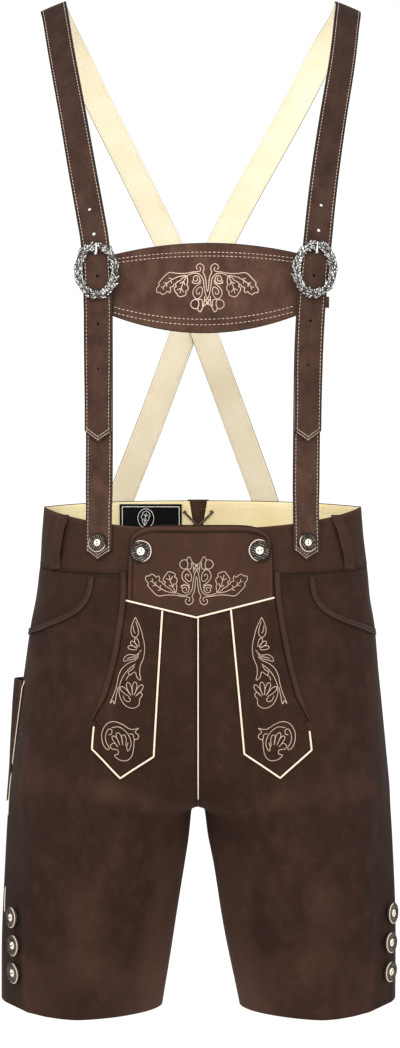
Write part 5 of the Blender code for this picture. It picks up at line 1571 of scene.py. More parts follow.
def smooth_line(spots: Sequence, step: float, closed: bool = False) -> np.ndarray:
    """Points about a step apart on a smooth curve through spots of any dimension.

    Args:
        spots: what it runs through.
        step: length between points.
        closed: whether it comes back to its start.

    Returns:
        Rows of points.
    """
    given = np.asarray(spots, float)
    if closed:
        given = np.concatenate([given[-1:], given, given[:2]])
    else:
        given = np.concatenate([2 * given[:1] - given[1:2], given,
                                2 * given[-1:] - given[-2:-1]])
    made = []
    for k in range(1, len(given) - 2):
        p0, p1, p2, p3 = given[k - 1:k + 3]
        count = max(1, round(float(np.linalg.norm(p2 - p1)) / step))
        t = (np.arange(count) / count)[:, None]
        lead, trail = (p2 - p0) / 2, (p3 - p1) / 2
        made.append((2 * t ** 3 - 3 * t ** 2 + 1) * p1 + (t ** 3 - 2 * t ** 2 + t) * lead
                    + (3 * t ** 2 - 2 * t ** 3) * p2 + (t ** 3 - t ** 2) * trail)
    made.append(given[-2:-1])
    return np.concatenate(made)


def resample(path: np.ndarray, step: float) -> np.ndarray:
    """Points an equal step apart on a path, fitted to its length.

    Args:
        path: rows whose first two or three columns are a place, with any more after them.
        step: wanted distance between points.

    Returns:
        Rows of the same columns.
    """
    gaps = np.linalg.norm(np.diff(path[:, :3], axis=0), axis=-1)
    runs = np.concatenate([[0.0], np.cumsum(gaps)])
    count = max(2, round(runs[-1] / step) + 1)
    marks = np.linspace(0, runs[-1], count)
    return np.stack([np.interp(marks, runs, path[:, k]) for k in range(path.shape[1])], -1)


def capsule() -> tuple[np.ndarray, list[np.ndarray]]:
    """Points and faces of a rounded stitch between -1 and 1 on each axis.

    Returns:
        The points, and the faces by their count of corners.
    """
    rings, sides = 5, 8
    turn = np.pi * (np.arange(rings) + 1) / (rings + 1)
    around = 2 * np.pi * np.arange(sides) / sides
    body = []
    for angle in turn:
        size = math.sin(angle) ** 0.6
        body.append(np.stack([np.full(sides, -math.cos(angle)), size * np.cos(around),
                              size * np.sin(around)], -1))
    points = np.concatenate(body + [np.array([[-1.0, 0, 0], [1.0, 0, 0]])])
    return points, [ring_faces(rings, sides), np.concatenate(tip_faces(rings, sides))]


CAPSULE = capsule()


@dataclass(frozen=True)
class StitchKind:
    """A running stitch: distance between stitches, and a stitch's length, width, height."""

    pitch: float
    length: float
    width: float
    height: float


STRAP_STITCH = StitchKind(3.9 * MM, 2.9 * MM, 0.66 * MM, 0.45 * MM)
TIP_STITCH = StitchKind(2.6 * MM, 2.3 * MM, 0.6 * MM, 0.4 * MM)
CHEST_STITCH = StitchKind(4.6 * MM, 3.0 * MM, 0.8 * MM, 0.5 * MM)
FINE_STITCH = StitchKind(3.2 * MM, 2.5 * MM, 0.7 * MM, 0.35 * MM)
UNEVEN = np.random.default_rng(7)


def stitches(draft: Draft, path: np.ndarray, outs: np.ndarray, kind: StitchKind,
             slot: int = 0) -> None:
    """Add a row of stitches along a path.

    Args:
        draft: where they go.
        path: points on the surface.
        outs: outward directions there.
        kind: size and spacing.
        slot: material.
    """
    both = resample(np.concatenate([path, outs], -1), kind.pitch)
    centres, up = both[:, :3], unit(both[:, 3:])
    along = unit(np.gradient(centres, axis=0))
    count = len(centres)
    if count < 2:
        return
    along = unit(along + UNEVEN.normal(0, 0.035, (count, 3)))
    up = unit(up - along * (up * along).sum(-1, keepdims=True))
    across = np.cross(up, along)
    size = 1 + UNEVEN.normal(0, 0.05, (count, 3))
    scale = size * np.array([kind.length / 2, kind.width / 2, kind.height])
    points, faces = CAPSULE
    made = (centres[:, None] + (points[None, :, 0:1] * scale[:, None, 0:1]) * along[:, None]
            + (points[None, :, 1:2] * scale[:, None, 1:2]) * across[:, None]
            + (points[None, :, 2:3] * scale[:, None, 2:3]) * up[:, None])
    offset = (np.arange(count) * len(points))[:, None, None]
    draft.add(made, [(f[None] + offset).reshape(-1, f.shape[1]) for f in faces], slot)


Surface = Callable[[np.ndarray, np.ndarray, float], np.ndarray]
CORD_SPOTS = 7                          # points across a laid cord


def couched(draft: Draft, spots: np.ndarray, width: float, surface: Surface,
            height: float = 0.7 * MM, slot: int = 0, taper: bool = False) -> None:
    """Add a laid cord with a half-round section along a line on a surface.

    Args:
        draft: where it goes.
        spots: x and z of its middle line, in metres.
        width: its width.
        surface: gives points at x and z, moved out by a lift.
        height: how proud it stands.
        slot: material.
        taper: whether its ends run out thin.
    """
    line = resample(spots, 0.55 * MM)
    base = surface(line[:, 0], line[:, 1], 0.0)
    out = unit(surface(line[:, 0], line[:, 1], 1 * MM) - base)
    along = unit(np.gradient(base, axis=0))
    across = unit(np.cross(out, along))
    count = len(line)
    share = np.arange(count) / max(count - 1, 1)
    ends = np.minimum(share, 1 - share) * (count - 1)
    size = np.minimum((ends + 0.35) / (7.0 if taper else 1.5), 1.0) ** 0.5
    size = size * (1 + 0.09 * np.sin(np.arange(count) * 2.2))
    turn = np.linspace(0, np.pi, CORD_SPOTS)
    side = np.cos(turn) * width / 2
    rise = np.sin(turn) ** 0.8 * height
    rise[[0, -1]] = -0.25 * MM
    made = (base[:, None] + across[:, None] * (side[None, :, None] * size[:, None, None])
            + out[:, None] * (rise[None, :, None] * size[:, None, None]))
    fans = [start + np.array([(0, k, k + 1) for k in range(1, CORD_SPOTS - 1)])
            for start in (0, (count - 1) * CORD_SPOTS)]
    draft.add(made, [ring_faces(count, CORD_SPOTS), *fans], slot)


# --- Cutting holes --------------------------------------------------------------------------

HOLE_SIDES = 20


def pierce(thing: bpy.types.Object, holes: Sequence[tuple[np.ndarray, np.ndarray]],
           radius: float, reach: float) -> None:
    """Cut round holes through a piece.

    Args:
        thing: the piece.
        holes: the middle and direction of each.
        radius: of the holes.
        reach: half the depth of each cut.
    """
    draft = Draft()
    ids = np.arange(HOLE_SIDES)
    turn = 2 * np.pi * ids / HOLE_SIDES
    for middle, direction in holes:
        along = unit(np.asarray(direction, float))
        across = unit(np.cross(along, [0.31, 0.2, 0.93]))
        beside = np.cross(along, across)
        ring = radius * (np.outer(np.cos(turn), across) + np.outer(np.sin(turn), beside))
        both = np.concatenate([middle + ring - along * reach, middle + ring + along * reach])
        after = np.roll(ids, -1)
        sides = np.stack([ids, after, after + HOLE_SIDES, ids + HOLE_SIDES], -1)
        draft.add(both, [sides, ids[None, ::-1], ids[None] + HOLE_SIDES])
    cutter = draft.build("cutter", [CUT_EDGE])
    made = thing.modifiers.new("holes", "BOOLEAN")
    made.operation, made.solver, made.object = "DIFFERENCE", "EXACT", cutter
    bpy.context.view_layer.update()
    graph = bpy.context.evaluated_depsgraph_get()
    mesh = bpy.data.meshes.new_from_object(thing.evaluated_get(graph))
    thing.modifiers.clear()
    thing.data = mesh
    bpy.data.objects.remove(cutter, do_unlink=True)


# --- Shorts ---------------------------------------------------------------------------------

@dataclass
class Shorts:
    """The four leg panels, cut to the form, with rounded seams and a raw hem."""

    front_columns: int = 30
    pocket_columns: int = 16
    back_columns: int = 46
    upper_rows: int = 16
    level_step: float = 5.0 * MM
    first_level: float = -700 * MM      # rows above it follow the top edge
    # Levels in millimetres of the closer rows at the crotch.
    crotch_levels: tuple[float, ...] = (-868, -871, -873, -874.5, -876, -877.5, -879, -881,
                                        -883.5, -886.5)
    inseam_wear: float = 0.2
    middle_wear: float = 0.09
    hem_wear: float = 0.11
    leg_from: float = -840 * MM         # where the wear of the legs and of the hem starts
    hem_from: float = -980 * MM
    wear_fade: float = 90 * MM
    waist_press: float = 0.55           # how dark the seams are pressed, and how wide
    waist_press_width: float = 3 * MM
    seam_press: float = 0.45
    seam_press_width: float = 2.5 * MM
    crease_shading: float = 60             # painted highlight and shade for each metre that a crease stands out
    crease_most: float = 3 * MM

    def levels(self) -> np.ndarray:
        """Heights of the rows below the first level, closer at the crotch.

        Returns:
            The heights in metres, from the top down.
        """
        rows = set(np.arange(self.first_level, HEM, -self.level_step).round(5))
        rows |= {round(z * MM, 5) for z in self.crotch_levels}
        return np.array(sorted(rows, reverse=True) + [HEM])

    @staticmethod
    def hem_level(side: int, z: np.ndarray, share: np.ndarray) -> np.ndarray:
        """Heights that rise a little to the outer side towards the hem.

        Args:
            side: RIGHT or LEFT.
            z: heights in metres.
            share: shares of the ring, from the centre front round to the centre back.

        Returns:
            Heights in metres.
        """
        weight = np.maximum(0.0, (HEM_RISE_START - z) / (HEM_RISE_START - HEM))
        point = FORM.bare_point(side, z, share)
        form = FORM.sizes(side, z)
        outward = np.maximum(0.0, (np.abs(point[..., 0]) - form.centre) / form.half)
        return z + HEM_RISE * weight * outward ** 2

    def leg_wear(self, side: int, spots: Grid) -> np.ndarray:
        """Wear of the legs: rubbed along the inseam and the hem, deeper along the middle.

        Args:
            side: RIGHT or LEFT.
            spots: points of the panel.

        Returns:
            One value a point, pale above 0.
        """
        form = FORM.sizes(side, spots[..., 2])
        across = (np.abs(spots[..., 0]) - form.centre) / form.half
        leg = ease((self.leg_from - spots[..., 2]) / self.wear_fade)
        hem = ease((self.hem_from - spots[..., 2]) / self.wear_fade)
        inside = ease((-across - 0.3) / 0.7)
        middle = np.exp(-((across + 0.05) / 0.5) ** 2)
        return leg * (self.inseam_wear * inside - self.middle_wear * middle
                      ) + self.hem_wear * hem

    def panel(self, side: int, name: str, tops: np.ndarray, ends: Callable) -> None:
        """Build one panel.

        Args:
            side: RIGHT or LEFT.
            name: the CAD node it stands for.
            tops: heights of its top edge, one a column.
            ends: gives the share of each column at a row of heights.
        """
        rows = []
        for v in np.arange(self.upper_rows) / self.upper_rows:
            rows.append(tops + (self.first_level - tops) * v)
        rows += [np.full(len(tops), z) for z in self.levels()]
        z = np.array(rows)
        share = ends(z)
        z = self.hem_level(side, z, share)
        outer = FORM.lifted(side, z, share, 0.0)
        inner = FORM.lifted(side, z, share, -WALL)
        # Creases don't part the two sides at the rise, where they are sewn together. The
        # centre is a front panel's first column and a back panel's last one.
        middle = 0 if share[0, 0] < 0.01 else -1
        form = FORM.sizes(side, z[:, middle])
        joined = form.centre < form.inner
        for grid in (outer, inner):
            grid[joined, middle, 0] = side * SEAM_SHUT
        draft = Draft()
        below = cloth_places(outer)
        wear_and_shade = -self.waist_press * line_at(below[..., 1], 0.0, self.waist_press_width)
        sideways = below[..., 0]
        for reach in (sideways, sideways[:, -1:] - sideways):
            wear_and_shade = wear_and_shade - self.seam_press * line_at(reach, 0.0, self.seam_press_width)
        most = self.crease_most
        # Painted highlight on the creases' ridges and painted shade in their troughs.
        wear_and_shade = wear_and_shade + self.crease_shading * np.clip(FORM.relief(outer), -most, most)
        wear_and_shade = wear_and_shade + self.leg_wear(side, outer)
        shell(draft, outer, inner, (0, 1, 2), np.clip(wear_and_shade, -1, 1))
        thing = keep(draft.build(name + "_leather", [SUEDE, FLESH, FLESH]),
                     [name])

    def build(self) -> None:
        """Build all four panels."""
        for side in (RIGHT, LEFT):
            whole = float(FORM.seam_share(WAIST_SEAM_SIDE))
            top = FORM.pocket_top_share(side)
            near = top * np.arange(self.front_columns + 1) / self.front_columns
            t = np.arange(1, self.pocket_columns + 1) / self.pocket_columns
            far, low = FORM.pocket_curve(side, t)
            shares = np.concatenate([near, far])
            tops = np.concatenate([FORM.waist_seam(side, near) - SEAM_HALF_GAP, low])

            def front_ends(z: np.ndarray) -> np.ndarray:
                """Shares of the front panel's columns.

                Args:
                    z: heights of the columns, row by row.

                Returns:
                    One share a point.
                """
                start = FORM.share_gap(side, z, np.zeros_like(z), SEAM_SHUT)
                seam = FORM.seam_share(z)
                end = seam - FORM.share_gap(side, z, seam, SEAM_SHUT)
                return start + (end - start) * shares / whole

            self.panel(side, f"front_panel_{WORD[side]}", tops, front_ends)
            across = np.arange(self.back_columns + 1) / self.back_columns
            rough = whole * (1 - across) + across

            def back_ends(z: np.ndarray) -> np.ndarray:
                """Shares of the back panel's columns.

                Args:
                    z: heights of the columns, row by row.

                Returns:
                    One share a point.
                """
                seam = FORM.seam_share(z)
                start = seam + FORM.share_gap(side, z, seam, SEAM_SHUT)
                end = 1 - FORM.share_gap(side, z, np.ones_like(z), SEAM_SHUT)
                return start + (end - start) * across

            self.panel(side, f"back_panel_{WORD[side]}",
                       FORM.waist_seam(side, rough) - SEAM_HALF_GAP, back_ends)


def lace_spots() -> list[tuple[np.ndarray, np.ndarray]]:
    """Middles and directions of the four eyelets, the right side's first.

    Returns:
        One pair an eyelet.
    """
    made = []
    for side in (RIGHT, LEFT):
        for height in EYELET_HEIGHTS:
            spot = FORM.back(side * EYELET_X, height)
            out = FORM.back(side * EYELET_X, height, 1 * MM) - spot
            made.append((spot, unit(out)))
    return made


@dataclass
class Waist:
    """Waistband, its lining and belt loops, the tongue behind the lace and the label."""

    emblem: tuple[float, float] = (-60.5 * MM, -559.5 * MM)
    columns: int = 120
    rows: int = 16
    loop_rise: float = 0.5              # share of the loops' slack that stands off the band
    hole_reach: float = 6 * MM

    @staticmethod
    def notch(z: np.ndarray) -> np.ndarray:
        """Half width of the notch at the centre back at heights."""
        opening = (z - NOTCH_FOOT) / (WAIST_TOP_SIDE + WAIST_TOP_BACK_RISE - NOTCH_FOOT)
        return np.maximum(SEAM_HALF_GAP, NOTCH_HALF_WIDTH * opening)

    def grid(self, side: int, insets: tuple[float, float, float]
             ) -> tuple[np.ndarray, np.ndarray]:
        """Heights and shares of a band, kept back from the seam, the top and the notch.

        Args:
            side: RIGHT or LEFT.
            insets: distances from the seam, the top and the notch.

        Returns:
            The heights and the shares.
        """
        seam_inset, top_inset, notch_inset = insets
        t = np.arange(self.columns + 1) / self.columns
        v = (np.arange(self.rows + 1) / self.rows)[:, None]
        low = FORM.waist_seam(side, t) + SEAM_HALF_GAP + seam_inset
        z = low + (FORM.waist_top(side, t) - top_inset - low) * v
        start = FORM.share_gap(side, z, np.zeros_like(z))
        end = 1 - FORM.share_gap(side, z, np.ones_like(z), self.notch(z) + notch_inset)
        return z, start + (end - start) * t

    def band(self, side: int) -> None:
        """Leather band and cream lining of one side.

        Args:
            side: RIGHT or LEFT.
        """
        word = WORD[side]
        eyelets = lace_spots()[:2] if side == RIGHT else lace_spots()[2:]
        z, share = self.grid(side, (0.0, 0.0, 0.0))
        outer = FORM.lifted(side, z, share, 0.0)
        draft = Draft()
        v = np.broadcast_to(np.linspace(0, 1, self.rows + 1)[:, None], z.shape)
        # A little paler all over, darker along the seam, and paler along the folded top edge as a
        # painted highlight.
        wear_and_shade = 0.06 - 0.5 * line_at(v, 0.0, 0.04) + 0.15 * line_at(v, 1.0, 0.04)
        shell(draft, outer, FORM.lifted(side, z, share, -BAND_WALL), (0, 0, 1), wear_and_shade)
        thing = draft.build(f"waistband_{word}_leather", [SUEDE, FLESH])
        pierce(thing, eyelets, EYELET_RADIUS, self.hole_reach)
        keep(thing, [f"waistband_{word}"])
        z, share = self.grid(side, LINING_INSETS)
        lift = -BAND_WALL - LINING_GAP
        outer = FORM.lifted(side, z, share, lift)
        draft = Draft()
        inner = FORM.lifted(side, z, share, lift - LINING_WALL)
        shell(draft, outer, inner)
        # The lining's own seam, a shallow tuck under its top edge.
        path = inner[-3]
        outs = FORM.normal(side, z[-3], share[-3])
        stitches(draft, path, -outs, FINE_STITCH, 1)
        thing = draft.build(f"waist_lining_{word}_cloth", [TWILL, LINING_THREAD])
        pierce(thing, eyelets, EYELET_RADIUS, self.hole_reach)
        keep(thing, [f"waist_lining_{word}"])

    def loop(self, side: int, loop: Loop) -> None:
        """One belt loop, bowed out between its sewn ends.

        Args:
            side: RIGHT or LEFT.
            loop: its place and slope.
        """
        front = loop.place == "front"
        foot, top = loop.foot * MM, loop.top * MM
        share = FORM.share_at(side, WAIST_SEAM_SIDE, foot, front=front)
        low = float(FORM.waist_seam(side, share)) + BELT_LOOP_MARGIN
        high = float(FORM.waist_top(side, share)) - BELT_LOOP_MARGIN
        v = np.arange(37) / 36
        z = low + (high - low) * v
        place = FORM.share_at(side, z, foot + (top - foot) * v, front=front)
        half = FORM.share_gap(side, z, place, BELT_LOOP_WIDTH / 2)
        stand = self.loop_rise * ease((np.minimum(v, 1 - v) - 0.05) / 0.25)
        across = np.linspace(-1, 1, 9)
        lift = (LAYER_GAP + stand * BELT_LOOP_STAND)[:, None] + 0 * across
        grid = place[:, None] + half[:, None] * across
        heights = np.broadcast_to(z[:, None], grid.shape)
        edge = 0.35 * MM * np.clip(np.abs(across) * 4 - 2.6, 0, 1)
        outer = FORM.lifted(side, heights, grid, lift + BELT_LOOP_WALL - edge)
        draft = Draft()
        shell(draft, outer, FORM.lifted(side, heights, grid, lift), (0, 0, 1),
              np.full(grid.shape, 0.08))
        name = f"belt_loop_{loop.place}_{WORD[side]}"
        outs = FORM.normal(side, heights, grid)
        for row in (2, 34):
            stitches(draft, outer[row, 1:-1], outs[row, 1:-1], FINE_STITCH, 2)
        thing = draft.build(name + "_leather", [SUEDE, FLESH, DARK_THREAD])
        keep(thing, [name])

    def tongue(self) -> None:
        """Leather tongue that shows in the notch."""
        v = (np.arange(25) / 24)[:, None]
        z = TONGUE_TOP + (TONGUE_FOOT - TONGUE_TOP) * v
        half = TONGUE_HALF_WIDTH + (TONGUE_FOOT_HALF_WIDTH - TONGUE_HALF_WIDTH) * v
        x = np.linspace(-1, 1, 13) * half
        outer = FORM.back(x, z, LAYER_GAP + WALL)
        draft = Draft()
        shell(draft, outer, FORM.back(x, z, LAYER_GAP), (0, 0, 1))
        thing = keep(draft.build("back_tongue_leather", [SUEDE, FLESH]),
                     ["back_tongue"])

    def label(self) -> None:
        """Woven label inside the back, with a plain frame and a small sprig."""
        near = -BAND_WALL - LINING_GAP - LINING_WALL - LABEL_GAP
        v = (np.arange(19) / 18)[:, None]
        u = np.arange(29) / 28
        x, z = np.broadcast_arrays(-LABEL_START - (LABEL_END - LABEL_START) * u,
                                   LABEL_TOP - LABEL_HEIGHT * v)
        outer = FORM.back(x, z, near)
        inner = FORM.back(x, z, near - LABEL_WALL)
        draft = Draft()
        shell(draft, outer, inner)

        def face(px: np.ndarray, pz: np.ndarray, lift: float) -> np.ndarray:
            """Points on the label's face towards the front."""
            return FORM.back(px, pz, near - LABEL_WALL - lift)

        left, right = -LABEL_END + 3.0 * MM, -LABEL_START - 3.0 * MM
        top, foot = LABEL_TOP - 3.0 * MM, LABEL_TOP - LABEL_HEIGHT + 3.0 * MM
        corners = [(left, top), (right, top), (right, foot), (left, foot), (left, top)]
        for a, b in zip(corners, corners[1:]):
            couched(draft, np.array([a, b]), 0.9 * MM, face, 0.25 * MM, 1)
        turn = np.linspace(0, 2 * np.pi, 61)[:, None]
        oval_ring = np.concatenate([9.2 * np.cos(turn), 10.8 * np.sin(turn)], -1)
        leaf = oak_leaf((-1.5, -8.5), (1.5, 8.5), 10.0, 3, 0.8)
        lay(draft, [oval_ring] + leaf, self.emblem, (1.0, 1.0), 0.7 * MM, face, 1)
        thing = keep(draft.build("label_cloth", [LABEL, LABEL_THREAD]),
                     ["label"])

    def build(self) -> None:
        """Build every piece of the waist."""
        for side in (RIGHT, LEFT):
            self.band(side)
            for loop in BELT_LOOPS[side]:
                self.loop(side, loop)
        self.tongue()
        self.label()


@dataclass
class BackLace:
    """Round lace through the four eyelets, its two ends knotted outside."""

    sides: int = 12

    def route(self) -> np.ndarray:
        """Points that the lace follows, from knot to knot.

        Returns:
            The points.
        """
        inside = -BAND_WALL - LINING_GAP - LINING_WALL - LACE_RADIUS - LACE_GAP
        outside = LAYER_GAP + WALL + LACE_RADIUS + LACE_GAP
        x, high, low = EYELET_X, EYELET_HEIGHTS[0], EYELET_HEIGHTS[1]
        deeper = inside - 2 * LACE_RADIUS - LACE_GAP
        near, far = high + (low - high) * 0.12, low + (high - low) * 0.12
        middle = (high + low) / 2
        down = [(x, high, LACE_RADIUS), (x, high, 0.0), (x, high, inside * 0.8),
                (x * 0.75, near, inside), (0.0, middle, inside), (-x * 0.75, far, inside),
                (-x, low, inside * 0.8), (-x, low, 0.0), (-x, low, outside * 0.8),
                (-x * 0.7, low, outside), (0.0, low, outside)]
        up = [(x * 0.7, low, outside), (x, low, outside * 0.8), (x, low, 0.0),
              (x, low, inside * 0.8), (x * 0.75, far, inside * 1.05), (0.0, middle, deeper),
              (-x * 0.75, near, inside * 1.05), (-x, high, inside * 0.8), (-x, high, 0.0),
              (-x, high, LACE_RADIUS)]
        return np.array([FORM.back(*spot) for spot in down + up])

    def build(self) -> None:
        """Build the lace as a cord with a knot at each end."""
        path = smooth_line(self.route(), 0.9 * MM)
        draft, knots = Draft(), Draft()
        tube(draft, path, LACE_RADIUS, self.sides)
        for tip in (path[0], path[-1]):
            turn = np.linspace(0, 2.6 * np.pi, 34)
            ring = KNOT_RADIUS - 1.1 * MM
            knot = np.stack([tip[0] + ring * np.cos(turn),
                             tip[1] + 1.6 * MM + 0.9 * MM * np.sin(turn * 1.3),
                             tip[2] + ring * np.sin(turn)], -1)
            tube(knots, knot, LACE_RADIUS * 0.9, self.sides)
        tied = keep(knots.build("back_lace_knots", [LACE]))
        thing = keep(draft.build("back_lace_cord", [LACE]), ["back_lace"])


@dataclass
class Pockets:
    """Side pockets and the narrow knife pocket on the right side seam."""

    # Heights in millimetres between which the side seam's piping comes out of the seam.
    piping_shows: tuple[tuple[float, float], ...] = ((-740, -832), (-837, -886), (-960, -990))

    def facing(self, side: int) -> None:
        """Leather that shows inside a pocket's mouth.

        Args:
            side: RIGHT or LEFT.
        """
        t = np.arange(33) / 32
        shares, lows = FORM.pocket_curve(side, t)
        shares[0] += (shares[1] - shares[0]) * 0.5
        v = (np.arange(17) / 16)[:, None]
        tops = FORM.waist_seam(side, shares) - FACING_CLEARANCE
        z = tops + (lows + FACING_CLEARANCE - tops) * v
        whole = float(FORM.seam_share(WAIST_SEAM_SIDE))
        place = shares * FORM.seam_share(z) / whole
        # It runs on across the seam's gap, right up to the back panel, and closes it.
        place[:, -1] += 0.85 * FORM.share_gap(side, z[:, -1], place[:, -1])
        outer = FORM.lifted(side, z, place, -FACING_DROP)
        draft = Draft()
        shell(draft, outer, FORM.lifted(side, z, place, -FACING_DROP - WALL), (0, 0, 1))
        name = f"pocket_facing_{WORD[side]}"
        thing = keep(draft.build(name + "_leather", [SUEDE, FLESH]), [name])

    def edge(self, side: int) -> None:
        """Folded edge along a pocket's mouth, raised between two lines of stitching.

        Args:
            side: RIGHT or LEFT.
        """
        whole = float(FORM.seam_share(WAIST_SEAM_SIDE))
        share, z = FORM.pocket_curve(side, 0.02 + 0.95 * np.arange(61) / 60)
        share = share * FORM.seam_share(z) / whole
        per_metre = FORM.share_gap(side, z, share, 1.0)
        run = unit(np.stack([np.gradient(share) / per_metre, np.gradient(z)], -1))
        offsets = np.linspace(-0.5, 0.5, 11) * POCKET_EDGE_WIDTH
        place = share[:, None] - run[:, 1:2] * per_metre[:, None] * offsets
        height = z[:, None] + run[:, 0:1] * offsets
        swell = 0.35 * MM * np.cos(np.pi * np.linspace(-1, 1, 11)) ** 2
        groove = -0.45 * MM * np.exp(-((offsets / POCKET_EDGE_WIDTH - 0.2) / 0.05) ** 2)
        outer = FORM.lifted(side, height, place,
                            LAYER_GAP + POCKET_EDGE_WALL + swell * 0.4 + groove)
        draft = Draft()
        share_out = np.abs(np.linspace(-1, 1, 11))
        # Paler over the raised fold as a painted highlight, and darker at its borders as painted
        # shade.
        wear_and_shade = np.broadcast_to(0.12 - 0.4 * share_out ** 6, place.shape)
        shell(draft, outer, FORM.lifted(side, height, place, LAYER_GAP - 0.4 * MM), (0, 0, 1),
              wear_and_shade)
        outs = FORM.normal(side, height, place)
        for column in (2, 8):
            stitches(draft, outer[:, column], outs[:, column], FINE_STITCH, 2)
        name = f"pocket_edge_{WORD[side]}"
        thing = draft.build(name + "_leather", [SUEDE, FLESH, DARK_THREAD])
        keep(thing, [name])

    def knife(self) -> None:
        """Narrow pocket, gaping at its mouth and flat at its foot."""
        side = RIGHT
        z = np.linspace(KNIFE_POCKET[0].z, KNIFE_POCKET[-1].z, 37) * MM
        front, back, stand = (np.array([smooth_value(KNIFE_POCKET, column, float(h))
                                        for h in z]) * MM
                              for column in ("front", "back", "stand"))
        start = FORM.share_at(side, z, front, 1)
        end = FORM.share_at(side, z, back, 1)
        u = np.arange(25) / 24
        bow = np.sin(np.pi * u) ** 0.6
        lift = POCKET_SEWN_GAP + stand[:, None] * bow
        place = start[:, None] + (end - start)[:, None] * u
        heights = np.broadcast_to(z[:, None], place.shape)
        outer = FORM.lifted(side, heights, place, lift + WALL)
        draft = Draft()
        shell(draft, outer, FORM.lifted(side, heights, place, lift), (0, 1, 1))
        outs = FORM.normal(side, heights, place)
        for column in (1, 23):
            stitches(draft, outer[:, column], outs[:, column], FINE_STITCH, 2)
        thing = draft.build("knife_pocket_leather", [SUEDE, FLESH, DARK_THREAD])
        keep(thing, ["knife_pocket"])

    def seam_cord(self, side: int, top: float, foot: float) -> None:
        """Thin light piping let into a side seam, from a height to another.

        Args:
            side: RIGHT or LEFT.
            top: where it starts.
            foot: where it ends.
        """
        z = np.arange(top, foot, -3 * MM)
        share = FORM.seam_share(z)
        if side == RIGHT:
            front = np.array([smooth_value(KNIFE_POCKET, "front", float(h)) for h in z]) * MM
            edge = FORM.share_at(side, z, front - 3 * MM, 1)
            share = np.where(z > KNIFE_POCKET[-1].z * MM, np.minimum(edge, share), share)
        level = z / MM
        hidden = np.ones(len(z))
        for high, low in self.piping_shows:
            hidden *= 1 - ease((high - level) / 4) * ease((level - low) / 4)
        path = FORM.lifted(side, z, share, 0.1 * MM - 1.3 * MM * hidden)
        draft = Draft()
        tube(draft, path, 0.55 * MM, 10)
        keep(draft.build(f"side_seam_piping_{WORD[side]}", [PIPING]))

    def build(self) -> None:
        """Build every pocket."""
        self.seam_cord(RIGHT, -738 * MM, -1000 * MM)
        for side in (RIGHT, LEFT):
            self.facing(side)
            self.edge(side)
        self.knife()


# --- Embroidery -----------------------------------------------------------------------------

Stroke = np.ndarray                     # points x, z of one laid cord, in millimetres


def oak_leaf(base: tuple[float, float], tip: tuple[float, float], width: float,
             lobes: int, bend: float) -> list[Stroke]:
    """Outline, midrib and veins of an oak leaf.

    Args:
        base: foot of the leaf.
        tip: its end.
        width: across its widest lobes.
        lobes: lobes a side.
        bend: how far the midrib bows to one side.

    Returns:
        The strokes.
    """
    start, axis = np.array(base), np.array(tip) - np.array(base)
    side = unit(np.array([-axis[1], axis[0]]))

    def spot(s: np.ndarray, across: np.ndarray) -> np.ndarray:
        """Point at a share along the leaf and a distance across it."""
        bow = bend * np.sin(np.pi * s)
        return start + s[..., None] * axis + (across + bow)[..., None] * side

    s = np.linspace(0.0, 1.0, 70)
    hull = np.sin(np.pi * s ** 1.55) ** 0.62
    edge = width / 2 * hull * (0.66 + 0.34 * np.abs(np.sin(np.pi * lobes * s ** 1.1)) ** 0.6)
    shifted = width / 2 * hull * (0.66 + 0.34 * np.abs(
        np.sin(np.pi * (lobes * s ** 1.1 + 0.22))) ** 0.6)
    outline = np.concatenate([spot(s, edge), spot(s[::-1], -shifted[::-1])])
    strokes = [outline, spot(np.linspace(0.0, 0.86, 24), np.zeros(24))]
    for k in range(lobes - 1):
        at = (k + 1.0) / (lobes + 0.2)
        reach = width * 0.27 * math.sin(math.pi * at ** 1.1)
        for sign in (-1, 1):
            t = np.linspace(0, 1, 8)
            strokes.append(spot(at + 0.13 * t, sign * reach * t))
    return strokes


def spiral(centre: tuple[float, float], outer: float, inner: float, start: float,
           turns: float) -> Stroke:
    """Spiral that winds in from an outer radius, angles in turns.

    Args:
        centre: its middle.
        outer: first radius.
        inner: last radius.
        start: first angle.
        turns: how far it winds.

    Returns:
        The stroke.
    """
    t = np.linspace(0.0, 1.0, 60)
    angle = 2 * np.pi * (start + turns * t)
    radius = outer + (inner - outer) * t ** 0.8
    return np.stack([centre[0] + radius * np.cos(angle), centre[1] + radius * np.sin(angle)],
                    -1)


def curve(*spots: tuple[float, float]) -> Stroke:
    """Smooth line through spots in millimetres."""
    return smooth_line(spots, 0.4)


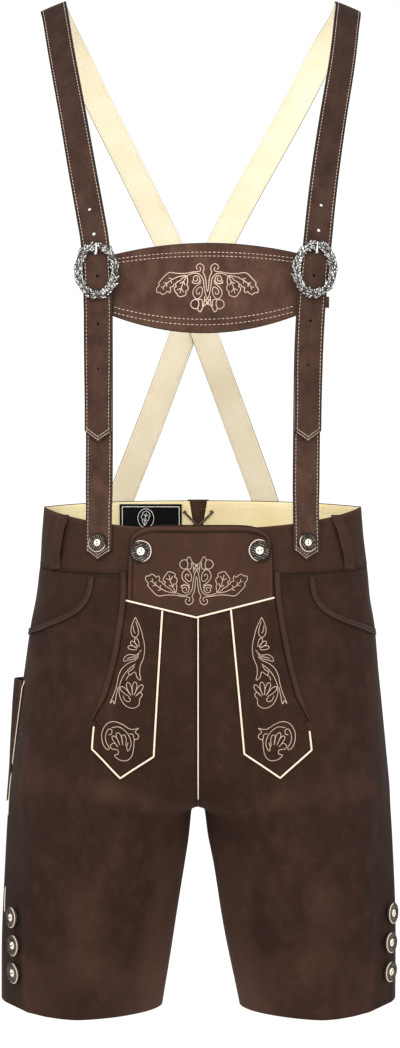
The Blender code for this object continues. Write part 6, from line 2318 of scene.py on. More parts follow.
def half_sprig() -> list[Stroke]:
    """Left half of the chest motif: hook, scrolls, two oak leaves and an acorn.

    Returns:
        The strokes.
    """
    strokes = [
        curve((-10.0, 19.2), (-11.5, 20.4), (-11.2, 23.2), (-8.3, 25.2), (-4.8, 23.6),
              (-3.4, 19.8), (-4.6, 16.4), (-2.7, 12.2), (-1.5, 6.0), (-1.2, 0.5),
              (-0.1, -4.4)),
        curve((-8.6, 21.6), (-7.2, 20.6), (-7.4, 18.0), (-10.0, 16.9), (-15.0, 16.5),
              (-23.0, 15.1), (-32.0, 15.1), (-40.0, 15.9), (-45.5, 11.8), (-51.2, 5.0),
              (-50.4, 3.2), (-53.4, -1.2), (-52.6, -4.8), (-49.8, -4.9), (-47.2, -6.8),
              (-43.8, -5.4), (-42.2, -3.6), (-39.8, -5.0), (-38.6, -2.2), (-39.2, 0.6),
              (-36.2, 1.4), (-34.8, 4.4)),
        curve((-22.8, 13.0), (-31.0, 11.4), (-37.5, 8.2), (-42.5, 4.7), (-46.2, 1.0)),
        curve((-36.6, 8.8), (-40.6, 10.4)),
        curve((-38.4, 7.7), (-37.6, 4.6)),
        curve((-42.3, 4.9), (-46.2, 5.4)),
        curve((-42.7, 4.3), (-42.6, 0.8)),
        curve((-46.2, 1.0), (-48.8, 0.8)),
        curve((-46.2, 1.0), (-46.4, -2.2)),
        curve((-20.5, 13.2), (-14.4, 15.2), (-8.4, 14.0), (-4.6, 8.8), (-3.4, 0.0),
              (-1.6, -8.4), (1.6, -13.6)),
        spiral((-12.0, 9.2), 5.6, 1.2, 0.6, 1.6),
        curve((-16.2, 8.0), (-14.4, 4.9), (-9.6, 5.0), (-6.4, 7.6)),
        curve((-6.6, 5.2), (-11.0, 2.2), (-14.8, -2.4), (-14.9, -7.6), (-11.2, -11.6),
              (-6.9, -9.0), (-5.3, -4.0), (-6.1, 0.4), (-9.0, 0.2), (-11.8, -3.4),
              (-10.8, -6.6), (-8.5, -6.3), (-8.5, -4.2)),
        curve((-2.9, -8.6), (-3.3, -13.2), (-3.7, -16.8), (-5.0, -20.8), (-7.6, -25.2),
              (-10.2, -22.2), (-9.0, -17.4), (-9.5, -12.8), (-6.6, -12.2), (-5.2, -15.0),
              (-5.4, -19.6)),
        curve((-9.6, -13.2), (-13.4, -12.3), (-17.0, -15.0), (-17.2, -19.2), (-13.6, -21.9),
              (-9.8, -21.4)),
        curve((-4.2, -19.2), (-1.6, -17.4), (1.4, -14.2), (2.8, -11.4)),
    ]
    strokes += oak_leaf((-21.4, 13.0), (-29.4, -9.4), 15.0, 3, -1.4)
    return strokes


def sprig() -> list[Stroke]:
    """The whole chest motif, mirrored on its own middle.

    Returns:
        The strokes.
    """
    half = half_sprig()
    knot = curve((-1.3, -16.0), (0.0, -14.8), (1.3, -16.0), (0.0, -17.2), (-1.3, -16.0))
    return half + [stroke * np.array([-1, 1]) for stroke in half] + [knot]


def petals(foot: tuple[float, float], reach: float, width: float,
           headings: Sequence[float]) -> list[Stroke]:
    """Fan of narrow round-ended petals from one foot, headings in degrees from upright.

    Args:
        foot: where they meet.
        reach: their length.
        width: of each.
        headings: one a petal.

    Returns:
        One stroke a petal.
    """
    made = []
    for heading in headings:
        turn = math.radians(heading)
        along = np.array([math.sin(turn), math.cos(turn)])
        side = np.array([along[1], -along[0]])
        spots = [np.array(foot) + reach * s * along + width * w * side
                 for s, w in ((0.2, -0.18), (0.6, -0.42), (0.88, -0.36), (1.0, 0.0),
                              (0.88, 0.36), (0.6, 0.42), (0.2, 0.18))]
        made.append(smooth_line(spots, 0.4))
    return made


def acanthus() -> list[Stroke]:
    """Tall leaf scroll of a tab: tip, side petals, two stems and a shell of petals.

    Returns:
        The strokes.
    """
    strokes = [
        curve((8.0, 48.2), (12.8, 38.6), (16.0, 28.0), (18.0, 16.6), (17.0, 6.0),
              (13.4, -3.4), (12.9, -11.0), (14.0, -18.0), (10.2, -15.2), (8.2, -9.6),
              (4.6, -11.6), (0.4, -14.6), (-1.4, -18.6)),
        curve((8.0, 47.4), (5.6, 42.4), (3.6, 35.2), (4.8, 29.0), (8.4, 26.8), (11.4, 30.6),
              (10.6, 37.4), (8.6, 43.4)),
        curve((5.9, 39.6), (6.4, 34.4), (8.3, 30.8)),
        curve((14.8, 13.8), (9.2, 8.4), (2.2, 8.8), (-2.6, 6.2), (-3.8, 1.8), (2.2, 3.2),
              (8.0, 4.8), (12.4, 9.6)),
        curve((-0.6, 4.6), (4.4, 6.0), (9.0, 6.6)),
        curve((12.0, 6.6), (7.4, 2.4), (1.6, 0.0), (-5.0, -5.4), (-9.0, -13.0),
              (-11.0, -23.0), (-14.0, -33.0), (-18.0, -42.6), (-15.2, -40.0),
              (-13.4, -43.4), (-11.6, -34.6), (-9.6, -25.4)),
        curve((8.4, -0.8), (0.8, -7.2), (-5.0, -15.4), (-8.4, -25.6), (-7.8, -35.6),
              (-2.6, -44.4), (5.4, -47.6), (12.0, -44.2), (12.8, -38.2), (15.6, -33.6),
              (13.4, -30.8), (10.0, -33.2)),
        curve((7.6, -2.8), (4.8, -7.0), (1.0, -9.6), (2.2, -12.8)),
        curve((-4.6, -34.2), (-2.6, -39.2), (1.6, -40.8), (3.2, -38.0), (0.8, -36.6)),
    ]
    strokes += petals((12.6, 14.2), 12.4, 4.6, (-78, -48, -20))
    strokes += petals((5.6, -37.4), 17.6, 5.4, (-47, -18, 9, 36))
    return strokes


# Shell scroll on the lower part of a tab, as lines through spots in millimetres from its
# middle, for the right tab.
SHELL_SCROLL = (
    ((9.0, 8.0), (13.0, 7.5), (14.5, 2.5), (18.0, 3.0), (19.0, 6.5), (15.5, 10.0),
     (19.0, 14.0), (15.0, 13.0), (10.0, 13.0), (1.5, 18.0), (-6.5, 20.5), (-14.0, 18.0),
     (-19.0, 10.0), (-19.5, 1.5), (-17.0, -6.0), (-13.0, -9.0), (-12.0, -6.5),
     (-15.0, -1.0), (-15.5, 6.0), (-12.5, 12.5), (-9.0, 11.5), (-9.5, 7.5), (-12.5, 6.5)),
    ((-9.5, 14.0), (-1.5, 15.0), (5.5, 10.5), (10.0, 3.5), (11.0, -3.5), (8.0, -10.0),
     (6.5, -6.5), (8.0, -1.0)),
    ((14.5, 2.5), (13.5, -8.0), (11.5, -15.5), (6.5, -20.0), (-1.0, -19.5), (-6.5, -15.0),
     (-2.5, -13.0), (-3.0, -9.0), (-9.0, -8.0), (-10.5, -4.5), (-6.5, -2.0), (-2.5, -6.0)),
    ((-5.0, -3.0), (-8.5, 2.5), (-8.0, 5.5), (-4.0, 3.5), (-0.5, -4.0)),
    ((-1.5, -2.0), (-4.5, 6.0), (-3.0, 9.0), (0.5, 6.0), (2.5, -4.0)),
    ((2.5, -2.0), (1.5, 5.5), (4.5, 6.5), (6.0, 1.5), (5.5, -5.0)),
)


def lay(draft: Draft, strokes: Sequence[Stroke], middle: tuple[float, float],
        scale: tuple[float, float], width: float, surface: Surface, slot: int) -> None:
    """Lay strokes on a surface.

    Args:
        draft: where they go.
        strokes: lines in millimetres.
        middle: x and z of the motif's middle, in metres.
        scale: factors on x and z; a negative one mirrors.
        width: of the cord.
        surface: the surface under it.
        slot: material.
    """
    for stroke in strokes:
        spots = np.asarray(stroke) * MM * np.array(scale) + np.array(middle)
        couched(draft, spots, width, surface, height=width * 0.5, slot=slot)


# --- The drop flap --------------------------------------------------------------------------

PIPING_JOIN = 0.9 * MM                  # from the bib's piping to the ends of the others


def outline_x(spots: Sequence[Spot], z: float) -> float:
    """Distance from the centre front of a chain of spots at height z.

    Args:
        spots: the chain.
        z: height in metres.

    Returns:
        The distance in metres.
    """
    level = z / MM
    chain = sorted(spots, key=lambda spot: -spot.z)
    if level >= chain[0].z:
        return chain[0].x * MM
    for a, b in zip(chain, chain[1:]):
        if a.z >= level >= b.z and a.z > b.z:
            return (a.x + (b.x - a.x) * (level - a.z) / (b.z - a.z)) * MM
    return chain[-1].x * MM


def flap_foot(x: float) -> float:
    """Height of the flap's lower edge, a shallow V, at x.

    Args:
        x: place across in metres.

    Returns:
        The height in metres.
    """
    side = LEFT if x > FLAP_POINT[0] else RIGHT
    end = side * FLAP_SIDE_FOOT[side]
    share = (x - FLAP_POINT[0]) / (end - FLAP_POINT[0])
    return FLAP_POINT[1] + (FLAP_FOOT[side] - FLAP_POINT[1]) * share


def flap_face(wall: float) -> Surface:
    """Face of the flap's leather, a wall thick.

    Args:
        wall: the leather's thickness.

    Returns:
        The surface.
    """
    def face(x: np.ndarray, z: np.ndarray, out: float) -> np.ndarray:
        """Points on that face, moved out."""
        return FORM.front(x, z, LAYER_GAP + wall + out)

    return face


@dataclass
class DropFlap:
    """Bib, its two pointed tabs, the raised strips beside them, piping and embroidery."""

    hem: float = 7.5 * MM               # pressed line inside the bib's top edge
    side_hem: float = 5.0 * MM
    strip_taper: float = 30 * MM        # length over which a strip narrows at its foot
    cord_width: float = 0.82 * MM
    motif: tuple[float, float] = (-1.7 * MM, -626.5 * MM)
    acanthus: tuple[float, float] = (74.4 * MM, -712.8 * MM)
    shell_scroll: tuple[float, float] = (81.8 * MM, -795.2 * MM)

    def bib(self) -> None:
        """Bib with rounded corners and a pressed hem, and its motif."""
        v = np.linspace(0, 1, 49)
        u = np.linspace(0, 1, 81)
        across = 2 * u - 1
        sides = [LEFT if a > 0 else RIGHT for a in across]
        tops = np.array([FLAP_SIDE_TOP[s] for s in sides])
        feet = np.array([FLAP_SIDE_FOOT[s] for s in sides])
        edge = tops + (feet - tops) * v[:, None]
        edge -= FLAP_CORNER_INSET * (1 - v[:, None]) ** FLAP_CORNER_POWER
        x = across * edge
        top = FLAP_TOP - FLAP_CORNER_DROP * np.abs(across) ** FLAP_CORNER_POWER
        foot = np.vectorize(flap_foot)(x) + PIPING_CLEARANCE
        z = top + (foot - top) * v[:, None]
        inward = np.minimum((top - z) / self.hem, (edge - np.abs(x)) / self.side_hem)
        pressed_and_shade = -0.7 * MM * line_at(inward, 1.0, 0.12)
        swell = 0.5 * MM * np.clip(inward * 2, 0, 1) * np.clip(1.3 - inward, 0, 1)
        lift = LAYER_GAP + FLAP_WALL + pressed_and_shade + swell
        # A little paler all over, paler on the swell inside the edge as a painted highlight, and
        # darker in the pressed groove and along the outline as painted shade.
        wear_and_shade = (0.14 + 0.08 * line_at(inward, 0.4, 0.35) - 0.75 * line_at(inward, 1.0, 0.11)
                - 0.8 * line_at(inward, 0.0, 0.09))
        outer = FORM.front(x, z, lift)
        draft = Draft()
        shell(draft, outer, FORM.front(x, z, LAYER_GAP - 0.3 * MM), (0, 0, 1), wear_and_shade)
        lay(draft, sprig(), self.motif, (1.0, -1.0), self.cord_width, flap_face(FLAP_WALL), 2)
        thing = draft.build("drop_flap_leather", [SUEDE, FLESH, EMBROIDERY])
        keep(thing, ["drop_flap"])

    def tab(self, side: int) -> None:
        """One tab with its two motifs.

        Args:
            side: RIGHT or LEFT.
        """
        inner, point, far = TAB_INNER[side][-1], TAB_POINT[side], TAB_OUTER[side][0]
        middle = (point.x - inner.x) / (far.x - inner.x)
        columns = np.concatenate([np.linspace(0, middle, 15),
                                  np.linspace(middle, 1, 15)[1:]])
        feet = np.where(columns < middle,
                        inner.z + (point.z - inner.z) * columns / middle,
                        point.z + (far.z - point.z) * (columns - middle) / (1 - middle))
        feet = feet * MM + PIPING_CLEARANCE * 1.3
        tops = [flap_foot(side * (0.5 + 0.4 * t) * FLAP_SIDE_FOOT[side]) - PIPING_CLEARANCE
                for t in columns]
        xs, zs = [], []
        for v in np.linspace(0, 1, 91):
            row_x, row_z = [], []
            for t, top, foot in zip(columns, tops, feet):
                z = top + (foot - top) * v
                near = outline_x(TAB_INNER[side], z) + PIPING_CLEARANCE
                end = outline_x(TAB_OUTER[side], z) - PIPING_CLEARANCE
                if z > STRIP_FOOT:
                    end = outline_x(STRIP_OUTER[side], z) - STRIP_CLEARANCE
                    end -= float(self.strip_width(z))
                x = side * (near + (end - near) * t)
                row_x.append(x)
                row_z.append(flap_foot(x) - PIPING_CLEARANCE if v == 0 else z)
            xs.append(row_x)
            zs.append(row_z)
        x, z = np.array(xs), np.array(zs)
        outer = FORM.front(x, z, LAYER_GAP + TAB_WALL)
        draft = Draft()
        shell(draft, outer, FORM.front(x, z, LAYER_GAP - 0.3 * MM), (0, 0, 1))
        shell_scroll = [curve(*spots) for spots in SHELL_SCROLL]
        for strokes, (mx, mz) in ((acanthus(), self.acanthus),
                                  (shell_scroll, self.shell_scroll)):
            place = (0.4 * MM + side * mx, mz)
            lay(draft, strokes, place, (-side, 1.0), self.cord_width * 0.95,
                flap_face(TAB_WALL), 2)
        name = f"flap_tab_{WORD[side]}"
        thing = draft.build(name + "_leather", [SUEDE, FLESH, EMBROIDERY])
        keep(thing, [name])

    def strip_width(self, z: float | np.ndarray) -> np.ndarray:
        """Width of a strip at height z: it narrows towards its foot."""
        return STRIP_WIDTH * (0.35 + 0.65 * ease((z - STRIP_FOOT) / self.strip_taper))

    def strip(self, side: int) -> None:
        """Raised strip beside a tab, rounded across like a fold.

        Args:
            side: RIGHT or LEFT.
        """
        chain = np.array([(s.x, s.z) for s in STRIP_OUTER[side]]) * MM
        line = smooth_line(chain, 3.0 * MM)
        k = np.linspace(0, 1, 11)
        x = side * (line[:, :1] - self.strip_width(line[:, 1:]) * k)
        z = np.broadcast_to(line[:, 1:], x.shape)
        bow = (1 - np.abs(2 * k - 1) ** 2.4) * (BAND_STRIP_WALL - 0.9 * MM)
        outer = FORM.front(x, z, LAYER_GAP + 0.9 * MM + bow)
        draft = Draft()
        # Paler along its crown as a painted highlight, and darker along both edges as painted
        # shade.
        wear_and_shade = np.broadcast_to(0.12 - 0.7 * np.abs(2 * k - 1) ** 6, x.shape)
        shell(draft, outer, FORM.front(x, z, LAYER_GAP - 0.4 * MM), (0, 0, 1), wear_and_shade)
        name = f"flap_strip_{WORD[side]}"
        thing = draft.build(name + "_leather", [SUEDE, FLESH])
        keep(thing, [name])

    def piping(self, name: str, corners: Sequence[tuple[float, float]], radius: float,
               lift: float) -> None:
        """One round piping laid along corners on the front.

        Args:
            name: the CAD node it stands for.
            corners: x and z of each.
            radius: of its section.
            lift: how far out, in metres.
        """
        spots = resample_corners(corners, 2.5 * MM)
        draft = Draft()
        path = FORM.front(spots[:, 0], spots[:, 1], lift)
        tube(draft, path, radius, 12)
        keep(draft.build(name + "_leather", [PIPING]), [name])

    def build(self) -> None:
        """Build the flap and what is round it."""
        self.bib()
        ends = {side: (side * FLAP_SIDE_FOOT[side], FLAP_FOOT[side])
                for side in (RIGHT, LEFT)}
        lift = LAYER_GAP + PIPING_RADIUS + 0.1 * MM
        self.piping("flap_piping", [ends[RIGHT], FLAP_POINT, ends[LEFT]], PIPING_RADIUS, lift)
        for side in (RIGHT, LEFT):
            self.tab(side)
            self.strip(side)
            top, _, low = TAB_INNER[side]
            chain = [(side * top.x * MM, top.z * MM - PIPING_JOIN),
                     (side * low.x * MM, low.z * MM)]
            chain += [(side * spot.x * MM, spot.z * MM)
                      for spot in (TAB_POINT[side],) + TAB_OUTER[side][:2]]
            self.piping(f"tab_piping_{WORD[side]}", chain, PIPING_RADIUS, lift)
        seam = [(0.0, FLAP_POINT[1] - PIPING_JOIN), (0.0, SEAM_PIPING_FOOT)]
        self.piping("seam_piping", seam, SEAM_PIPING_RADIUS,
                    SEAM_PIPING_RADIUS + SEAM_PIPING_GAP - 0.4 * MM)


def resample_corners(corners: Sequence[tuple[float, float]], step: float) -> np.ndarray:
    """Points along straight runs, keeping every corner.

    Args:
        corners: x and z of each.
        step: longest gap.

    Returns:
        Rows of x and z.
    """
    made = []
    for a, b in zip(corners, corners[1:]):
        count = max(1, round(math.dist(a, b) / step))
        made += [(a[0] + (b[0] - a[0]) * k / count, a[1] + (b[1] - a[1]) * k / count)
                 for k in range(count)]
    made.append(tuple(corners[-1]))
    return np.array(made)


# --- Braces ---------------------------------------------------------------------------------

@dataclass
class Frames:
    """A strap's run: points on the wearer, directions across it and out, and lengths run."""

    point: np.ndarray
    across: np.ndarray
    out: np.ndarray

    def runs(self) -> np.ndarray:
        """Length run up to each frame."""
        gaps = np.linalg.norm(np.diff(self.point, axis=0), axis=-1)
        return np.concatenate([[0.0], np.cumsum(gaps)])

    def at(self, k: int) -> tuple[np.ndarray, np.ndarray, np.ndarray]:
        """Point, across and out of one frame."""
        return self.point[k], self.across[k], self.out[k]

    def hole(self, height: float, lifts: np.ndarray) -> tuple[np.ndarray, np.ndarray]:
        """Middle and direction of a hole in front of the wearer.

        Args:
            height: its height in metres.
            lifts: how far the strap stands off at each frame.

        Returns:
            The hole's middle and the direction out of the strap.
        """
        near = int(np.argmin(np.abs(self.point[:, 2] - height) + (self.point[:, 1] > 0)))
        ahead = unit(self.point[near + 1] - self.point[near - 1])
        base = self.point[near] + ahead * (height - self.point[near, 2]) / ahead[2]
        return base + self.out[near] * lifts[near], self.out[near]


def lay_frames(side: int, rows: Sequence[Row], step: float) -> Frames:
    """Frames along a table of rows.

    Args:
        side: RIGHT or LEFT.
        rows: the strap's rows.
        step: length between frames.

    Returns:
        The frames, before they are cleared of the waist.
    """
    line = smooth_line([(r.x * MM, r.y * MM, r.z * MM, math.radians(r.tilt)) for r in rows],
                       step)
    point, tilt = line[:, :3], line[:, 3:]
    ahead = unit(np.gradient(point, axis=0))
    level = np.array([side, 0.0, 0.0])
    across = unit(level - ahead * (ahead @ level)[:, None])
    out = np.cross(across, ahead) * side
    return Frames(point, across * np.cos(tilt) - out * np.sin(tilt),
                  out * np.cos(tilt) + across * np.sin(tilt))


def clear_of_waist(frames: Frames, gap: float) -> Frames:
    """Lay the frames that reach the waistband flat on it, a gap away.

    Args:
        frames: the strap's run.
        gap: between the strap and the band.

    Returns:
        The frames, moved and turned.
    """
    point, across, out = frames.point.copy(), frames.across.copy(), frames.out.copy()
    for k in range(len(point)):
        x, y, z = point[k]
        weight = min(max((WAIST_TOP_SIDE + 14 * MM - z) / (14 * MM), 0.0), 1.0)
        if weight <= 0:
            continue
        side = LEFT if x > 0 else RIGHT
        level = max(z, WAIST_SEAM_SIDE)
        place = FORM.share_at(side, level, abs(x), front=bool(y < 0))
        along = np.cross(across[k], out[k])
        normal = FORM.normal(side, level, place)
        out[k] = unit(out[k] * (1 - weight) + normal * weight)
        turned = unit(np.cross(out[k], along))
        across[k] = turned if turned @ across[k] > 0 else -turned
        limit = abs(float(FORM.bare_point(side, level, place)[1])) + gap
        point[k, 1] = math.copysign(max(abs(y), limit), y)
    return Frames(point, across, out)


def bump(distance: np.ndarray, reach: float) -> np.ndarray:
    """1 at no distance, falling smoothly to 0 at reach."""
    return 0.5 + 0.5 * np.cos(np.pi * np.minimum(np.abs(distance) / reach, 1.0))


@dataclass
class Brace:
    """Both straps of one side, with lining, adjusting holes and running stitches."""

    side: int
    step: float = 4.0 * MM
    columns: int = 13
    stitch_inset: float = 3.0 * MM
    stitch_end: float = 8.5 * MM
    crown: float = 0.35 * MM            # how much fuller a strap is along its middle
    hole_reach: float = 12 * MM
    # How far up from the tip the two pointed rows of stitches start.
    chevron_starts: tuple[float, float] = (2.4 * MM, 5.6 * MM)
    # How much darker the hide is painted, by height in metres: painted shade, darkest at the top
    # over the shoulder and least towards the lower ends.
    shade_by_height: tuple[tuple[float, float], ...] = (
        (-0.6, 0.1), (-0.52, 0.13), (-0.436, 0.19), (-0.352, 0.28), (-0.226, 0.42),
        (-0.06, 0.5), (0.0, 0.6))

    def upper_frames(self) -> Frames:
        """Frames of the upper strap."""
        rows = UPPER_STRAP[self.side]
        return clear_of_waist(lay_frames(self.side, rows, self.step), STRAP_WAIST_GAP)

    def upper_lifts(self, frames: Frames) -> np.ndarray:
        """How far the upper strap stands off the wearer along its run.

        Args:
            frames: the strap's run.

        Returns:
            One lift a frame.
        """
        runs, y, z = frames.runs(), frames.point[:, 1], frames.point[:, 2]
        bar = runs[np.argmin(np.abs(z - BAR_HEIGHT[self.side]) + (y > 0))]
        cross = runs[np.argmin(np.abs(z - CROSSING_HEIGHT) + (y < 0))]
        tail = TAIL_LIFT * np.clip((bar + 20 * MM - runs) / (40 * MM), 0, 1)
        lifts = np.maximum(BAR_LIFT * bump(runs - bar, BAR_REACH), tail)
        if self.side == LEFT:
            lifts = np.maximum(lifts, CROSSING_LIFT * bump(runs - cross, CROSSING_REACH))
        return lifts

    @staticmethod
    def widths(runs: np.ndarray, both_ends: bool) -> np.ndarray:
        """Half widths that taper to a point at the ends."""
        left = np.minimum(runs, runs[-1] - runs) if both_ends else runs
        return np.maximum(STRAP_HALF_WIDTH * np.minimum(left / STRAP_POINT, 1.0), 0.3 * MM)

    def wear_and_shade(self, frames: Frames) -> np.ndarray:
        """Wear and painted shade of a strap: darker at the edges and along the stitches, and
        painted darker towards the top, over the shoulder, as shade.

        Args:
            frames: the strap's run.

        Returns:
            One value a point, pale above 0.
        """
        u = np.abs(np.linspace(-1, 1, self.columns))
        height = frames.point[:, 2]
        dark = np.interp(height, *np.array(self.shade_by_height).T)
        return -dark[:, None] * (1 - 0.15 * u ** 2) - 0.4 * u ** 8 - 0.15 * line_at(u, 0.8, 0.07)

    def face(self, frames: Frames, widths: np.ndarray, lifts: np.ndarray,
             crown: float = 0.0) -> Grid:
        """Grid of points across and along a strap.

        Args:
            frames: the strap's run.
            widths: half widths.
            lifts: one a frame.
            crown: how much fuller it is along its middle.

        Returns:
            The grid.
        """
        u = np.linspace(-1, 1, self.columns)
        lift = lifts[:, None] + crown * (1 - u ** 2)
        return (frames.point[:, None] + frames.across[:, None] * (widths[:, None]
                                                                  * u)[..., None]
                + frames.out[:, None] * lift[..., None])

    def seams(self, draft: Draft, frames: Frames, widths: np.ndarray, lifts: np.ndarray,
              chosen: np.ndarray, slot: int, out_sign: int = 1) -> None:
        """Running stitches along both edges.

        Args:
            draft: where they go.
            frames: the strap's run.
            widths: half widths.
            lifts: height of the face that they lie on.
            chosen: which frames have stitches.
            slot: material.
            out_sign: -1 for the inner face.
        """
        for sign in (-1, 1):
            inset = np.maximum(widths - self.stitch_inset, 0.15 * MM)
            u = inset / np.maximum(widths, 0.1 * MM)
            lift = lifts + (self.crown * (1 - u ** 2) if out_sign > 0 else 0.0)
            path = (frames.point + frames.across * (sign * inset)[:, None]
                    + frames.out * lift[:, None])
            stitches(draft, path[chosen], frames.out[chosen] * out_sign, STRAP_STITCH, slot)

    def upper(self) -> None:
        """Leather and lining of the upper strap."""
        word = WORD[self.side]
        frames = self.upper_frames()
        runs, lifts = frames.runs(), self.upper_lifts(frames)
        widths = self.widths(runs, True)
        base = lifts + STRAP_LINING_WALL + LINING_GAP
        outer = self.face(frames, widths, base + STRAP_WALL, self.crown)
        inner = self.face(frames, widths, base)
        draft = Draft()
        shell(draft, outer, inner, (0, 1, 0), self.wear_and_shade(frames))
        top = base + STRAP_WALL
        inside = (runs > self.stitch_end) & (runs < runs[-1] - self.stitch_end)
        self.seams(draft, frames, widths, top + 0.2 * MM, inside, 2)
        self.chevrons(draft, frames, widths, top + 0.2 * MM, 2)
        thing = draft.build(f"upper_strap_{word}_leather", [NUBUCK, CUT_EDGE, SEWING])
        holes = [frames.hole(height * MM, lifts) for height in STRAP_HOLES[self.side]]
        pierce(thing, holes, STRAP_HOLE_RADIUS, self.hole_reach)
        keep(thing, [f"upper_strap_{word}"])
        lining_widths = np.maximum(widths - 0.4 * MM, 0.2 * MM)
        outer = self.face(frames, lining_widths, lifts + STRAP_LINING_WALL)
        draft = Draft()
        shell(draft, outer, self.face(frames, lining_widths, lifts))
        self.seams(draft, frames, widths, lifts - 0.05 * MM, inside, 1, -1)
        thing = draft.build(f"upper_strap_lining_{word}_cloth", [STRAP_TWILL, LINING_THREAD])
        pierce(thing, holes, STRAP_HOLE_RADIUS, self.hole_reach)
        keep(thing, [f"upper_strap_lining_{word}"])

    def chevrons(self, draft: Draft, frames: Frames, widths: np.ndarray, lifts: np.ndarray,
                 slot: int) -> None:
        """The pointed rows of stitches that follow the tip of the strap.

        Args:
            draft: where they go.
            frames: the strap's run from its tip.
            widths: half widths.
            lifts: height of the face that they lie on.
            slot: material.
        """
        runs = frames.runs()
        table = np.concatenate([frames.point, frames.across, frames.out, lifts[:, None],
                                widths[:, None]], -1)
        half = STRAP_HALF_WIDTH - self.stitch_inset
        for start in self.chevron_starts:
            spots = []
            for u in np.linspace(-1, 1, 25):
                run = start + abs(u) * STRAP_POINT * half / STRAP_HALF_WIDTH
                row = np.array([np.interp(run, runs, column) for column in table.T])
                point, across, out = row[:3], row[3:6], row[6:9]
                lift = row[9] + self.crown * (1 - u ** 2)
                spots.append(np.concatenate([point + across * u * half + out * lift, out]))
            spots = np.array(spots)
            for arm in (spots[:13], spots[12:]):
                stitches(draft, arm[:, :3], arm[:, 3:], TIP_STITCH, slot)

    def lower(self) -> None:
        """Lower strap, its end folded back over the buckle's bar."""
        word = WORD[self.side]
        rows = LOWER_STRAP[self.side]
        frames = clear_of_waist(lay_frames(self.side, rows, self.step), STRAP_WAIST_GAP)
        runs = frames.runs()
        widths = self.widths(runs, False)
        point, across, out = frames.at(-1)
        up = np.cross(across, out)
        up = up if up[2] > 0 else -up
        middle = point + out * BAR_CENTRE_LIFT
        turns = np.radians(np.arange(12, 181, 12.0))
        outs = out * np.cos(turns)[:, None] - up * np.sin(turns)[:, None]
        fold = middle - outs * BAR_CENTRE_LIFT
        tuck = fold[-1] - up * FOLD_TUCK * np.linspace(0.34, 1, 3)[:, None]
        extra = len(turns) + 3
        frames = Frames(np.concatenate([frames.point, fold, tuck]),
                        np.concatenate([frames.across, np.tile(across, (extra, 1))]),
                        np.concatenate([frames.out, outs, np.tile(outs[-1], (3, 1))]))
        widths = np.concatenate([widths, np.full(extra, STRAP_HALF_WIDTH)])
        flat = np.zeros(len(widths))
        outer = self.face(frames, widths, flat + LOWER_STRAP_WALL, self.crown)
        draft = Draft()
        shell(draft, outer, self.face(frames, widths, flat), (0, 1, 2), self.wear_and_shade(frames))
        chosen = np.zeros(len(widths), bool)
        chosen[:len(runs)] = runs > self.stitch_end
        self.seams(draft, frames, widths, flat + LOWER_STRAP_WALL + 0.1 * MM, chosen, 3)
        tip = Frames(frames.point[:len(runs)], frames.across[:len(runs)],
                     frames.out[:len(runs)])
        self.chevrons(draft, tip, widths[:len(runs)],
                      flat[:len(runs)] + LOWER_STRAP_WALL + 0.1 * MM, 3)
        thing = draft.build(f"lower_strap_{word}_leather",
                            [NUBUCK, CUT_EDGE, FLESH, SEWING])
        keep(thing, [f"lower_strap_{word}"])

    def build(self) -> None:
        """Build both straps."""
        self.lower()
        self.upper()


def chest(x: np.ndarray, z: np.ndarray, lift: float | np.ndarray = 0.0) -> np.ndarray:
    """Points of the crossbar's outer face at x and height z, moved out by lift.

    Args:
        x: places across in metres.
        z: heights in metres.
        lift: how far out, in metres.

    Returns:
        The points.
    """
    def surface(px: np.ndarray, pz: np.ndarray) -> np.ndarray:
        """Points of the bare face."""
        low = np.minimum(pz - CHEST_FULLEST, 0.0)
        return np.stack([px, CHEST_FRONT + CHEST_CURVE * (px ** 2 + low ** 2), pz], -1)

    x, z = together(x, z)
    step = 1 * MM
    across = surface(x + step, z) - surface(x - step, z)
    upright = surface(x, z + step) - surface(x, z - step)
    reach = np.broadcast_to(np.asarray(lift, float), x.shape)[..., None]
    return surface(x, z) + unit(np.cross(across, upright)) * reach


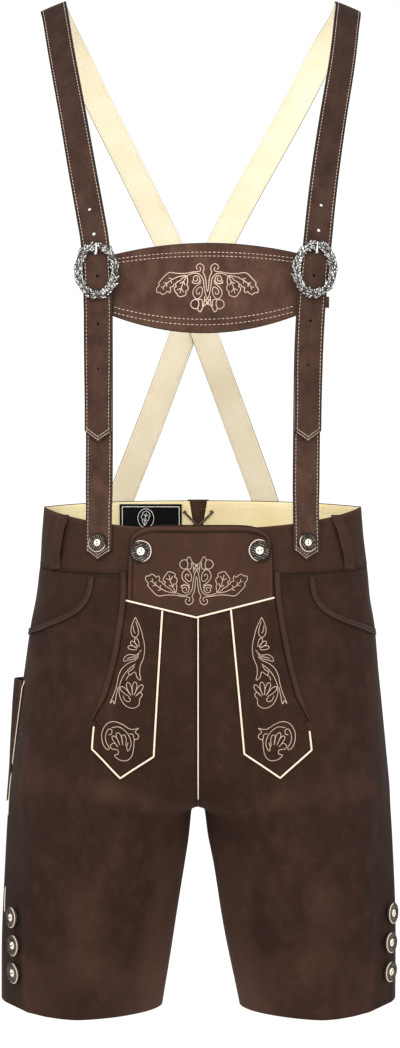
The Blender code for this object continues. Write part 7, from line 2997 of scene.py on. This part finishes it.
@dataclass
class Crossbar:
    """Chest piece with four rows of stitches and the embroidered sprig."""

    rows: int = 40
    columns: int = 110
    top_rows: tuple[float, float] = (10.1 * MM, 14.1 * MM)
    foot_rows: tuple[float, float] = (8.9 * MM, 14.7 * MM)
    narrowing: float = 0.45             # how much nearer the edge the rows run, per metre
    stitched: tuple[float, float] = (-92 * MM, 98.5 * MM)
    motif: tuple[float, float] = (9.8 * MM, -318.4 * MM)

    @staticmethod
    def top(x: np.ndarray) -> np.ndarray:
        """Height of the top edge at x."""
        return CROSSBAR_TOP - CROSSBAR_TOP_FALL * (x - CROSSBAR_TOP_X) ** 2

    @staticmethod
    def foot(x: np.ndarray) -> np.ndarray:
        """Height of the lower edge at x."""
        return CROSSBAR_FOOT + CROSSBAR_FOOT_RISE * (x - CROSSBAR_FOOT_X) ** 2

    def build(self) -> None:
        """Build the crossbar."""
        start, end = -CROSSBAR_END[RIGHT], CROSSBAR_END[LEFT]
        x = np.concatenate([np.linspace(start, end, self.columns),
                            np.linspace(end + 1 * MM, CROSSBAR_TAB_END, 12)])
        tops = np.where(x > end, CROSSBAR_TAB[0], self.top(x))
        feet = np.where(x > end, CROSSBAR_TAB[1], self.foot(x))
        v = np.linspace(0, 1, self.rows)[:, None]
        z = tops + (feet - tops) * v
        outer = chest(np.broadcast_to(x, z.shape), z)
        draft = Draft()
        shell(draft, outer, chest(np.broadcast_to(x, z.shape), z, -CROSSBAR_WALL), (0, 1, 2))
        line = np.linspace(*self.stitched, 80)
        bow = self.narrowing * (line - CROSSBAR_TOP_X) ** 2
        heights = [self.top(line) - row + bow for row in self.top_rows]
        heights += [self.foot(line) + row - bow for row in self.foot_rows]
        for height in heights:
            path = chest(line, height, 0.15 * MM)
            outs = unit(chest(line, height, 1 * MM) - chest(line, height))
            stitches(draft, path, outs, CHEST_STITCH, 3)
        lay(draft, sprig(), self.motif, (1.0, 1.0), 1.05 * MM, chest, 4)
        thing = draft.build("crossbar_leather",
                            [NUBUCK, CUT_EDGE, FLESH, SEWING, CHEST_EMBROIDERY])
        keep(thing, ["crossbar"])


# --- Buckles and buttons --------------------------------------------------------------------

@dataclass
class Buckle:
    """Oval wreath of cast leaves in front of the strap, its bar and its prong."""

    side: int
    leaves: int = 44                    # in each of the rows
    leaf_length: float = 4.6 * MM
    leaf_width: float = 2.4 * MM
    leaf_height: float = 1.0 * MM
    leaf_grid: tuple[int, int] = (9, 7)
    lean: float = 40                    # degrees that the outermost rows lean off the ring
    jitter: float = 0.2
    # Radii of the prong from the hole to its tip: it is widest where it comes out.
    prong_radii: tuple[float, ...] = (1.7 * MM, 2.5 * MM, 1.5 * MM, 0.8 * MM, 0.4 * MM)

    def place(self) -> tuple[np.ndarray, np.ndarray, np.ndarray, np.ndarray]:
        """The bar's middle on the wearer, and the directions across, out and up.

        Returns:
            The point and the three directions.
        """
        frames = lay_frames(self.side, LOWER_STRAP[self.side], STRAP_STEP)
        point, across, out = frames.at(-1)
        up = np.cross(out, across)
        return point, across, out, up if up[2] > 0 else -up

    def ring_point(self, turn: np.ndarray, radial: np.ndarray, rise: np.ndarray
                   ) -> np.ndarray:
        """Points at an angle, moved out from the ring's middle line and up off it.

        Args:
            turn: angle in radians.
            radial: metres out.
            rise: metres up.

        Returns:
            The points.
        """
        point, across, out, up = self.place()
        turn, radial, rise = np.broadcast_arrays(turn, radial, rise)
        x = (BUCKLE_HALF_WIDTH + radial) * np.cos(turn)
        y = (BUCKLE_HALF_HEIGHT + radial) * np.sin(turn)
        return (point + across * x[..., None] + up * y[..., None]
                + out * (BUCKLE_LIFT + rise)[..., None])

    def leaf(self, draft: Draft, turn: float, radial: float, toward: float, lean: float,
             size: float, rise: float) -> None:
        """Add one veined leaf.

        Args:
            draft: where it goes.
            turn: its place round the ring, in radians.
            radial: its foot's distance from the ring's middle line.
            toward: 1 or -1, which way round the ring it points.
            lean: how far it leans outward, in radians.
            size: factor on its length and width.
            rise: how high its foot lies.
        """
        rows, columns = self.leaf_grid
        s = np.linspace(0, 1, rows)[:, None]
        t = np.linspace(-1, 1, columns)
        length, width = self.leaf_length * size, self.leaf_width * size
        half = width / 2 * np.sin(np.pi * s ** 0.85) ** 0.8
        along = s * length * math.cos(lean) - t * half * math.sin(lean)
        outward = s * length * math.sin(lean) + t * half * math.cos(lean)
        radius = BUCKLE_HALF_WIDTH * 0.5 + BUCKLE_HALF_HEIGHT * 0.5 + radial
        turns = turn + toward * along / radius
        dome = (1 - np.abs(t) ** 1.6) * np.sin(np.pi * np.clip(s * 0.94 + 0.04, 0, 1)) ** 0.5
        vein = np.exp(-(t / 0.22) ** 2)
        height = rise + self.leaf_height * size * dome - 0.25 * MM * vein * (1 - s)
        grid = self.ring_point(turns, radial + outward, height)
        relief = np.clip(0.1 + 0.85 * dome - 0.4 * vein * (1 - s), 0, 1)
        cloth = np.zeros(grid.shape)
        cloth[..., 0] = relief
        rim = border(rows, columns)
        low = self.ring_point(turns, radial + outward, height * 0 + rise - 0.8 * MM)
        low_rim = low.reshape(-1, 3)[rim]
        points = np.concatenate([grid.reshape(-1, 3), low_rim])
        skirt = rows * columns + np.arange(len(rim))
        quads = np.stack([rim, skirt, np.roll(skirt, -1), np.roll(rim, -1)], -1)
        shades = np.concatenate([cloth.reshape(-1, 3), np.zeros((len(rim), 3))])
        draft.add(points, [grid_faces(rows, columns), quads], 0, shades)

    def ring(self) -> None:
        """The wreath on its dark base ring, and the bar behind the strap."""
        draft = Draft()
        turns = np.linspace(0, 2 * np.pi, 97)[:-1]
        s = np.linspace(0, 2 * np.pi, 13)[:-1]
        radial = (BUCKLE_BAND - 0.9 * MM) * np.cos(s)
        rise = (BUCKLE_THICK - 0.5 * MM) * np.sin(s)
        ring = self.ring_point(turns[:, None], radial, rise)
        ids = np.arange(ring.shape[0] * 12).reshape(-1, 12)
        nexts = np.roll(ids, -1, 0)
        quads = np.stack([ids, np.roll(ids, -1, 1), np.roll(nexts, -1, 1), nexts], -1)
        shade = np.zeros(ring.shape)
        shade[..., 0] = 0.3
        draft.add(ring, [quads.reshape(-1, 4)], 0, shade)
        chance = np.random.default_rng(11 + self.side)
        lean = math.radians(self.lean)
        bottom, top = -math.pi / 2, math.pi / 2
        rows = ((-2.5, -0.65, 0.0), (2.4, 0.65, 0.0), (-1.6, -0.5, 0.5), (1.5, 0.5, 0.5),
                (-0.6, -0.25, 0.9), (0.4, 0.3, 0.9))
        for toward in (-1, 1):
            for row, (radius, tilt, rise) in enumerate(rows):
                count = self.leaves // 2
                for k in range(count):
                    share = (k + 0.45 * (row % 3) + 0.1) / count
                    turn = bottom + toward * (-0.03 + share * (top - bottom - 0.16))
                    size = 1 + chance.normal(0, self.jitter)
                    self.leaf(draft, turn, (radius + chance.normal(0, 0.25)) * MM, toward,
                              tilt * lean + chance.normal(0, 0.22), size,
                              (rise + chance.normal(0, 0.15)) * MM)
        for lean_side in (-1, 1):
            self.leaf(draft, bottom, -1.6 * MM, lean_side, -1.0, 1.0, 0.8 * MM)
        point, across, out, _ = self.place()
        reach = BUCKLE_HALF_WIDTH
        level, high = out * BAR_CENTRE_LIFT, out * (BUCKLE_LIFT - 1 * MM)
        corners = [point - across * reach + high, point - across * reach + level * 1.6,
                   point - across * (reach - 2.5 * MM) + level,
                   point + across * (reach - 2.5 * MM) + level,
                   point + across * reach + level * 1.6, point + across * reach + high]
        tube(draft, smooth_line(corners, 1.0 * MM), BAR_RADIUS, 12)
        name = f"buckle_{WORD[self.side]}"
        keep(draft.build(name + "_wreath", [SILVER]), [name])

    def prong(self, brace: Brace) -> None:
        """The prong, hooked round the bar, through the strap and out over the wreath.

        Args:
            brace: the brace that it goes through.
        """
        point, _, out, up = self.place()
        middle = point + out * BAR_CENTRE_LIFT
        hook = BAR_RADIUS + PRONG_GAP + PRONG_RADIUS
        turn = np.radians(np.arange(250, 29, -22))[:, None]
        path = list(middle + (up * np.cos(turn) - out * np.sin(turn)) * hook)
        frames = brace.upper_frames()
        lifts = brace.upper_lifts(frames)
        hole, through = frames.hole(STRAP_HOLES[self.side][PRONG_HOLE] * MM, lifts)
        path += [point + (up * spot.x + out * spot.z) * MM for spot in PRONG_START]
        path += [hole + through * lift * MM for lift in PRONG_THROUGH]
        count = len(path)
        path += [point + (up * spot.x + out * spot.z) * MM for spot in PRONG_END]
        radii = [PRONG_RADIUS] * (count - 2) + list(self.prong_radii)
        both = smooth_line(np.concatenate([np.array(path), np.array(radii)[:, None]], -1),
                           0.8 * MM)
        draft = Draft()
        tube(draft, both[:, :3], both[:, 3], 14)
        draft.cloth[-1][:, 0] = 0.95
        name = f"buckle_prong_{WORD[self.side]}"
        keep(draft.build(name + "_cast", [RUBBED_SILVER]), [name])

    def build(self, brace: Brace) -> None:
        """Build the buckle on its brace."""
        self.ring()
        self.prong(brace)


@dataclass
class Buttons:
    """Every horn button, seated where the CAD buttons lie."""

    segments: int = 56
    centre_share: float = 0.35          # radius of the pale middle
    hole: float = 0.85 * MM
    hole_share: float = 0.14            # distance of the holes from the middle
    leg_middle: float = 120 * MM        # what the leg buttons face away from
    leg_from: float = 900 * MM
    profile: tuple[tuple[float, float], ...] = (
        (0.0, 0.2), (0.72, 0.0), (0.9, 0.35), (0.985, 1.1), (1.0, 1.8), (0.985, 2.5),
        (0.95, 3.0), (0.9, 3.25), (0.84, 3.3), (0.78, 3.15), (0.66, 2.85), (0.5, 2.7),
        (0.25, 2.65), (0.0, 2.65))

    def button(self, name: str, arc: float, twist: float) -> None:
        """Build one button.

        Args:
            name: the CAD node that it stands for.
            arc: direction of its pale rim arc, in degrees from +X round towards +Z.
            twist: moves its marbling, so that no two are alike.
        """
        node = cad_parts[name]
        corners = np.zeros(len(node.data.vertices) * 3)
        node.data.vertices.foreach_get("co", corners)
        corners = corners.reshape(-1, 3)
        middle = corners.mean(0)
        _, _, axes = np.linalg.svd(corners - middle)
        out = axes[2]
        spot = np.array([0.0, 0.0, middle[2]])
        if abs(middle[0]) > self.leg_middle and abs(middle[2]) > self.leg_from:
            spot[0] = math.copysign(self.leg_middle, middle[0])
        out = out if out @ (middle - spot) > 0 else -out
        level = np.array([1.0, 0.0, 0.0])
        across = unit(level - out * (level @ out))
        upright = np.cross(out, across)
        upright = upright if upright[2] > 0 else -upright
        angle = math.radians(arc)
        own_x = across * math.cos(angle) + upright * math.sin(angle)
        own_y = np.cross(out, own_x)
        spread = np.linalg.norm((corners - middle) - np.outer((corners - middle) @ out, out),
                                axis=-1)
        radius = spread.max()
        base = middle + out * (((corners - middle) @ out).min())
        draft = Draft()
        turn = 2 * np.pi * np.arange(self.segments) / self.segments
        rings, places = [], []
        for share, height in self.profile:
            x, y = share * np.cos(turn), share * np.sin(turn)
            wave = 1 + 0.012 * np.sin(2 * turn + twist) + 0.008 * np.sin(5 * turn)
            ring = (base + radius * (np.outer(x * wave, own_x) + np.outer(y * wave, own_y))
                    + out * height * MM)
            rings.append(ring)
            places.append(np.stack([x, y, np.full(self.segments, twist)], -1))
        draft.add(np.array(rings), [ring_faces(len(rings), self.segments)], 0,
                  np.array(places))
        centre = []
        for share, height in ((1.0, 2.5), (1.0, 2.95), (0.9, 3.2), (0.6, 3.3), (0.0, 3.3)):
            size = share * self.centre_share * radius
            centre.append(base + size * (np.outer(np.cos(turn), own_x)
                                         + np.outer(np.sin(turn), own_y)) + out * height * MM)
        draft.add(np.array(centre), [ring_faces(len(centre), self.segments)], 1)
        slant = unit(own_x + own_y * 0.6)
        for sign in (-1, 1):
            hole = base + slant * sign * radius * self.hole_share + out * 3.3 * MM
            ends = np.array([hole - out * 0.5 * MM, hole + out * 0.03 * MM])
            tube(draft, ends, self.hole, 14, 2)
        keep(draft.build(name + "_horn", [HORN, HORN_CENTRE, CUT_EDGE]), [name])

    def build(self) -> None:
        """Build every button, its rim arc towards the garment's middle."""
        twists = iter(range(15, 400, 29))
        for side in (RIGHT, LEFT):
            inward = 180 if side == LEFT else 0
            word = WORD[side]
            self.button(f"strap_button_{word}", -115 if side == RIGHT else -125, next(twists))
            self.button(f"flap_button_{word}", inward - 20 * side, next(twists))
            self.button(f"back_button_{word}", inward, next(twists))
            for number in (1, 2, 3):
                self.button(f"leg_button_{word}_{number}", inward + 12 * side, next(twists))


# --- Camera, light and floor ----------------------------------------------------------------

@dataclass
class Studio:
    """Camera, soft lights and the pale floor."""

    picture: tuple[int, int] = (400, 1048)
    distance: float = 2.7
    pixel: float = 1.1 * MM             # at the middle of the garment
    middle_x: float = 1.98 * MM
    middle_z: float = -566.5 * MM
    sensor: float = 36.0
    floor_z: float = -1.9
    floor_half: float = 14.0
    key_power: float = 16.2
    fill_power: float = 11.0
    sky: float = 1.1

    def camera(self) -> None:
        """Camera level with the middle of the garment."""
        data = bpy.data.cameras.new("camera")
        data.sensor_width = self.sensor
        data.lens = self.distance / (self.pixel * max(self.picture)) * self.sensor
        data.dof.use_dof = False
        thing = bpy.data.objects.new("camera", data)
        thing.location = (self.middle_x, -self.distance, self.middle_z)
        thing.rotation_euler = (math.radians(90), 0.0, 0.0)
        bpy.context.scene.collection.objects.link(thing)
        bpy.context.scene.camera = thing

    def lamp(self, name: str, place: tuple[float, float, float], size: float, power: float,
             ) -> None:
        """A soft square lamp aimed at the garment's middle.

        Args:
            name: its name.
            place: where it hangs.
            size: length of its side.
            power: in watts.
        """
        data = bpy.data.lights.new(name, "AREA")
        data.shape, data.size, data.energy = "SQUARE", size, power
        thing = bpy.data.objects.new(name, data)
        thing.location = place
        aim = Vector((0.0, 0.0, self.middle_z)) - thing.location
        thing.rotation_euler = aim.to_track_quat("-Z", "Y").to_euler()
        thing.visible_camera = False
        bpy.context.scene.collection.objects.link(thing)

    def floor(self) -> None:
        """Plain pale floor, well below the hem."""
        draft = Draft()
        spots = np.array([[-1, -1, 0], [1, -1, 0], [1, 1, 0], [-1, 1, 0]]) * self.floor_half
        spots[:, 2] = self.floor_z
        draft.add(spots, [np.array([[0, 1, 2, 3]])])
        draft.build("floor", [Smooth("matt_white_floor", "ffffff", 0.9, 0.0, 0.12)])

    def build(self) -> None:
        """Set up camera, world, lamps and floor."""
        self.camera()
        world = bpy.data.worlds.new("world")
        world.use_nodes = True
        shade = world.node_tree.nodes["Background"]
        shade.inputs["Color"].default_value = (1.0, 1.0, 1.0, 1.0)
        shade.inputs["Strength"].default_value = self.sky
        bpy.context.scene.world = world
        bpy.context.scene.view_settings.view_transform = "Standard"
        self.lamp("key", (-0.35, -1.25, 0.25), 0.9, self.key_power)
        self.lamp("fill", (1.3, -1.9, -0.6), 1.4, self.fill_power)
        self.floor()


def main() -> None:
    """Build every piece in order."""
    logging.basicConfig(level=logging.INFO, format="%(message)s")
    Studio().build()
    BackLace().build()
    Shorts().build()
    Waist().build()
    Pockets().build()
    DropFlap().build()
    for side in (RIGHT, LEFT):
        brace = Brace(side)
        brace.build()
        Buckle(side).build(brace)
    Crossbar().build()
    Buttons().build()


if __name__ == "__main__":
    main()
